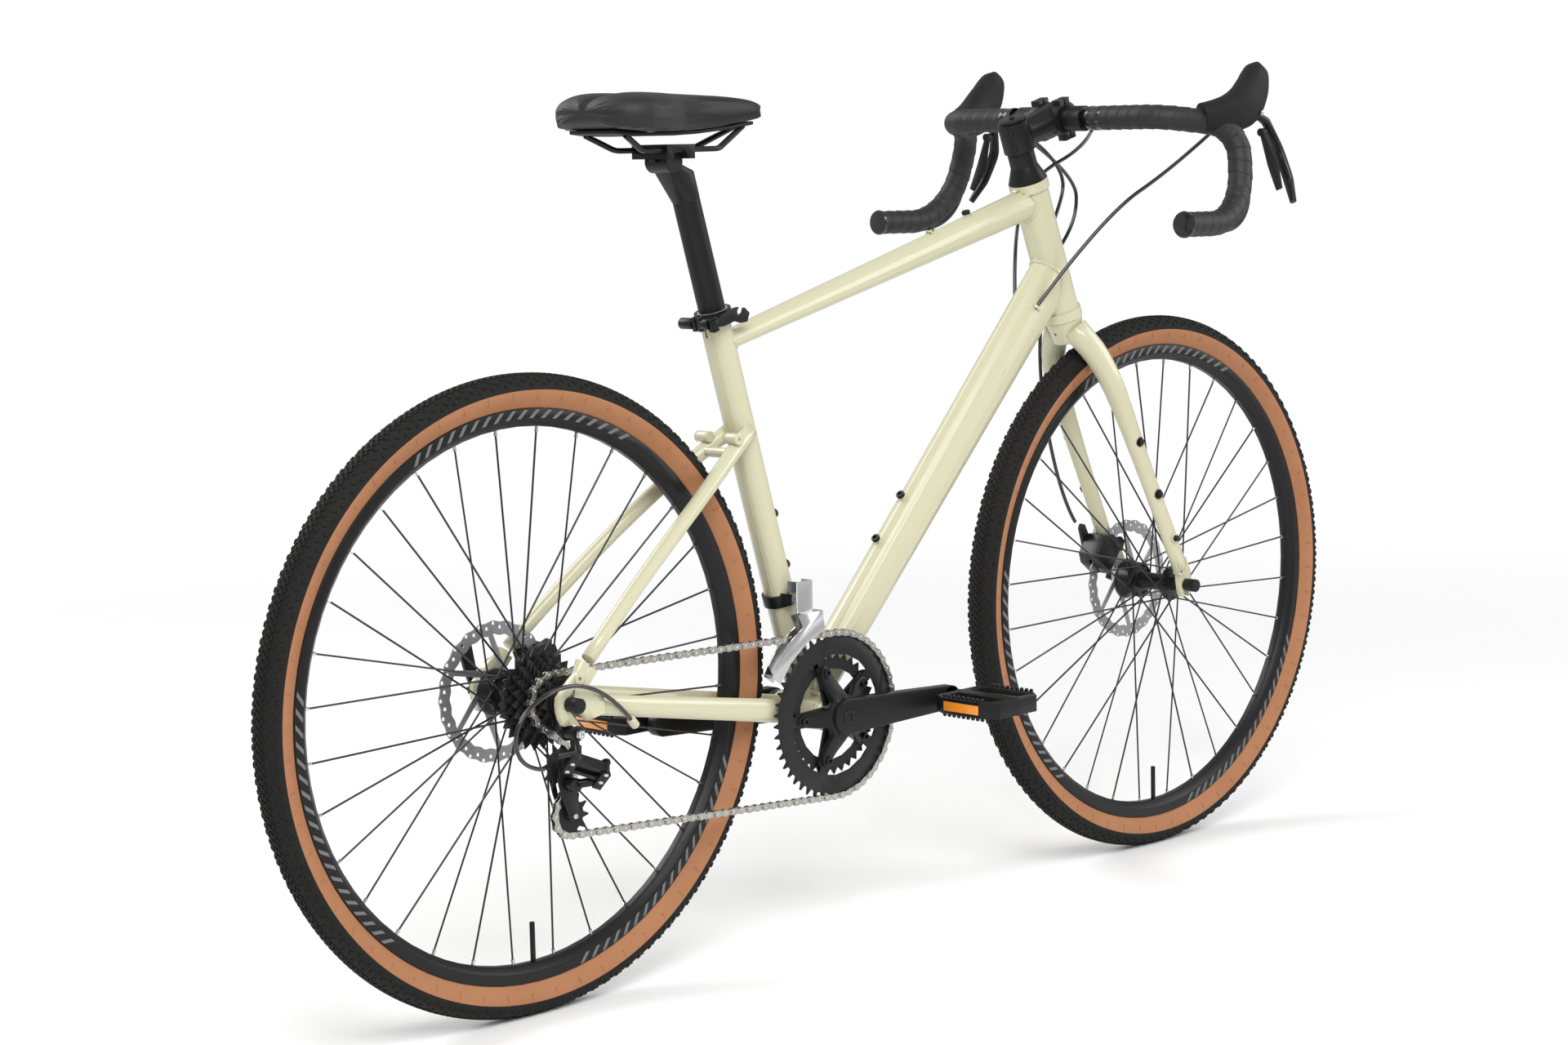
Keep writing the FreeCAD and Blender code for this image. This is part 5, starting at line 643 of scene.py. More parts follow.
def skinned(name, rings, material):
    """A closed skin over rings of places with as many sides as each other."""
    mesh = bmesh.new()
    stacked(mesh, [[mesh.verts.new(place) for place in ring] for ring in rings])
    bmesh.ops.recalc_face_normals(mesh, faces=mesh.faces)
    return show(name, mesh, material)


def oval(middle, first, second, sides):
    """Places round an oval with two half axes."""
    return [middle + first * math.cos(turn) + second * math.sin(turn) for turn in turns(sides)]


def dropout_socket(side, label):
    """The painted socket where a seatstay flattens into its dropout."""
    axle = pivot("rear_wheel_spin")[0]
    rings = []
    for (ahead, out, up), wide, thick in SOCKET_RINGS:
        place = axle + Vector((ahead, side * out, up)) * MM
        rings.append(oval(place, SOCKET_FLAT * (wide * MM), ACROSS * (thick * MM), SOCKET_SIDES))
    carry(settle(skinned(label + " dropout socket", rings, IVORY)), "frame", "frame_paint")


dropout_socket(1, "left")
dropout_socket(-1, "right")

# %% [markdown]
# Pairs of bolts close the bosses for bottle cages and a bag along three of the tubes. Each tube's line
# runs between places that the joints give, and each bolt sits at a share of that line, lifted by half of
# the tube's thickness there.

# %% The frame's bolts
BRACKET = pivot("crank_spin")[0]
SEAT_UP = pivot("seatpost_height")[1]
HEAD_LOW, HEAD_UP = pivot("steering_turn")
SEAT_TUBE_TOP, TOP_TUBE_REAR = BRACKET + SEAT_UP * (500 * MM), BRACKET + SEAT_UP * (460 * MM)
TOP_TUBE_FRONT, DOWN_TUBE_TOP = HEAD_LOW + HEAD_UP * (160 * MM), HEAD_LOW + HEAD_UP * (62 * MM)
DOWN_TUBE_FOOT = BRACKET + Vector((0.3, 0, 18.1)) * MM
BOLTED_TUBES = (((BRACKET, SEAT_TUBE_TOP), (0.358, 0.486), (35, 35)),
                ((TOP_TUBE_REAR, TOP_TUBE_FRONT), (0.66, 0.78), (22, 40)),
                ((DOWN_TUBE_FOOT, DOWN_TUBE_TOP), (0.32, 0.42), (47, 66)))
BOSS_HEIGHT = 2.0
FRAME_BOLT = 5.4 * MM


def frame_bolts():
    """A bolt over each of the small bosses along the tubes."""
    spots = []
    for (low, high), shares, (thick_low, thick_high) in BOLTED_TUBES:
        along = (high - low).normalized()
        out = along.cross(ACROSS)
        if out.z < 0:
            out = -out
        for share in shares:
            lift = (thick_low + (thick_high - thick_low) * share) / 2 + BOSS_HEIGHT
            spots.append((low.lerp(high, share) + out * (lift * MM), out, along))
    copies("frame bolts", BOLT, spots, BLACK, "frame", "black_alloy", FRAME_BOLT)


frame_bolts()

# %% [markdown]
# Each tyre is a tan casing with a black tread cap. It could be a torus, but a real tyre stands taller
# than it is wide and closes in at the rim, so a section of listed shares is turned round the axle,
# and the faces above one of them are black.

# %% The tyres' casings
SECTION_SHARES = ((0.0, 0.52), (0.18, 0.76), (0.36, 0.93), (0.54, 1.0), (0.68, 0.97), (0.79, 0.87),
                  (0.88, 0.70), (0.945, 0.46), (0.975, 0.22), (0.982, 0.0))
CASING_TOP_SHARE = 0.6
TYRE_STEPS = 160


def round_axle(turn):
    """The directions away from an axle and along the wheel at a turn about it."""
    away = Vector((math.cos(turn), 0, math.sin(turn)))
    return away, Vector((-away.z, 0, away.x))


def tyre_sizes(end):
    """A tyre's middle, the radius of its bed, its depth and half of its width."""
    low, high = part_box(end + "_tyre")
    rim_low, rim_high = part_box(end + "_rim")
    bed = (rim_high.x - rim_low.x) / 2
    return (low + high) / 2, bed, (high.x - low.x) / 2 - bed, (high.y - low.y) / 2


def tyre_casing(end):
    """The casing and the tread cap of one tyre."""
    axle, bed, depth, half = tyre_sizes(end)
    section = [(bed + rise * depth, out * half, rise) for rise, out in SECTION_SHARES]
    section += [(radius, -out, rise) for radius, out, rise in reversed(section[:-1])]
    mesh = bmesh.new()
    rings = []
    for turn in turns(TYRE_STEPS):
        away = round_axle(turn)[0]
        rings.append([mesh.verts.new(axle + away * radius + ACROSS * out) for radius, out, rise in section])
    for here, there in zip(rings, rings[1:] + rings[:1]):
        for index in range(len(section)):
            after = (index + 1) % len(section)
            face = mesh.faces.new([here[index], there[index], there[after], here[after]])
            face.material_index = int(max(section[index][2], section[after][2]) > CASING_TOP_SHARE)
    bmesh.ops.recalc_face_normals(mesh, faces=mesh.faces)
    piece = settle(show(end + " tyre casing", mesh, CASING, TREAD))
    carry(piece, end + "_wheel", "tyre_rubber", end + "_tyre")


print("tyre sections of", 2 * len(SECTION_SHARES) - 1, "points")

# %% [markdown]
# The tread is rows of small rubber blocks, close together in the middle and set apart and askew at the
# shoulders. A displaced texture would blur their edges, so each block is a copy that stands on the cap's
# own curve, and the tyre keeps about the radius of its solid. Small ticks from the mould ring the sides.

# %% The tread
KNOB_ROWS = ((0.0, 260, 5.6, 4.0, 1.275, 0.0), (0.16, 260, 5.4, 3.4, 1.275, 0.0),
             (0.32, 260, 5.0, 3.2, 1.35, 0.0), (0.58, 120, 3.8, 3.8, 1.275, 0.8),
             (0.80, 120, 5.2, 5.0, 1.65, 0.8), (0.93, 120, 4.0, 3.6, 1.5, 0.8))
ROW_STAGGER, SIDE_STAGGER = 0.5, 0.25
TICK_COUNT = 60
TICK_SIZE = (1.2 * MM, 7 * MM, 0.5 * MM)
TICK_SECTION = SECTION_SHARES[2]
TICK_LEAN = 0.25


def cap_at(share_out):
    """The rise of the tread cap at a share of its half width, and the climb and spread of its slope."""
    cap = [(rise, out) for rise, out in SECTION_SHARES if rise > CASING_TOP_SHARE]
    for (rise_a, out_a), (rise_b, out_b) in zip(cap, cap[1:]):
        if out_b <= share_out <= out_a:
            part = (share_out - out_b) / (out_a - out_b)
            return rise_b + (rise_a - rise_b) * part, rise_a - rise_b, out_a - out_b
    return cap[-1][0], 0.0, 1.0


def knob_row(end, row):
    """One row of blocks on a side of the tread, and its twin on the other."""
    axle, bed, depth, half = tyre_sizes(end)
    share, count, length, width, height, skew = KNOB_ROWS[row]
    rise, climb, spread = cap_at(share)
    spots = []
    for side in ((1,) if share == 0 else (1, -1)):
        for turn in turns(count, ROW_STAGGER * (row % 2) + SIDE_STAGGER * (side > 0)):
            away, along = round_axle(turn)
            out = (away * (spread * half) - ACROSS * (side * climb * depth)).normalized()
            place = axle + away * (bed + rise * depth) + ACROSS * (side * share * half)
            spots.append((place, out, along + ACROSS * (side * skew)))
    shape = keep("tread block", block(length * MM, width * MM, height * MM))
    copies(end + " tread row " + str(row), shape, spots, TREAD, end + "_wheel", "tyre_rubber")


def sidewall_ticks(end):
    """The mould's small ticks round both sides of a tyre."""
    axle, bed, depth, half = tyre_sizes(end)
    rise, out = TICK_SECTION
    spots = []
    for side in (1, -1):
        for turn in turns(TICK_COUNT, 0.5):
            away, along = round_axle(turn)
            place = axle + away * (bed + rise * depth) + ACROSS * (side * out * half)
            spots.append((place, (ACROSS * side - away * TICK_LEAN).normalized(), along))
    tick = keep("mould tick", block(*TICK_SIZE))
    copies(end + " sidewall ticks", tick, spots, CASING, end + "_wheel", "tyre_rubber")


for end in ("rear", "front"):
    tyre_casing(end)
    for row in range(len(KNOB_ROWS)):
        knob_row(end, row)
    sidewall_ticks(end)

# %% [markdown]
# The rims are black extrusions with a pattern of slanted grey bars printed on their sides, and silver
# nipples hold thin black spokes. The spokes' solids give the two ends of each one, so the round wires and
# their nipples follow from them. The print is copies of one thin bar.

# %% Rims, spokes and hubs
RIM_EDGE, HUB_EDGE = 0.8 * MM, 0.5 * MM
SPOKE_RADIUS = 1.15 * MM
PRINT_CENTRES = (90, 200, 310)
PRINT_STEPS = range(-9, 10)
PRINT_STEP = 3.1
PRINT_THICK = 0.5 * MM
PRINT_INSET = 6.4 * MM
BAR_OUTLINE = ((-8, -4.6), (-2.5, -4.6), (8, 4.6), (2.5, 4.6))


def bar_ends(node):
    """The two end points of each separate straight bar in a node."""
    mesh = copy_of(node)
    ends = []
    for shell in islands(mesh):
        corners = dict.fromkeys(vert for face in shell for vert in face.verts)
        places = np.array([tuple(vert.co) for vert in corners])
        middle = places.mean(0)
        run = np.linalg.svd(places - middle)[2][0]
        along = (places - middle) @ run
        ends.append((Vector(middle + run * along.min()), Vector(middle + run * along.max())))
    mesh.free()
    return ends


def spokes(end, axle):
    """One wheel's spokes and their nipples at the rim."""
    body = end + "_wheel"
    pairs = [sorted(pair, key=lambda place: (place - axle).length) for pair in bar_ends(end + "_spokes")]
    curve = round_curve(end + " spokes", SPOKE_RADIUS, 1)
    for pair in pairs:
        draw(curve, pair)
    piece = settle(show(end + " spokes", mesh_of(curve), SPOKE))
    carry(piece, body, "spoke_steel", end + "_spokes")
    spots = [(rim_end, (hub_end - rim_end).normalized(), ACROSS) for hub_end, rim_end in pairs]
    copies(end + " nipples", NIPPLE, spots, SILVER, body, "bright_steel")


def rim_print(end, axle, half):
    """The slanted bars on both sides of one rim."""
    places = [vertex.co - axle for vertex in frame["nodes"][end + "_rim"].data.vertices]
    radius = max(math.hypot(place.x, place.z) for place in places) - PRINT_INSET
    spots = []
    for side in (1, -1):
        for degrees in [middle + step * PRINT_STEP for middle in PRINT_CENTRES for step in PRINT_STEPS]:
            away, along = round_axle(math.radians(degrees))
            spots.append((axle + away * radius + ACROSS * (side * half), ACROSS * side, along))
    bar = keep("printed bar", slab([(x * MM, y * MM) for x, y in BAR_OUTLINE], PRINT_THICK))
    copies(end + " rim print", bar, spots, STRIPE, end + "_wheel", "black_alloy")


for end in ("rear", "front"):
    low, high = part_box(end + "_rim")
    bevelled(end + "_rim", BLACK, RIM_EDGE)
    spokes(end, (low + high) / 2)
    rim_print(end, (low + high) / 2, (high.y - low.y) / 2)
    bevelled(end + "_hub", FORGED, HUB_EDGE)

# %% [markdown]
# The brake rotors are stamped from steel sheet: a band with a waved edge and rows of round holes, on
# slanted arms round a carrier. A filled flat curve is the easy way to holes, since any loop inside
# another is cut out of it, and its extrusion gives the sheet its thickness.

# %% The rotors
ROTOR_WAVES, WAVE_POINTS = 24, 6
ROTOR_WAVE = 0.9 * MM
BAND_WIDE = 15.5 * MM
HOLE_ROWS = ((76.2 * MM, 24, 0.0), (71.4 * MM, 24, 0.5))
HOLE_RADIUS, HOLE_SIDES = 2.3 * MM, 10
CARRIER_RINGS = ((27 * MM, 36), (16 * MM, 24))
CARRIER_SHARE, ARM_SHARE = 0.98, 0.9
ROTOR_ARMS, ARM_SWEEP = 6, 0.61
ARM_ROOT, ARM_TIP_INSET = 24 * MM, 10 * MM
ARM_HALF, ARM_FLARE = 3 * MM, 1.3
ROTOR_BOLTS, ROTOR_BOLT_RING, ROTOR_BOLT = 6, 22 * MM, 3.2 * MM


def flat_curve(name, loops, thickness):
    """A mesh from closed loops in X and Y: inner loops are holes in outer ones."""
    curve = bpy.data.curves.new(name, "CURVE")
    curve.dimensions = "2D"
    curve.fill_mode = "BOTH"
    curve.extrude = thickness / 2
    for loop in loops:
        draw(curve, [(x, y, 0.0) for x, y in loop]).use_cyclic_u = True
    return mesh_of(curve)


def polar(radius, turn):
    """A flat point at a radius and a turn."""
    return radius * math.cos(turn), radius * math.sin(turn)


def band_loops(radius):
    """The waved edges of a rotor's band, and its holes."""
    loops = []
    for base in (radius - ROTOR_WAVE, radius - BAND_WIDE):
        loops.append([polar(base + ROTOR_WAVE * math.cos(ROTOR_WAVES * turn), turn)
                      for turn in turns(ROTOR_WAVES * WAVE_POINTS)])
    for ring, count, phase in HOLE_ROWS:
        for x, y in [polar(ring, turn) for turn in turns(count, phase)]:
            hole = [polar(HOLE_RADIUS, turn) for turn in turns(HOLE_SIDES)]
            loops.append([(x + dx, y + dy) for dx, dy in hole])
    return loops


def arm_outline(radius, turn):
    """One slanted arm, from the carrier out to the band."""
    root = Vector(polar(ARM_ROOT, turn))
    tip = Vector(polar(radius - ARM_TIP_INSET, turn + ARM_SWEEP))
    run = (tip - root).normalized()
    side = Vector((-run.y, run.x)) * ARM_HALF
    corners = (root - side * ARM_FLARE, tip - side, tip + side, root + side * ARM_FLARE)
    return [tuple(corner) for corner in corners]


def rotor(end):
    """One rotor: its band, carrier, arms and bolts."""
    low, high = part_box(end + "_rotor")
    axle, radius, sheet = (low + high) / 2, (high.x - low.x) / 2, high.y - low.y
    rings = [[polar(ring, turn) for turn in turns(sides)] for ring, sides in CARRIER_RINGS]
    parts = [flat_curve("band", band_loops(radius), sheet)]
    parts.append(flat_curve("carrier", rings, sheet * CARRIER_SHARE))
    for turn in turns(ROTOR_ARMS):
        parts.append(flat_curve("arm", [arm_outline(radius, turn)], sheet * ARM_SHARE))
    mesh = bmesh.new()
    for part in parts:
        mesh.from_mesh(part)
        bpy.data.meshes.remove(part)
    upright = Matrix.Translation(axle) @ Matrix.Rotation(math.pi / 2, 4, "X")
    bmesh.ops.transform(mesh, matrix=upright, verts=mesh.verts)
    bmesh.ops.remove_doubles(mesh, verts=mesh.verts, dist=MERGE_WITHIN / 2)
    bmesh.ops.recalc_face_normals(mesh, faces=mesh.faces)
    piece = settle(show(end + " rotor sheet", mesh, GROUND))
    carry(piece, end + "_wheel", "bright_steel", end + "_rotor")
    face = axle + ACROSS * (sheet / 2)
    spots = [(face + round_axle(turn)[0] * ROTOR_BOLT_RING, ACROSS, AHEAD) for turn in turns(ROTOR_BOLTS)]
    copies(end + " rotor bolts", BOLT, spots, BLACK, end + "_wheel", "black_alloy", ROTOR_BOLT)


for end in ("rear", "front"):
    rotor(end)

# %% [markdown]
# A chain is two link shapes over and over: narrow inner links with a roller at each end, and wider
# outer links with the pins' heads showing. The solids have a roller at every pin, so the pins' places
# are read from them and walked in order, and each link is a copy turned along its own pair of pins.

# %% The chain
PITCH = 12.7
PLATE_END, PLATE_WAIST = 4.1, 2.7
PLATE_SWEEP, PLATE_POINTS = 1.9, 9
PLATE_THICK = 1.0 * MM
INNER_REACH, OUTER_REACH, PIN_REACH = 1.7 * MM, 2.8 * MM, 3.3 * MM
ROLLER_PROFILE = ((0, -1.2), (3.6, -1.2), (3.6, 1.2), (0, 1.2))
PIN_HEAD = 1.5 * MM
WIDEST_ROLLER, THINNEST_ROLLER = 9 * MM, 2 * MM


def plate_outline():
    """A figure-of-eight link plate, in metres, along X."""
    arc = np.linspace(-PLATE_SWEEP, PLATE_SWEEP, PLATE_POINTS)
    end = [(PITCH / 2 + PLATE_END * math.cos(turn), PLATE_END * math.sin(turn)) for turn in arc]
    right = [(0.0, -PLATE_WAIST)] + end + [(0.0, PLATE_WAIST)]
    left = [(-x, -y) for x, y in end]
    return [(x * MM, y * MM) for x, y in right + left]


def chain_pins():
    """The pins' middles in order round the loop."""
    mesh = copy_of("chain")
    pins = []
    for shell in islands(mesh):
        low, high = span(shell)[:2]
        long, wide, tall = high - low
        if max(long, tall) < WIDEST_ROLLER and wide > THINNEST_ROLLER:
            pins.append(Vector((low + high) / 2))
    mesh.free()
    order = [pins.pop()]
    while pins:
        nearest = min(pins, key=lambda pin: (pin - order[-1]).length)
        pins.remove(nearest)
        order.append(nearest)
    return order


def link_plates(pins):
    """A spot for each plate: inner links and outer links by turns."""
    spots = []
    for index, (pin, after) in enumerate(zip(pins, pins[1:] + pins[:1])):
        reach = INNER_REACH if index % 2 else OUTER_REACH
        for side in (1, -1):
            place = (pin + after) / 2 + ACROSS * (side * reach)
            spots.append((place, ACROSS * side, (after - pin).normalized()))
    return spots


pins = chain_pins()
plate = keep("link plate", slab(plate_outline(), PLATE_THICK))
roller = keep("roller", lathe(ROLLER_PROFILE, 10, MM))
copies("chain plates", plate, link_plates(pins), NICKEL, "frame", "chain_steel", nodes=("chain",))
spots = [(pin, ACROSS, AHEAD) for pin in pins]
copies("chain rollers", roller, spots, SPROCKET, "frame", "chain_steel")
spots = [(pin + ACROSS * (side * PIN_REACH), ACROSS * side, AHEAD) for pin in pins for side in (1, -1)]
copies("chain pin heads", RIVET, spots, SILVER, "frame", "chain_steel", PIN_HEAD)

# %% [markdown]
# The cranks are forged and the derailleurs are cast or stamped, so what their solids need is broken
# edges: wide ones on forgings, and narrow ones on teeth and plates. One table lists each piece with its
# finish, the width of its edges in millimetres and how many steps round them.

# %% Cranks, sprockets and derailleurs
DRIVETRAIN_EDGES = (("crank_arms", FORGED, 3.0, 3), ("chainrings", SPROCKET, 0.3, 1),
                    ("cassette", SPROCKET, 0.25, 1), ("rd_body", FORGED, 1.0, 3),
                    ("rd_outer_link", FORGED, 1.0, 3), ("rd_inner_link", FORGED, 1.0, 3),
                    ("rd_knuckle", FORGED, 1.0, 3), ("rd_cage", BLACK, 0.4, 2),
                    ("guide_pulley", PLASTIC, 0.3, 1), ("tension_pulley", PLASTIC, 0.3, 1),
                    ("front_derailleur_body", BLACK, 0.6, 2), ("fd_link", SILVER, 0.5, 2),
                    ("derailleur_hanger", BLACK, 0.5, 2))


def bevelled_all(rows):
    """Pieces from a table of node, finish, edge width in millimetres and steps."""
    for node, material, width, segments in rows:
        bevelled(node, material, width * MM, segments)


bevelled_all(DRIVETRAIN_EDGES)

# %% [markdown]
# The cranks are one forging with the spider that holds the rings. The spider's arms spread from a thick
# middle and sink to the rings' face, so it is a star whose height falls with its radius. Each crank is the
# hull of a disc at the axle and a smaller one at the pedal, with its edges broken.

# %% The forged faces of the cranks
SPIDER_SIDES, SPIDER_ARMS = 120, 5
SPIDER_TURN = math.radians(36)
SPIDER_WAIST, SPIDER_TIP = 26 * MM, 63 * MM
SPIDER_HIGH, SPIDER_LOW = 66 * MM, 51 * MM
SPIDER_SLOPE = (18 * MM, 52 * MM)
SPIDER_THICK = 7 * MM
SPIDER_ROWS = ((0.02, 0.0), (0.25, 0.0), (0.5, 0.0), (0.75, 0.0), (0.94, 0.0), (1.0, 0.25), (1.0, 1.0),
               (0.6, 1.0), (0.02, 1.0))
ARM_NARROWING = 2.2
RING_BOLT_RING, RING_BOLT = 55 * MM, 4.8 * MM
CRANK_DISCS = ((0.0, 62 * MM, 21 * MM), (170 * MM, 71 * MM, 14 * MM))
CRANK_HALF, CRANK_EDGE = 7 * MM, 2.5 * MM
HULL_SIDES = 48


def disc(middle, axis, radius):
    """Places round an axis."""
    side = axis.orthogonal().normalized() * radius
    return [middle + Matrix.Rotation(turn, 3, axis) @ side for turn in turns(HULL_SIDES)]


def hulled(name, places, width):
    """A forging: the hull of some places with its sharp edges broken."""
    mesh = bmesh.new()
    for place in places:
        mesh.verts.new(place)
    bmesh.ops.convex_hull(mesh, input=mesh.verts)
    loose = [vert for vert in mesh.verts if not vert.link_faces]
    bmesh.ops.delete(mesh, geom=loose, context="VERTS")
    bmesh.ops.dissolve_limit(mesh, angle_limit=FLAT_ANGLE, verts=mesh.verts, edges=mesh.edges)
    bmesh.ops.recalc_face_normals(mesh, faces=mesh.faces)
    return break_edges(show(name, mesh, BLACK), width, 3)


def spider_height(radius):
    """How far out the spider's face is at a radius."""
    start, stop = SPIDER_SLOPE
    share = min(max((radius - start) / (stop - start), 0.0), 1.0)
    return SPIDER_HIGH - (SPIDER_HIGH - SPIDER_LOW) * share * share * (3 - 2 * share)


def spider():
    """The star that carries the rings, as a closed shell."""
    rings = []
    for share, sink in SPIDER_ROWS:
        ring = []
        for turn in turns(SPIDER_SIDES):
            lobe = ((1 + math.cos(SPIDER_ARMS * (turn - SPIDER_TURN))) / 2) ** ARM_NARROWING
            radius = share * (SPIDER_WAIST + (SPIDER_TIP - SPIDER_WAIST) * lobe)
            out = spider_height(radius) - sink * SPIDER_THICK
            ring.append(BRACKET + round_axle(turn)[0] * radius - ACROSS * out)
        rings.append(ring)
    carry(settle(skinned("crank spider", rings, BLACK)), "cranks", "black_alloy")


def crank(side, label):
    """One crank, from the axle to the pedal."""
    places = []
    for along, out, radius in CRANK_DISCS:
        for level in (out - CRANK_HALF, out + CRANK_HALF):
            places += disc(BRACKET + Vector((-side * along, side * level, 0)), ACROSS, radius)
    carry(hulled(label + " crank", places, CRANK_EDGE), "cranks", "black_alloy")


spider()
crank(1, "left")
crank(-1, "right")
spots = []
for turn in turns(SPIDER_ARMS):
    place = BRACKET + round_axle(turn + SPIDER_TURN)[0] * RING_BOLT_RING - ACROSS * SPIDER_LOW
    spots.append((place, -ACROSS, AHEAD))
copies("ring bolts", BOLT, spots, FORGED, "cranks", "black_alloy", RING_BOLT)

# %% [markdown]
# The front derailleur's cage is two bright steel plates that follow the big ring closely. The solid's
# plates are taller, so a Boolean cuts away what lies outside an arc round the bottom bracket, and the
# edges are broken afterwards.

# %% The front derailleur's cage
CAGE_RADIUS = 124 * MM
CAGE_FROM, CAGE_TO = math.radians(117), math.radians(178)
CAGE_POINTS = 14
TRIM_RADIUS = 200 * MM
CAGE_EDGE = 0.35 * MM


def cut_with(piece, cutter, middle):
    """Cut a flat outline, stood up at a place in the bike's long plane, out of a piece."""
    cutter.matrix_world = Matrix.Translation(middle) @ Matrix.Rotation(math.pi / 2, 4, "X")
    cut = piece.modifiers.new("cut", "BOOLEAN")
    cut.object = cutter
    cut.solver = "EXACT"
    return piece


def trimmed_cage():
    """The cage's plates, trimmed to a band that follows the big ring."""
    arc = np.linspace(CAGE_FROM, CAGE_TO, CAGE_POINTS)
    outline = [polar(CAGE_RADIUS, turn) for turn in arc]
    outline += [polar(TRIM_RADIUS, turn) for turn in reversed(arc)]
    piece = show("fd_cage finished", copy_of("fd_cage"), SILVER)
    cut_with(piece, keep("cage trim", slab(outline, TRIM_RADIUS)), BRACKET)
    carry(break_edges(piece, CAGE_EDGE, 1), "fd_cage", "bright_steel", "fd_cage")


trimmed_cage()

# %% [markdown]
# The derailleurs' pins and bolts are bright against the black castings. Modelling them in place would
# repeat what the joints already say, so their places and directions come from the joints that they make,
# and each head is a copy of the rivet or the bolt.

# %% The pivots' bright heads
LINK_PIN_OUT, LINK_PIN = 10.0 * MM, 2.6 * MM
HANGER_BOLT_OUT, HANGER_BOLT = 18.4 * MM, 5 * MM
PULLEY_BOLT_OUT, PULLEY_BOLT = 7.7 * MM, 3 * MM
CRANK_BOLT_OUT, CRANK_BOLT = 64 * MM, 9 * MM


def both_sides(places, axis, out, along):
    """Spots at both ends of a pin through each place."""
    return [(place + axis * (side * out), axis * side, along) for place in places for side in (1, -1)]


outer, axis = pivot("rd_outer_link_swing")
inner = pivot("rd_inner_link_swing")[0]
far = pivot("rd_knuckle_swing")[0]
upper_pins = both_sides((outer, inner), axis, LINK_PIN_OUT, ACROSS)
lower_pins = both_sides((far, far + inner - outer), axis, LINK_PIN_OUT, ACROSS)
copies("upper link pins", RIVET, upper_pins, SILVER, "rd_body", "bright_steel", LINK_PIN)
copies("lower link pins", RIVET, lower_pins, SILVER, "rd_knuckle", "bright_steel", LINK_PIN)
hanger = pivot("rd_hanger_swing")[0] - ACROSS * HANGER_BOLT_OUT
copies("hanger bolt", BOLT, [(hanger, -ACROSS, AHEAD)], SILVER, "rd_body", "bright_steel", HANGER_BOLT)
pulleys = [pivot(name)[0] for name in ("guide_pulley_spin", "tension_pulley_spin")]
spots = both_sides(pulleys, ACROSS, PULLEY_BOLT_OUT, AHEAD)
copies("pulley bolts", BOLT, spots, SILVER, "rd_cage", "bright_steel", PULLEY_BOLT)
spots = both_sides([BRACKET], ACROSS, CRANK_BOLT_OUT, AHEAD)
copies("crank bolts", BOLT, spots, BLACK, "cranks", "black_alloy", CRANK_BOLT)

# %% [markdown]
# The pedals are alloy cages with short teeth along both long edges and an amber reflector in the
# front and the back. The teeth and the reflectors are copies set along the cage's own box.

# %% The pedals
PEDAL_EDGE = 0.8 * MM
TEETH = 9
TEETH_SHARE = 0.62
TOOTH_SIZE, TOOTH_DRAFT, TOOTH_INSET = (3.4 * MM, 3.0 * MM, 2.6 * MM), 0.5, 4 * MM
LENS_SIZE, LENS_DRAFT = (54 * MM, 11 * MM, 2.4 * MM), 0.94


def pedal(side):
    """One pedal: the cage, its teeth and its reflectors."""
    node = side + "_pedal"
    bevelled(node, BLACK, PEDAL_EDGE)
    low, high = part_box(node)
    middle, half = (low + high) / 2, (high - low) / 2
    spots = []
    for end in (1, -1):
        for face in (1, -1):
            for share in np.linspace(-TEETH_SHARE, TEETH_SHARE, TEETH):
                edge = Vector((end * (half.x - TOOTH_INSET), share * half.y, face * half.z))
                spots.append((middle + edge, UP * face, AHEAD))
    tooth = keep("pedal tooth", block(*TOOTH_SIZE, TOOTH_DRAFT))
    copies(side + " pedal teeth", tooth, spots, BLACK, node, "black_alloy")
    lens = keep("reflector", block(*LENS_SIZE, LENS_DRAFT))
    spots = both_sides([middle], AHEAD, half.x, ACROSS)
    copies(side + " pedal reflectors", lens, spots, AMBER, node, "black_alloy")


for side in ("right", "left"):
    pedal(side)

# %% [markdown]
# The bar is wrapped in tape. Each turn overlaps the one before, which leaves a slanting step that
# climbs round the bar, so the tape's surface follows a rule: its radius rises slowly along the bar and
# drops at each new turn. The bar's middle line is straight runs and round bends, and the surface is
# built ring by ring along it, with each ring turned as little as the line allows.

# %% The line of the bar
BAR_CENTRE = Vector((352.26, 0, 960.72)) * MM
BAR_CORNERS = ((0, 62, 0), (0, 172, 0), (89, 221, -13), (68, 243, -131), (-56, 251, -129))
BAR_BENDS = (45 * MM, 42 * MM, 80 * MM)
TAPE_STEP = 1.4 * MM


def straight(start, stop):
    """Points from a start, left out, to a stop, about a tape step apart."""
    count = max(1, round((stop - start).length / TAPE_STEP))
    return [start.lerp(stop, (index + 1) / count) for index in range(count)]


def bar_line(side):
    """Points along one half of the bar's middle line, from where its tape starts."""
    corners = [BAR_CENTRE + Vector((x, side * y, z)) * MM for x, y, z in BAR_CORNERS]
    line = [corners[0]]
    for before, corner, after, bend in zip(corners, corners[1:], corners[2:], BAR_BENDS):
        back, onward = (before - corner).normalized(), (after - corner).normalized()
        half = back.angle(onward) / 2
        reach = bend / math.tan(half)
        hub = corner + (back + onward).normalized() * (bend / math.sin(half))
        first, last = corner + back * reach - hub, corner + onward * reach - hub
        count = max(2, round(first.angle(last) * bend / TAPE_STEP))
        line += straight(line[-1], hub + first)
        line += [hub + first.slerp(last, (index + 1) / count) * bend for index in range(count)]
    return line + straight(line[-1], corners[-1])


print("bar line of", len(bar_line(1)), "points on each side")

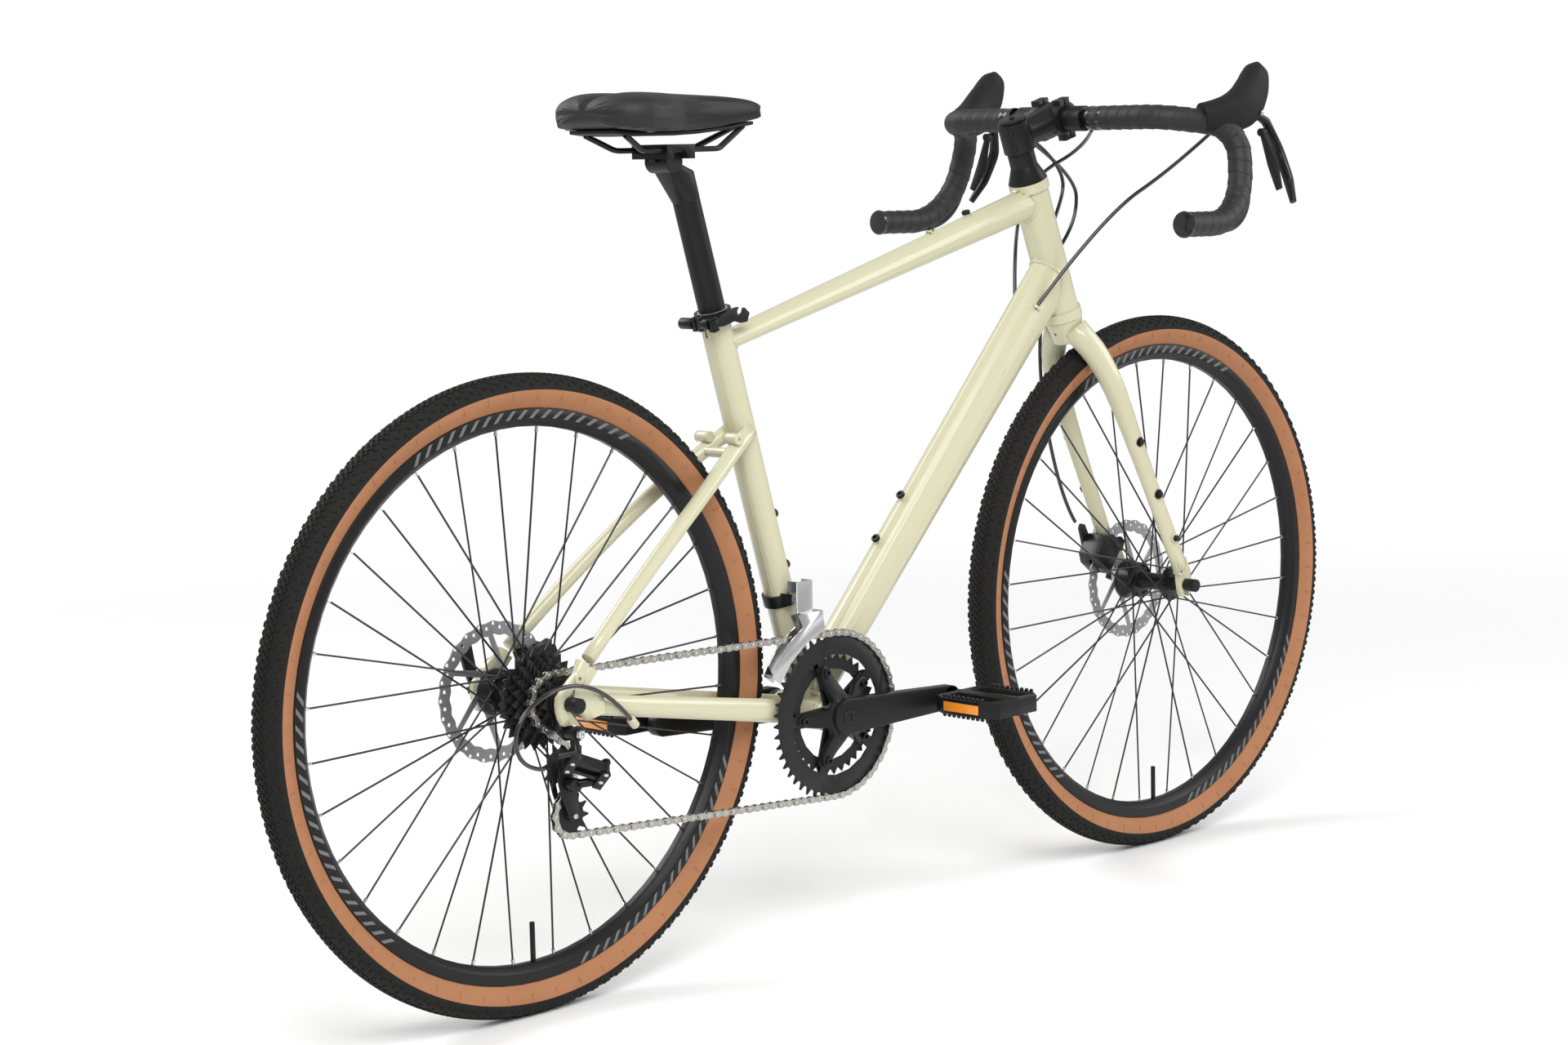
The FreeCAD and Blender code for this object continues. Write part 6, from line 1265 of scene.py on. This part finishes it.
# %% [markdown]
# Tape, finishing band and plug all follow that line. The band is the strip of glossy tape that holds
# the wrap's start, and the plug closes the bar's end.

# %% The taped bar
TAPE_SIDES = 32
TAPE_RADIUS, TAPE_RISE = 14.5 * MM, 0.85 * MM
TAPE_PITCH = 17 * MM
BAND_LONG, BAND_LAYERS = 24 * MM, 2
BAND_LIFT, BAND_WAVE = 0.45 * MM, 0.15 * MM
PLUG_PROFILE = ((0, 0), (15.8, 0), (16.2, 2), (15, 4), (9, 5), (0, 5.2))


def wrapped(name, line, radius_at, material):
    """A closed skin round a line, with its radius given by length and turn."""
    rings = []
    across = (line[1] - line[0]).cross(UP).normalized()
    length = 0.0
    for index, place in enumerate(line):
        onward = (line[min(index + 1, len(line) - 1)] - line[max(index - 1, 0)]).normalized()
        across = (across - onward * across.dot(onward)).normalized()
        up = onward.cross(across)
        if index:
            length += (place - line[index - 1]).length
        rings.append([place + (across * math.cos(turn) + up * math.sin(turn)) * radius_at(length, turn)
                      for turn in turns(TAPE_SIDES)])
    return settle(skinned(name, rings, material))


def tape_radius(length, turn):
    """The tape's radius: it climbs through each turn and steps down at the next."""
    return TAPE_RADIUS + TAPE_RISE * ((length / TAPE_PITCH + turn / (2 * math.pi)) % 1.0)


def band_radius(length, turn):
    """The finishing band's radius, with a small wave where its layers end."""
    return TAPE_RADIUS + BAND_LIFT + BAND_WAVE * math.sin(length / BAND_LONG * 2 * math.pi * BAND_LAYERS)


for side, label in ((1, "left"), (-1, "right")):
    line = bar_line(side)
    tape = wrapped(label + " bar tape", line, tape_radius, DIMPLED)
    carry(tape, "steering", "soft_rubber", "bar_tape")
    band = wrapped(label + " finishing band", line[:int(BAND_LONG / TAPE_STEP)], band_radius, GLOSS)
    carry(band, "steering", "soft_rubber")
    spot = (line[-1], (line[-1] - line[-2]).normalized(), ACROSS)
    plug = keep("bar plug", lathe(PLUG_PROFILE, TAPE_SIDES, MM))
    copies(label + " bar plug", plug, [spot], GLOSS, "steering", "soft_rubber")
rounded("handlebar", BLACK)

# %% [markdown]
# The hoods are thick moulded rubber over the levers' bodies, full at the palm and drawn up into a horn.
# Listed rings along a rising line give that form, with a smooth curve through them, and a Boolean
# cuts the slot in which the brake lever hangs.

# %% The hoods
HOOD_PLACES = ((46, 198, -3), (64, 207, -1), (84, 214, 3), (104, 218, 12), (119, 218, 28), (128, 217, 44),
               (133, 216, 56), (136, 216, 64))
HOOD_SIZES = ((34, 37), (36, 42), (37, 48), (36, 54), (33, 51), (30, 42), (24, 29), (5, 6))
HOOD_STEPS, HOOD_SIDES = 5, 32
HOOD_FULLNESS = 0.85
LEVER_SLOT = ((-9, 3), (-6, 9), (0, 11), (60, 11), (60, -60), (20, -60), (-9, -3))
SLOT_WIDE = 13 * MM
LEVER_PIN_OUT, LEVER_PIN = 15.5 * MM, 3 * MM


def smoothed(rows, steps):
    """More rows between some given ones, on a smooth curve through them."""
    rows = [np.array(row, float) for row in rows]
    out = []
    for index in range(len(rows) - 1):
        a, b = rows[max(index - 1, 0)], rows[index]
        c, d = rows[index + 1], rows[min(index + 2, len(rows) - 1)]
        for t in [step / steps for step in range(steps)]:
            bend = (2 * a - 5 * b + 4 * c - d) * t ** 2 + (3 * b - a - 3 * c + d) * t ** 3
            out.append(0.5 * (2 * b + (c - a) * t + bend))
    return out + [rows[-1]]


def fuller(value):
    """A sine or cosine pushed out, so that a ring is fuller than an oval."""
    return math.copysign(abs(value) ** HOOD_FULLNESS, value)


def hood_rings(side):
    """The rings of one hood along its rising line."""
    places = [BAR_CENTRE + Vector((x, side * y, z)) * MM for x, y, z in smoothed(HOOD_PLACES, HOOD_STEPS)]
    rings = []
    for index, (place, size) in enumerate(zip(places, smoothed(HOOD_SIZES, HOOD_STEPS))):
        run = (places[min(index + 1, len(places) - 1)] - places[max(index - 1, 0)]).normalized()
        wide = (ACROSS - run * ACROSS.dot(run)).normalized()
        tall = run.cross(wide) * (size[1] / 2 * MM)
        wide = wide * (size[0] / 2 * MM)
        rings.append([place + wide * fuller(math.cos(turn)) + tall * fuller(math.sin(turn))
                      for turn in turns(HOOD_SIDES)])
    return rings


def hood(side, label):
    """One hood with a slot below for the lever, and the heads of the lever's pin."""
    pin = pivot(label + "_brake_pull")[0]
    piece = skinned(label + " hood", hood_rings(side), RUBBER)
    cut_with(piece, keep("lever slot", slab([(x * MM, y * MM) for x, y in LEVER_SLOT], SLOT_WIDE)), pin)
    carry(settle(piece), "steering", "soft_rubber", "lever_hoods")
    heads = both_sides([pin], ACROSS, LEVER_PIN_OUT, HEAD_UP)
    copies(label + " lever pin", RIVET, heads, SILVER, "steering", "bright_steel", LEVER_PIN)


hood(1, "left")
hood(-1, "right")

# %% [markdown]
# The brake levers and shift paddles are smooth to the finger, so they are rounded. The stem is forged,
# with four bolts in its faceplate, two behind at the steerer and one in the cap, set out along the stem's
# own directions.

# %% Levers, stem and headset
STEM_RUN, STEM_UP = Vector((0.963, 0, 0.268)), Vector((-0.268, 0, 0.963))
STEM_EDGES = (("stem", BLACK, 1.2, 3), ("headset_cover", BLACK, 0.6, 2))
PLATE_ACROSS, PLATE_RISE, PLATE_OUT = 17 * MM, 21.4 * MM, 10 * MM
STEERER_HEIGHTS = (236 * MM, 256 * MM)
STEERER_BACK, STEERER_OUT = 17 * MM, 9 * MM
CAP_HEIGHT = 269.4 * MM
STEM_BOLT = 3.6 * MM


def stem_bolts():
    """The bolts of the faceplate, the steerer's clamp and the cap."""
    head_on = Vector((HEAD_UP.z, 0, -HEAD_UP.x))
    clamp = HEAD_LOW - head_on * STEERER_BACK - ACROSS * STEERER_OUT
    spots = []
    for side in (1, -1):
        for level in (1, -1):
            place = BAR_CENTRE + ACROSS * (side * PLATE_ACROSS) + STEM_UP * (level * PLATE_RISE)
            spots.append((place + STEM_RUN * PLATE_OUT, STEM_RUN, ACROSS))
    spots += [(clamp + HEAD_UP * height, -ACROSS, HEAD_UP) for height in STEERER_HEIGHTS]
    spots.append((HEAD_LOW + HEAD_UP * CAP_HEIGHT, HEAD_UP, ACROSS))
    copies("stem bolts", BOLT, spots, SPROCKET, "steering", "black_alloy", STEM_BOLT)


for side in ("left", "right"):
    rounded(side + "_brake_lever", FORGED)
    rounded(side + "_shift_paddle", PLASTIC)
bevelled_all(STEM_EDGES)
stem_bolts()

# %% [markdown]
# The seatpost is an alloy tube with a forged head. The tube and the drum that the saddle tilts on are
# turned. Between them is the hull of the tube's top and the drum's middle, since a forging has no hollows.
# The tube is a hair thinner than its solid, so that it slides in the seat tube's bore without touching.

# %% The seatpost
POST_SIDES = 48
POST_EASE, POST_BREAK = 0.2 * MM, 1.5 * MM
POST_SLICE, POST_TOLERANCE, DRUM_TOLERANCE = 1 * MM, 0.05 * MM, 0.1 * MM
DRUM_BREAK = 1 * MM
HEAD_DEPTH = 32 * MM
NECK_RADIUS, NECK_HALF, NECK_DROP = 6 * MM, 14 * MM, 4 * MM


def turned(name, profile, middle, axis):
    """A turned piece of the post, from its profile to its place."""
    mesh = lathe(profile, POST_SIDES)
    place = Matrix.Translation(middle) @ axis.to_track_quat("Z", "Y").to_matrix().to_4x4()
    bmesh.ops.transform(mesh, matrix=place, verts=mesh.verts)
    bmesh.ops.recalc_face_normals(mesh, faces=mesh.faces)
    return settle(show(name, mesh, BLACK))


def post_sizes():
    """The lower end, upper end and radius of the post's tube, measured from the solid."""
    offsets = [vertex.co - BRACKET for vertex in frame["nodes"]["seatpost"].data.vertices]
    rows = [(offset.dot(SEAT_UP), offset.cross(SEAT_UP).length) for offset in offsets]
    low = min(along for along, away in rows)
    radius = max(away for along, away in rows if along < low + POST_SLICE)
    high = max(along for along, away in rows if abs(away - radius) < POST_TOLERANCE)
    return low, high, radius


def drum_sizes(drum):
    """Half of the drum's length, and its radius, measured from the solid."""
    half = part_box("seatpost")[1].y
    places = [vertex.co for vertex in frame["nodes"]["seatpost"].data.vertices]
    ends = [place - drum for place in places if place.y > half - DRUM_TOLERANCE]
    return half, max(math.hypot(end.x, end.z) for end in ends)


def seatpost():
    """The post's tube, its drum and its forged head."""
    body, slot = body_of_node["seatpost"], slot_of_node["seatpost"]
    low, high, radius = post_sizes()
    slim = radius - POST_EASE
    profile = [(0, low), (slim, low), (slim, high - POST_BREAK), (slim - POST_BREAK, high), (0, high)]
    carry(turned("seatpost tube", profile, BRACKET, SEAT_UP), body, slot, "seatpost")
    drum = pivot("saddle_tilt")[0]
    half, thick = drum_sizes(drum)
    upper = [(thick, half - DRUM_BREAK), (thick - DRUM_BREAK, half), (0, half)]
    profile = [(reach, -level) for reach, level in reversed(upper)] + upper
    carry(turned("seatpost drum", profile, drum, ACROSS), body, slot)
    places = []
    for depth in (HEAD_DEPTH, POST_BREAK):
        places += disc(BRACKET + SEAT_UP * (high - depth), SEAT_UP, radius)
    for side in (1, -1):
        places += disc(drum - UP * NECK_DROP + ACROSS * (side * NECK_HALF), ACROSS, NECK_RADIUS)
    carry(hulled("seatpost head", places, POST_BREAK), body, slot)


seatpost()

# %% [markdown]
# The saddle is foam under a skin on a stiff shell, with two steel rails below. The skin is pebbled round
# the back and smooth over the nose, with a slanting seam between the two.

# %% The saddle
COVER_CREASE = math.radians(65)
NOSE_SEAM_SHARE, SEAM_SLANT = 0.4, 0.6
BASE_EDGE = 0.8 * MM
SEAT_EDGES = (("saddle_clamp", BLACK, 1.2, 3), ("seat_clamp", BLACK, 0.6, 2),
              ("seat_clamp_lever", BLACK, 1.0, 3))
CLAMP_BOLT_INSET, CLAMP_BOLT = 5 * MM, 4 * MM


def saddle_cover():
    """The padded cover, with its smooth skin over the nose."""
    cover = rounded("saddle_cover", PEBBLED, 3, COVER_CREASE)
    cover.data.materials.append(SMOOTH)
    low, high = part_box("saddle_cover")
    seam = low.x + (high.x - low.x) * NOSE_SEAM_SHARE
    for face in cover.data.polygons:
        if face.center.x > seam + ((low.z + high.z) / 2 - face.center.z) * SEAM_SLANT:
            face.material_index = 1


def saddle_bolts():
    """The two bolts under the saddle's clamp."""
    low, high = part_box("saddle_clamp")
    places = [Vector((x, (low.y + high.y) / 2, low.z))
              for x in (low.x + CLAMP_BOLT_INSET, high.x - CLAMP_BOLT_INSET)]
    spots = [(place, -UP, AHEAD) for place in places]
    copies("saddle clamp bolts", BOLT, spots, SPROCKET, "saddle_clamp", "black_alloy", CLAMP_BOLT)


saddle_cover()
bevelled("saddle_base", PLASTIC, BASE_EDGE)
rounded("saddle_rails", BLACK)
bevelled_all(SEAT_EDGES)
saddle_bolts()

# %% [markdown]
# The disc brakes' calipers are forged like the cranks, and each has a short arm that its cable pulls. The
# axles and the quick releases are plain black alloy. Broken edges are enough for all of them, with a
# bright bolt at each arm's pivot.

# %% Calipers, axles and quick releases
CALIPER_BOLT_OUT, CALIPER_BOLT = 5.8 * MM, 5 * MM

for end in ("front", "rear"):
    bevelled_all(((end + "_caliper", FORGED, 1.2, 3), (end + "_caliper_arm", FORGED, 0.6, 2),
                  (end + "_axle", BLACK, 0.5, 2), (end + "_qr_lever", BLACK, 1.0, 3)))
    spot = (pivot(end + "_caliper_pull")[0] + ACROSS * CALIPER_BOLT_OUT, ACROSS, AHEAD)
    body = body_of_node[end + "_caliper"]
    copies(end + " caliper bolt", BOLT, [spot], SILVER, body, "bright_steel", CALIPER_BOLT)

# %% [markdown]
# Cable housings are springy, so they hang in smooth curves through a few places. A NURBS line through
# listed points gives that, with a round bevel for the housing. The points are in millimetres, counted
# forward from the rear axle. The three housings that run from the bar to the down tube, and the
# derailleur's loop, are hung on no body and stay where they lie.

# %% The cable housings
HOUSING, HOUSING_ROUNDNESS = 2.4 * MM, 3
HOUSING_ORDER, HOUSING_STEPS = 3, 16
REAR_AXLE_X = Vector((-542, 0, 0))
SHIFT_RIGHT = ((1000, -198, 962.6), (975, -132, 900), (922, -56, 838), (830, -17, 722))
BRAKE_REAR = ((899, -58, 946), (946, -8, 925), (906, 47, 888), (868, 47, 820), (836, 17, 728))
SHIFT_LEFT = ((899, 58, 946), (962, 38, 905), (948, 36, 840), (850, 17, 744))
FRONT_BRAKE = ((899, 64, 946), (990, 46, 892), (992, 44, 832), (936, 50, 770), (928, 62, 640), (988, 76, 470),
               (1012, 70, 432))
DERAILLEUR = ((96, -66, 318), (55, -78, 356), (-20, -88, 380), (-92, -92, 350), (-84, -86, 296),
              (-44, -80, 288))
PORT_OUT, PORT = 7 * MM, 6 * MM
STOP_PROFILE = ((0, -9), (5, -9), (5, 3), (3, 4), (0, 4))


def places_of(route):
    """A route's points as places in the scene."""
    return [(Vector(point) + REAR_AXLE_X) * MM for point in route]


def housing(name, route):
    """A smooth round housing along a route."""
    curve = round_curve(name, HOUSING, HOUSING_ROUNDNESS)
    spline = draw(curve, places_of(route), "NURBS")
    spline.order_u = HOUSING_ORDER
    spline.use_endpoint_u = True
    spline.resolution_u = HOUSING_STEPS
    return settle(show(name, mesh_of(curve), GLOSS))


def bending_housing(name, route, first, last):
    """A housing along a route, hung on no body, with the CAD control cables hidden; the two bodies are only named
    in its print.
    """
    line = housing(name, route)
    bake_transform(line)
    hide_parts("control_cables")
    print(line.name, len(line.data.polygons), "faces between", first, "and", last)


for name, route in (("right shift housing", SHIFT_RIGHT), ("rear brake housing", BRAKE_REAR),
                    ("left shift housing", SHIFT_LEFT)):
    bending_housing(name, route, "steering", "frame")
    before, end = places_of(route[-2:])
    out = (before - end).normalized()
    copies(name + " port", RIVET, [(end + out * PORT_OUT, out, ACROSS)], IVORY, "frame", "frame_paint", PORT)
carry(housing("front brake housing", FRONT_BRAKE), "steering", "housing", "front_brake_cable")
bending_housing("derailleur housing", DERAILLEUR, "frame", "rd_body")
cable_stop = keep("cable stop", lathe(STOP_PROFILE, 14, MM))
start, onward = places_of(DERAILLEUR[:2])
spots = [(start, (onward - start).normalized(), ACROSS)]
copies("derailleur cable stop", cable_stop, spots, IVORY, "frame", "frame_paint")

# %% [markdown]
# The stage is a plain pale floor under soft light, as in a studio: a wide lamp over the camera's left
# shoulder, a weaker one from the other side, and one behind for the edges. The background is white to
# the camera. To reflections and as a light it is a mid grey, so that black pieces stay black.

# %% Floor and light
FLOOR_HALF = 30
FLOOR_NEAR, FLOOR_FAR = 1.3, 3.6
BACKDROP_LIGHT = 0.5
LAMP_TARGET = Vector((0.0, 0.0, 0.5))
LAMPS = (("key", (-2.2, -2.6, 3.4), 2.6, 150), ("fill", (3.0, -2.4, 2.2), 2.4, 60),
         ("edge", (-1.0, 3.2, 3.0), 2.2, 80))


def floor():
    """A wide pale floor that fades into the background."""
    mesh = bmesh.new()
    bmesh.ops.create_grid(mesh, x_segments=1, y_segments=1, size=FLOOR_HALF)
    paint = Paint("pale floor")
    pale = paint.mix(paint.noise(0.6), (0.93, 0.93, 0.93, 1.0), (0.95, 0.95, 0.95, 1.0))
    away = paint.add("ShaderNodeVectorMath", {0: paint.place()}, output="Value", operation="LENGTH")
    reach = {"Value": away, "From Min": FLOOR_NEAR, "From Max": FLOOR_FAR, "To Min": 1.0, "To Max": 0.0}
    fade = paint.add("ShaderNodeMapRange", reach, interpolation_type="SMOOTHSTEP")
    paint.set(Base_Color=pale, Roughness=0.7, Alpha=fade)
    show("floor", mesh, paint.material)


def lamp(name, place, size, power):
    """A soft square lamp aimed at the bike."""
    data = bpy.data.lights.new(name, "AREA")
    data.size = size
    data.energy = power
    light = bpy.data.objects.new(name, data)
    light.location = place
    light.rotation_euler = (LAMP_TARGET - Vector(place)).to_track_quat("-Z", "Y").to_euler()
    bpy.context.scene.collection.objects.link(light)


def backdrop():
    """White to the camera, grey to reflections and as a light."""
    world = bpy.data.worlds.new("studio")
    bpy.context.scene.world = world
    world.use_nodes = True
    tree = world.node_tree
    path, seen = tree.nodes.new("ShaderNodeLightPath"), tree.nodes.new("ShaderNodeMath")
    seen.operation = "MAXIMUM"
    for index, ray in enumerate(("Is Camera Ray", "Is Transmission Ray")):
        tree.links.new(path.outputs[ray], seen.inputs[index])
    strength = tree.nodes.new("ShaderNodeMapRange")
    strength.inputs["To Min"].default_value = BACKDROP_LIGHT
    strength.inputs["To Max"].default_value = 1.0
    tree.links.new(seen.outputs[0], strength.inputs["Value"])
    white = tree.nodes["Background"]
    white.inputs["Color"].default_value = (1.0, 1.0, 1.0, 1.0)
    tree.links.new(strength.outputs[0], white.inputs["Strength"])


floor()
backdrop()
for row in LAMPS:
    lamp(*row)
bpy.context.scene.view_settings.view_transform = "Standard"
print("floor, backdrop and", len(LAMPS), "lamps")

# %% [markdown]
# The camera stands where the photograph was taken from. Its place and turns come from a fit to the two
# wheels and the frame, with a lens of 72 mm on a frame 36 mm wide.

# %% The camera at the photograph's angle
CAMERA_PLACE = Vector((-2.6960, -2.5817, 0.9533))
CAMERA_AZIMUTH = math.radians(-44.706)
CAMERA_RISE = math.radians(7.117)
CAMERA_ROLL = math.radians(-1.265)
level = Vector((math.sin(CAMERA_AZIMUTH), -math.cos(CAMERA_AZIMUTH), 0))
back = level * math.cos(CAMERA_RISE) + UP * math.sin(CAMERA_RISE)
roll = Matrix.Rotation(CAMERA_ROLL, 3, "Z").to_quaternion()
lens = bpy.data.cameras.new("camera")
lens.sensor_width = 36.0
lens.lens = 72.0
camera = bpy.data.objects.new("camera", lens)
camera.location = CAMERA_PLACE
camera.rotation_mode = "QUATERNION"
camera.rotation_quaternion = (-back).to_track_quat("-Z", "Y") @ roll
bpy.context.scene.collection.objects.link(camera)
bpy.context.scene.camera = camera
print("camera", round(CAMERA_PLACE.length, 2), "m from the ground between the wheels")
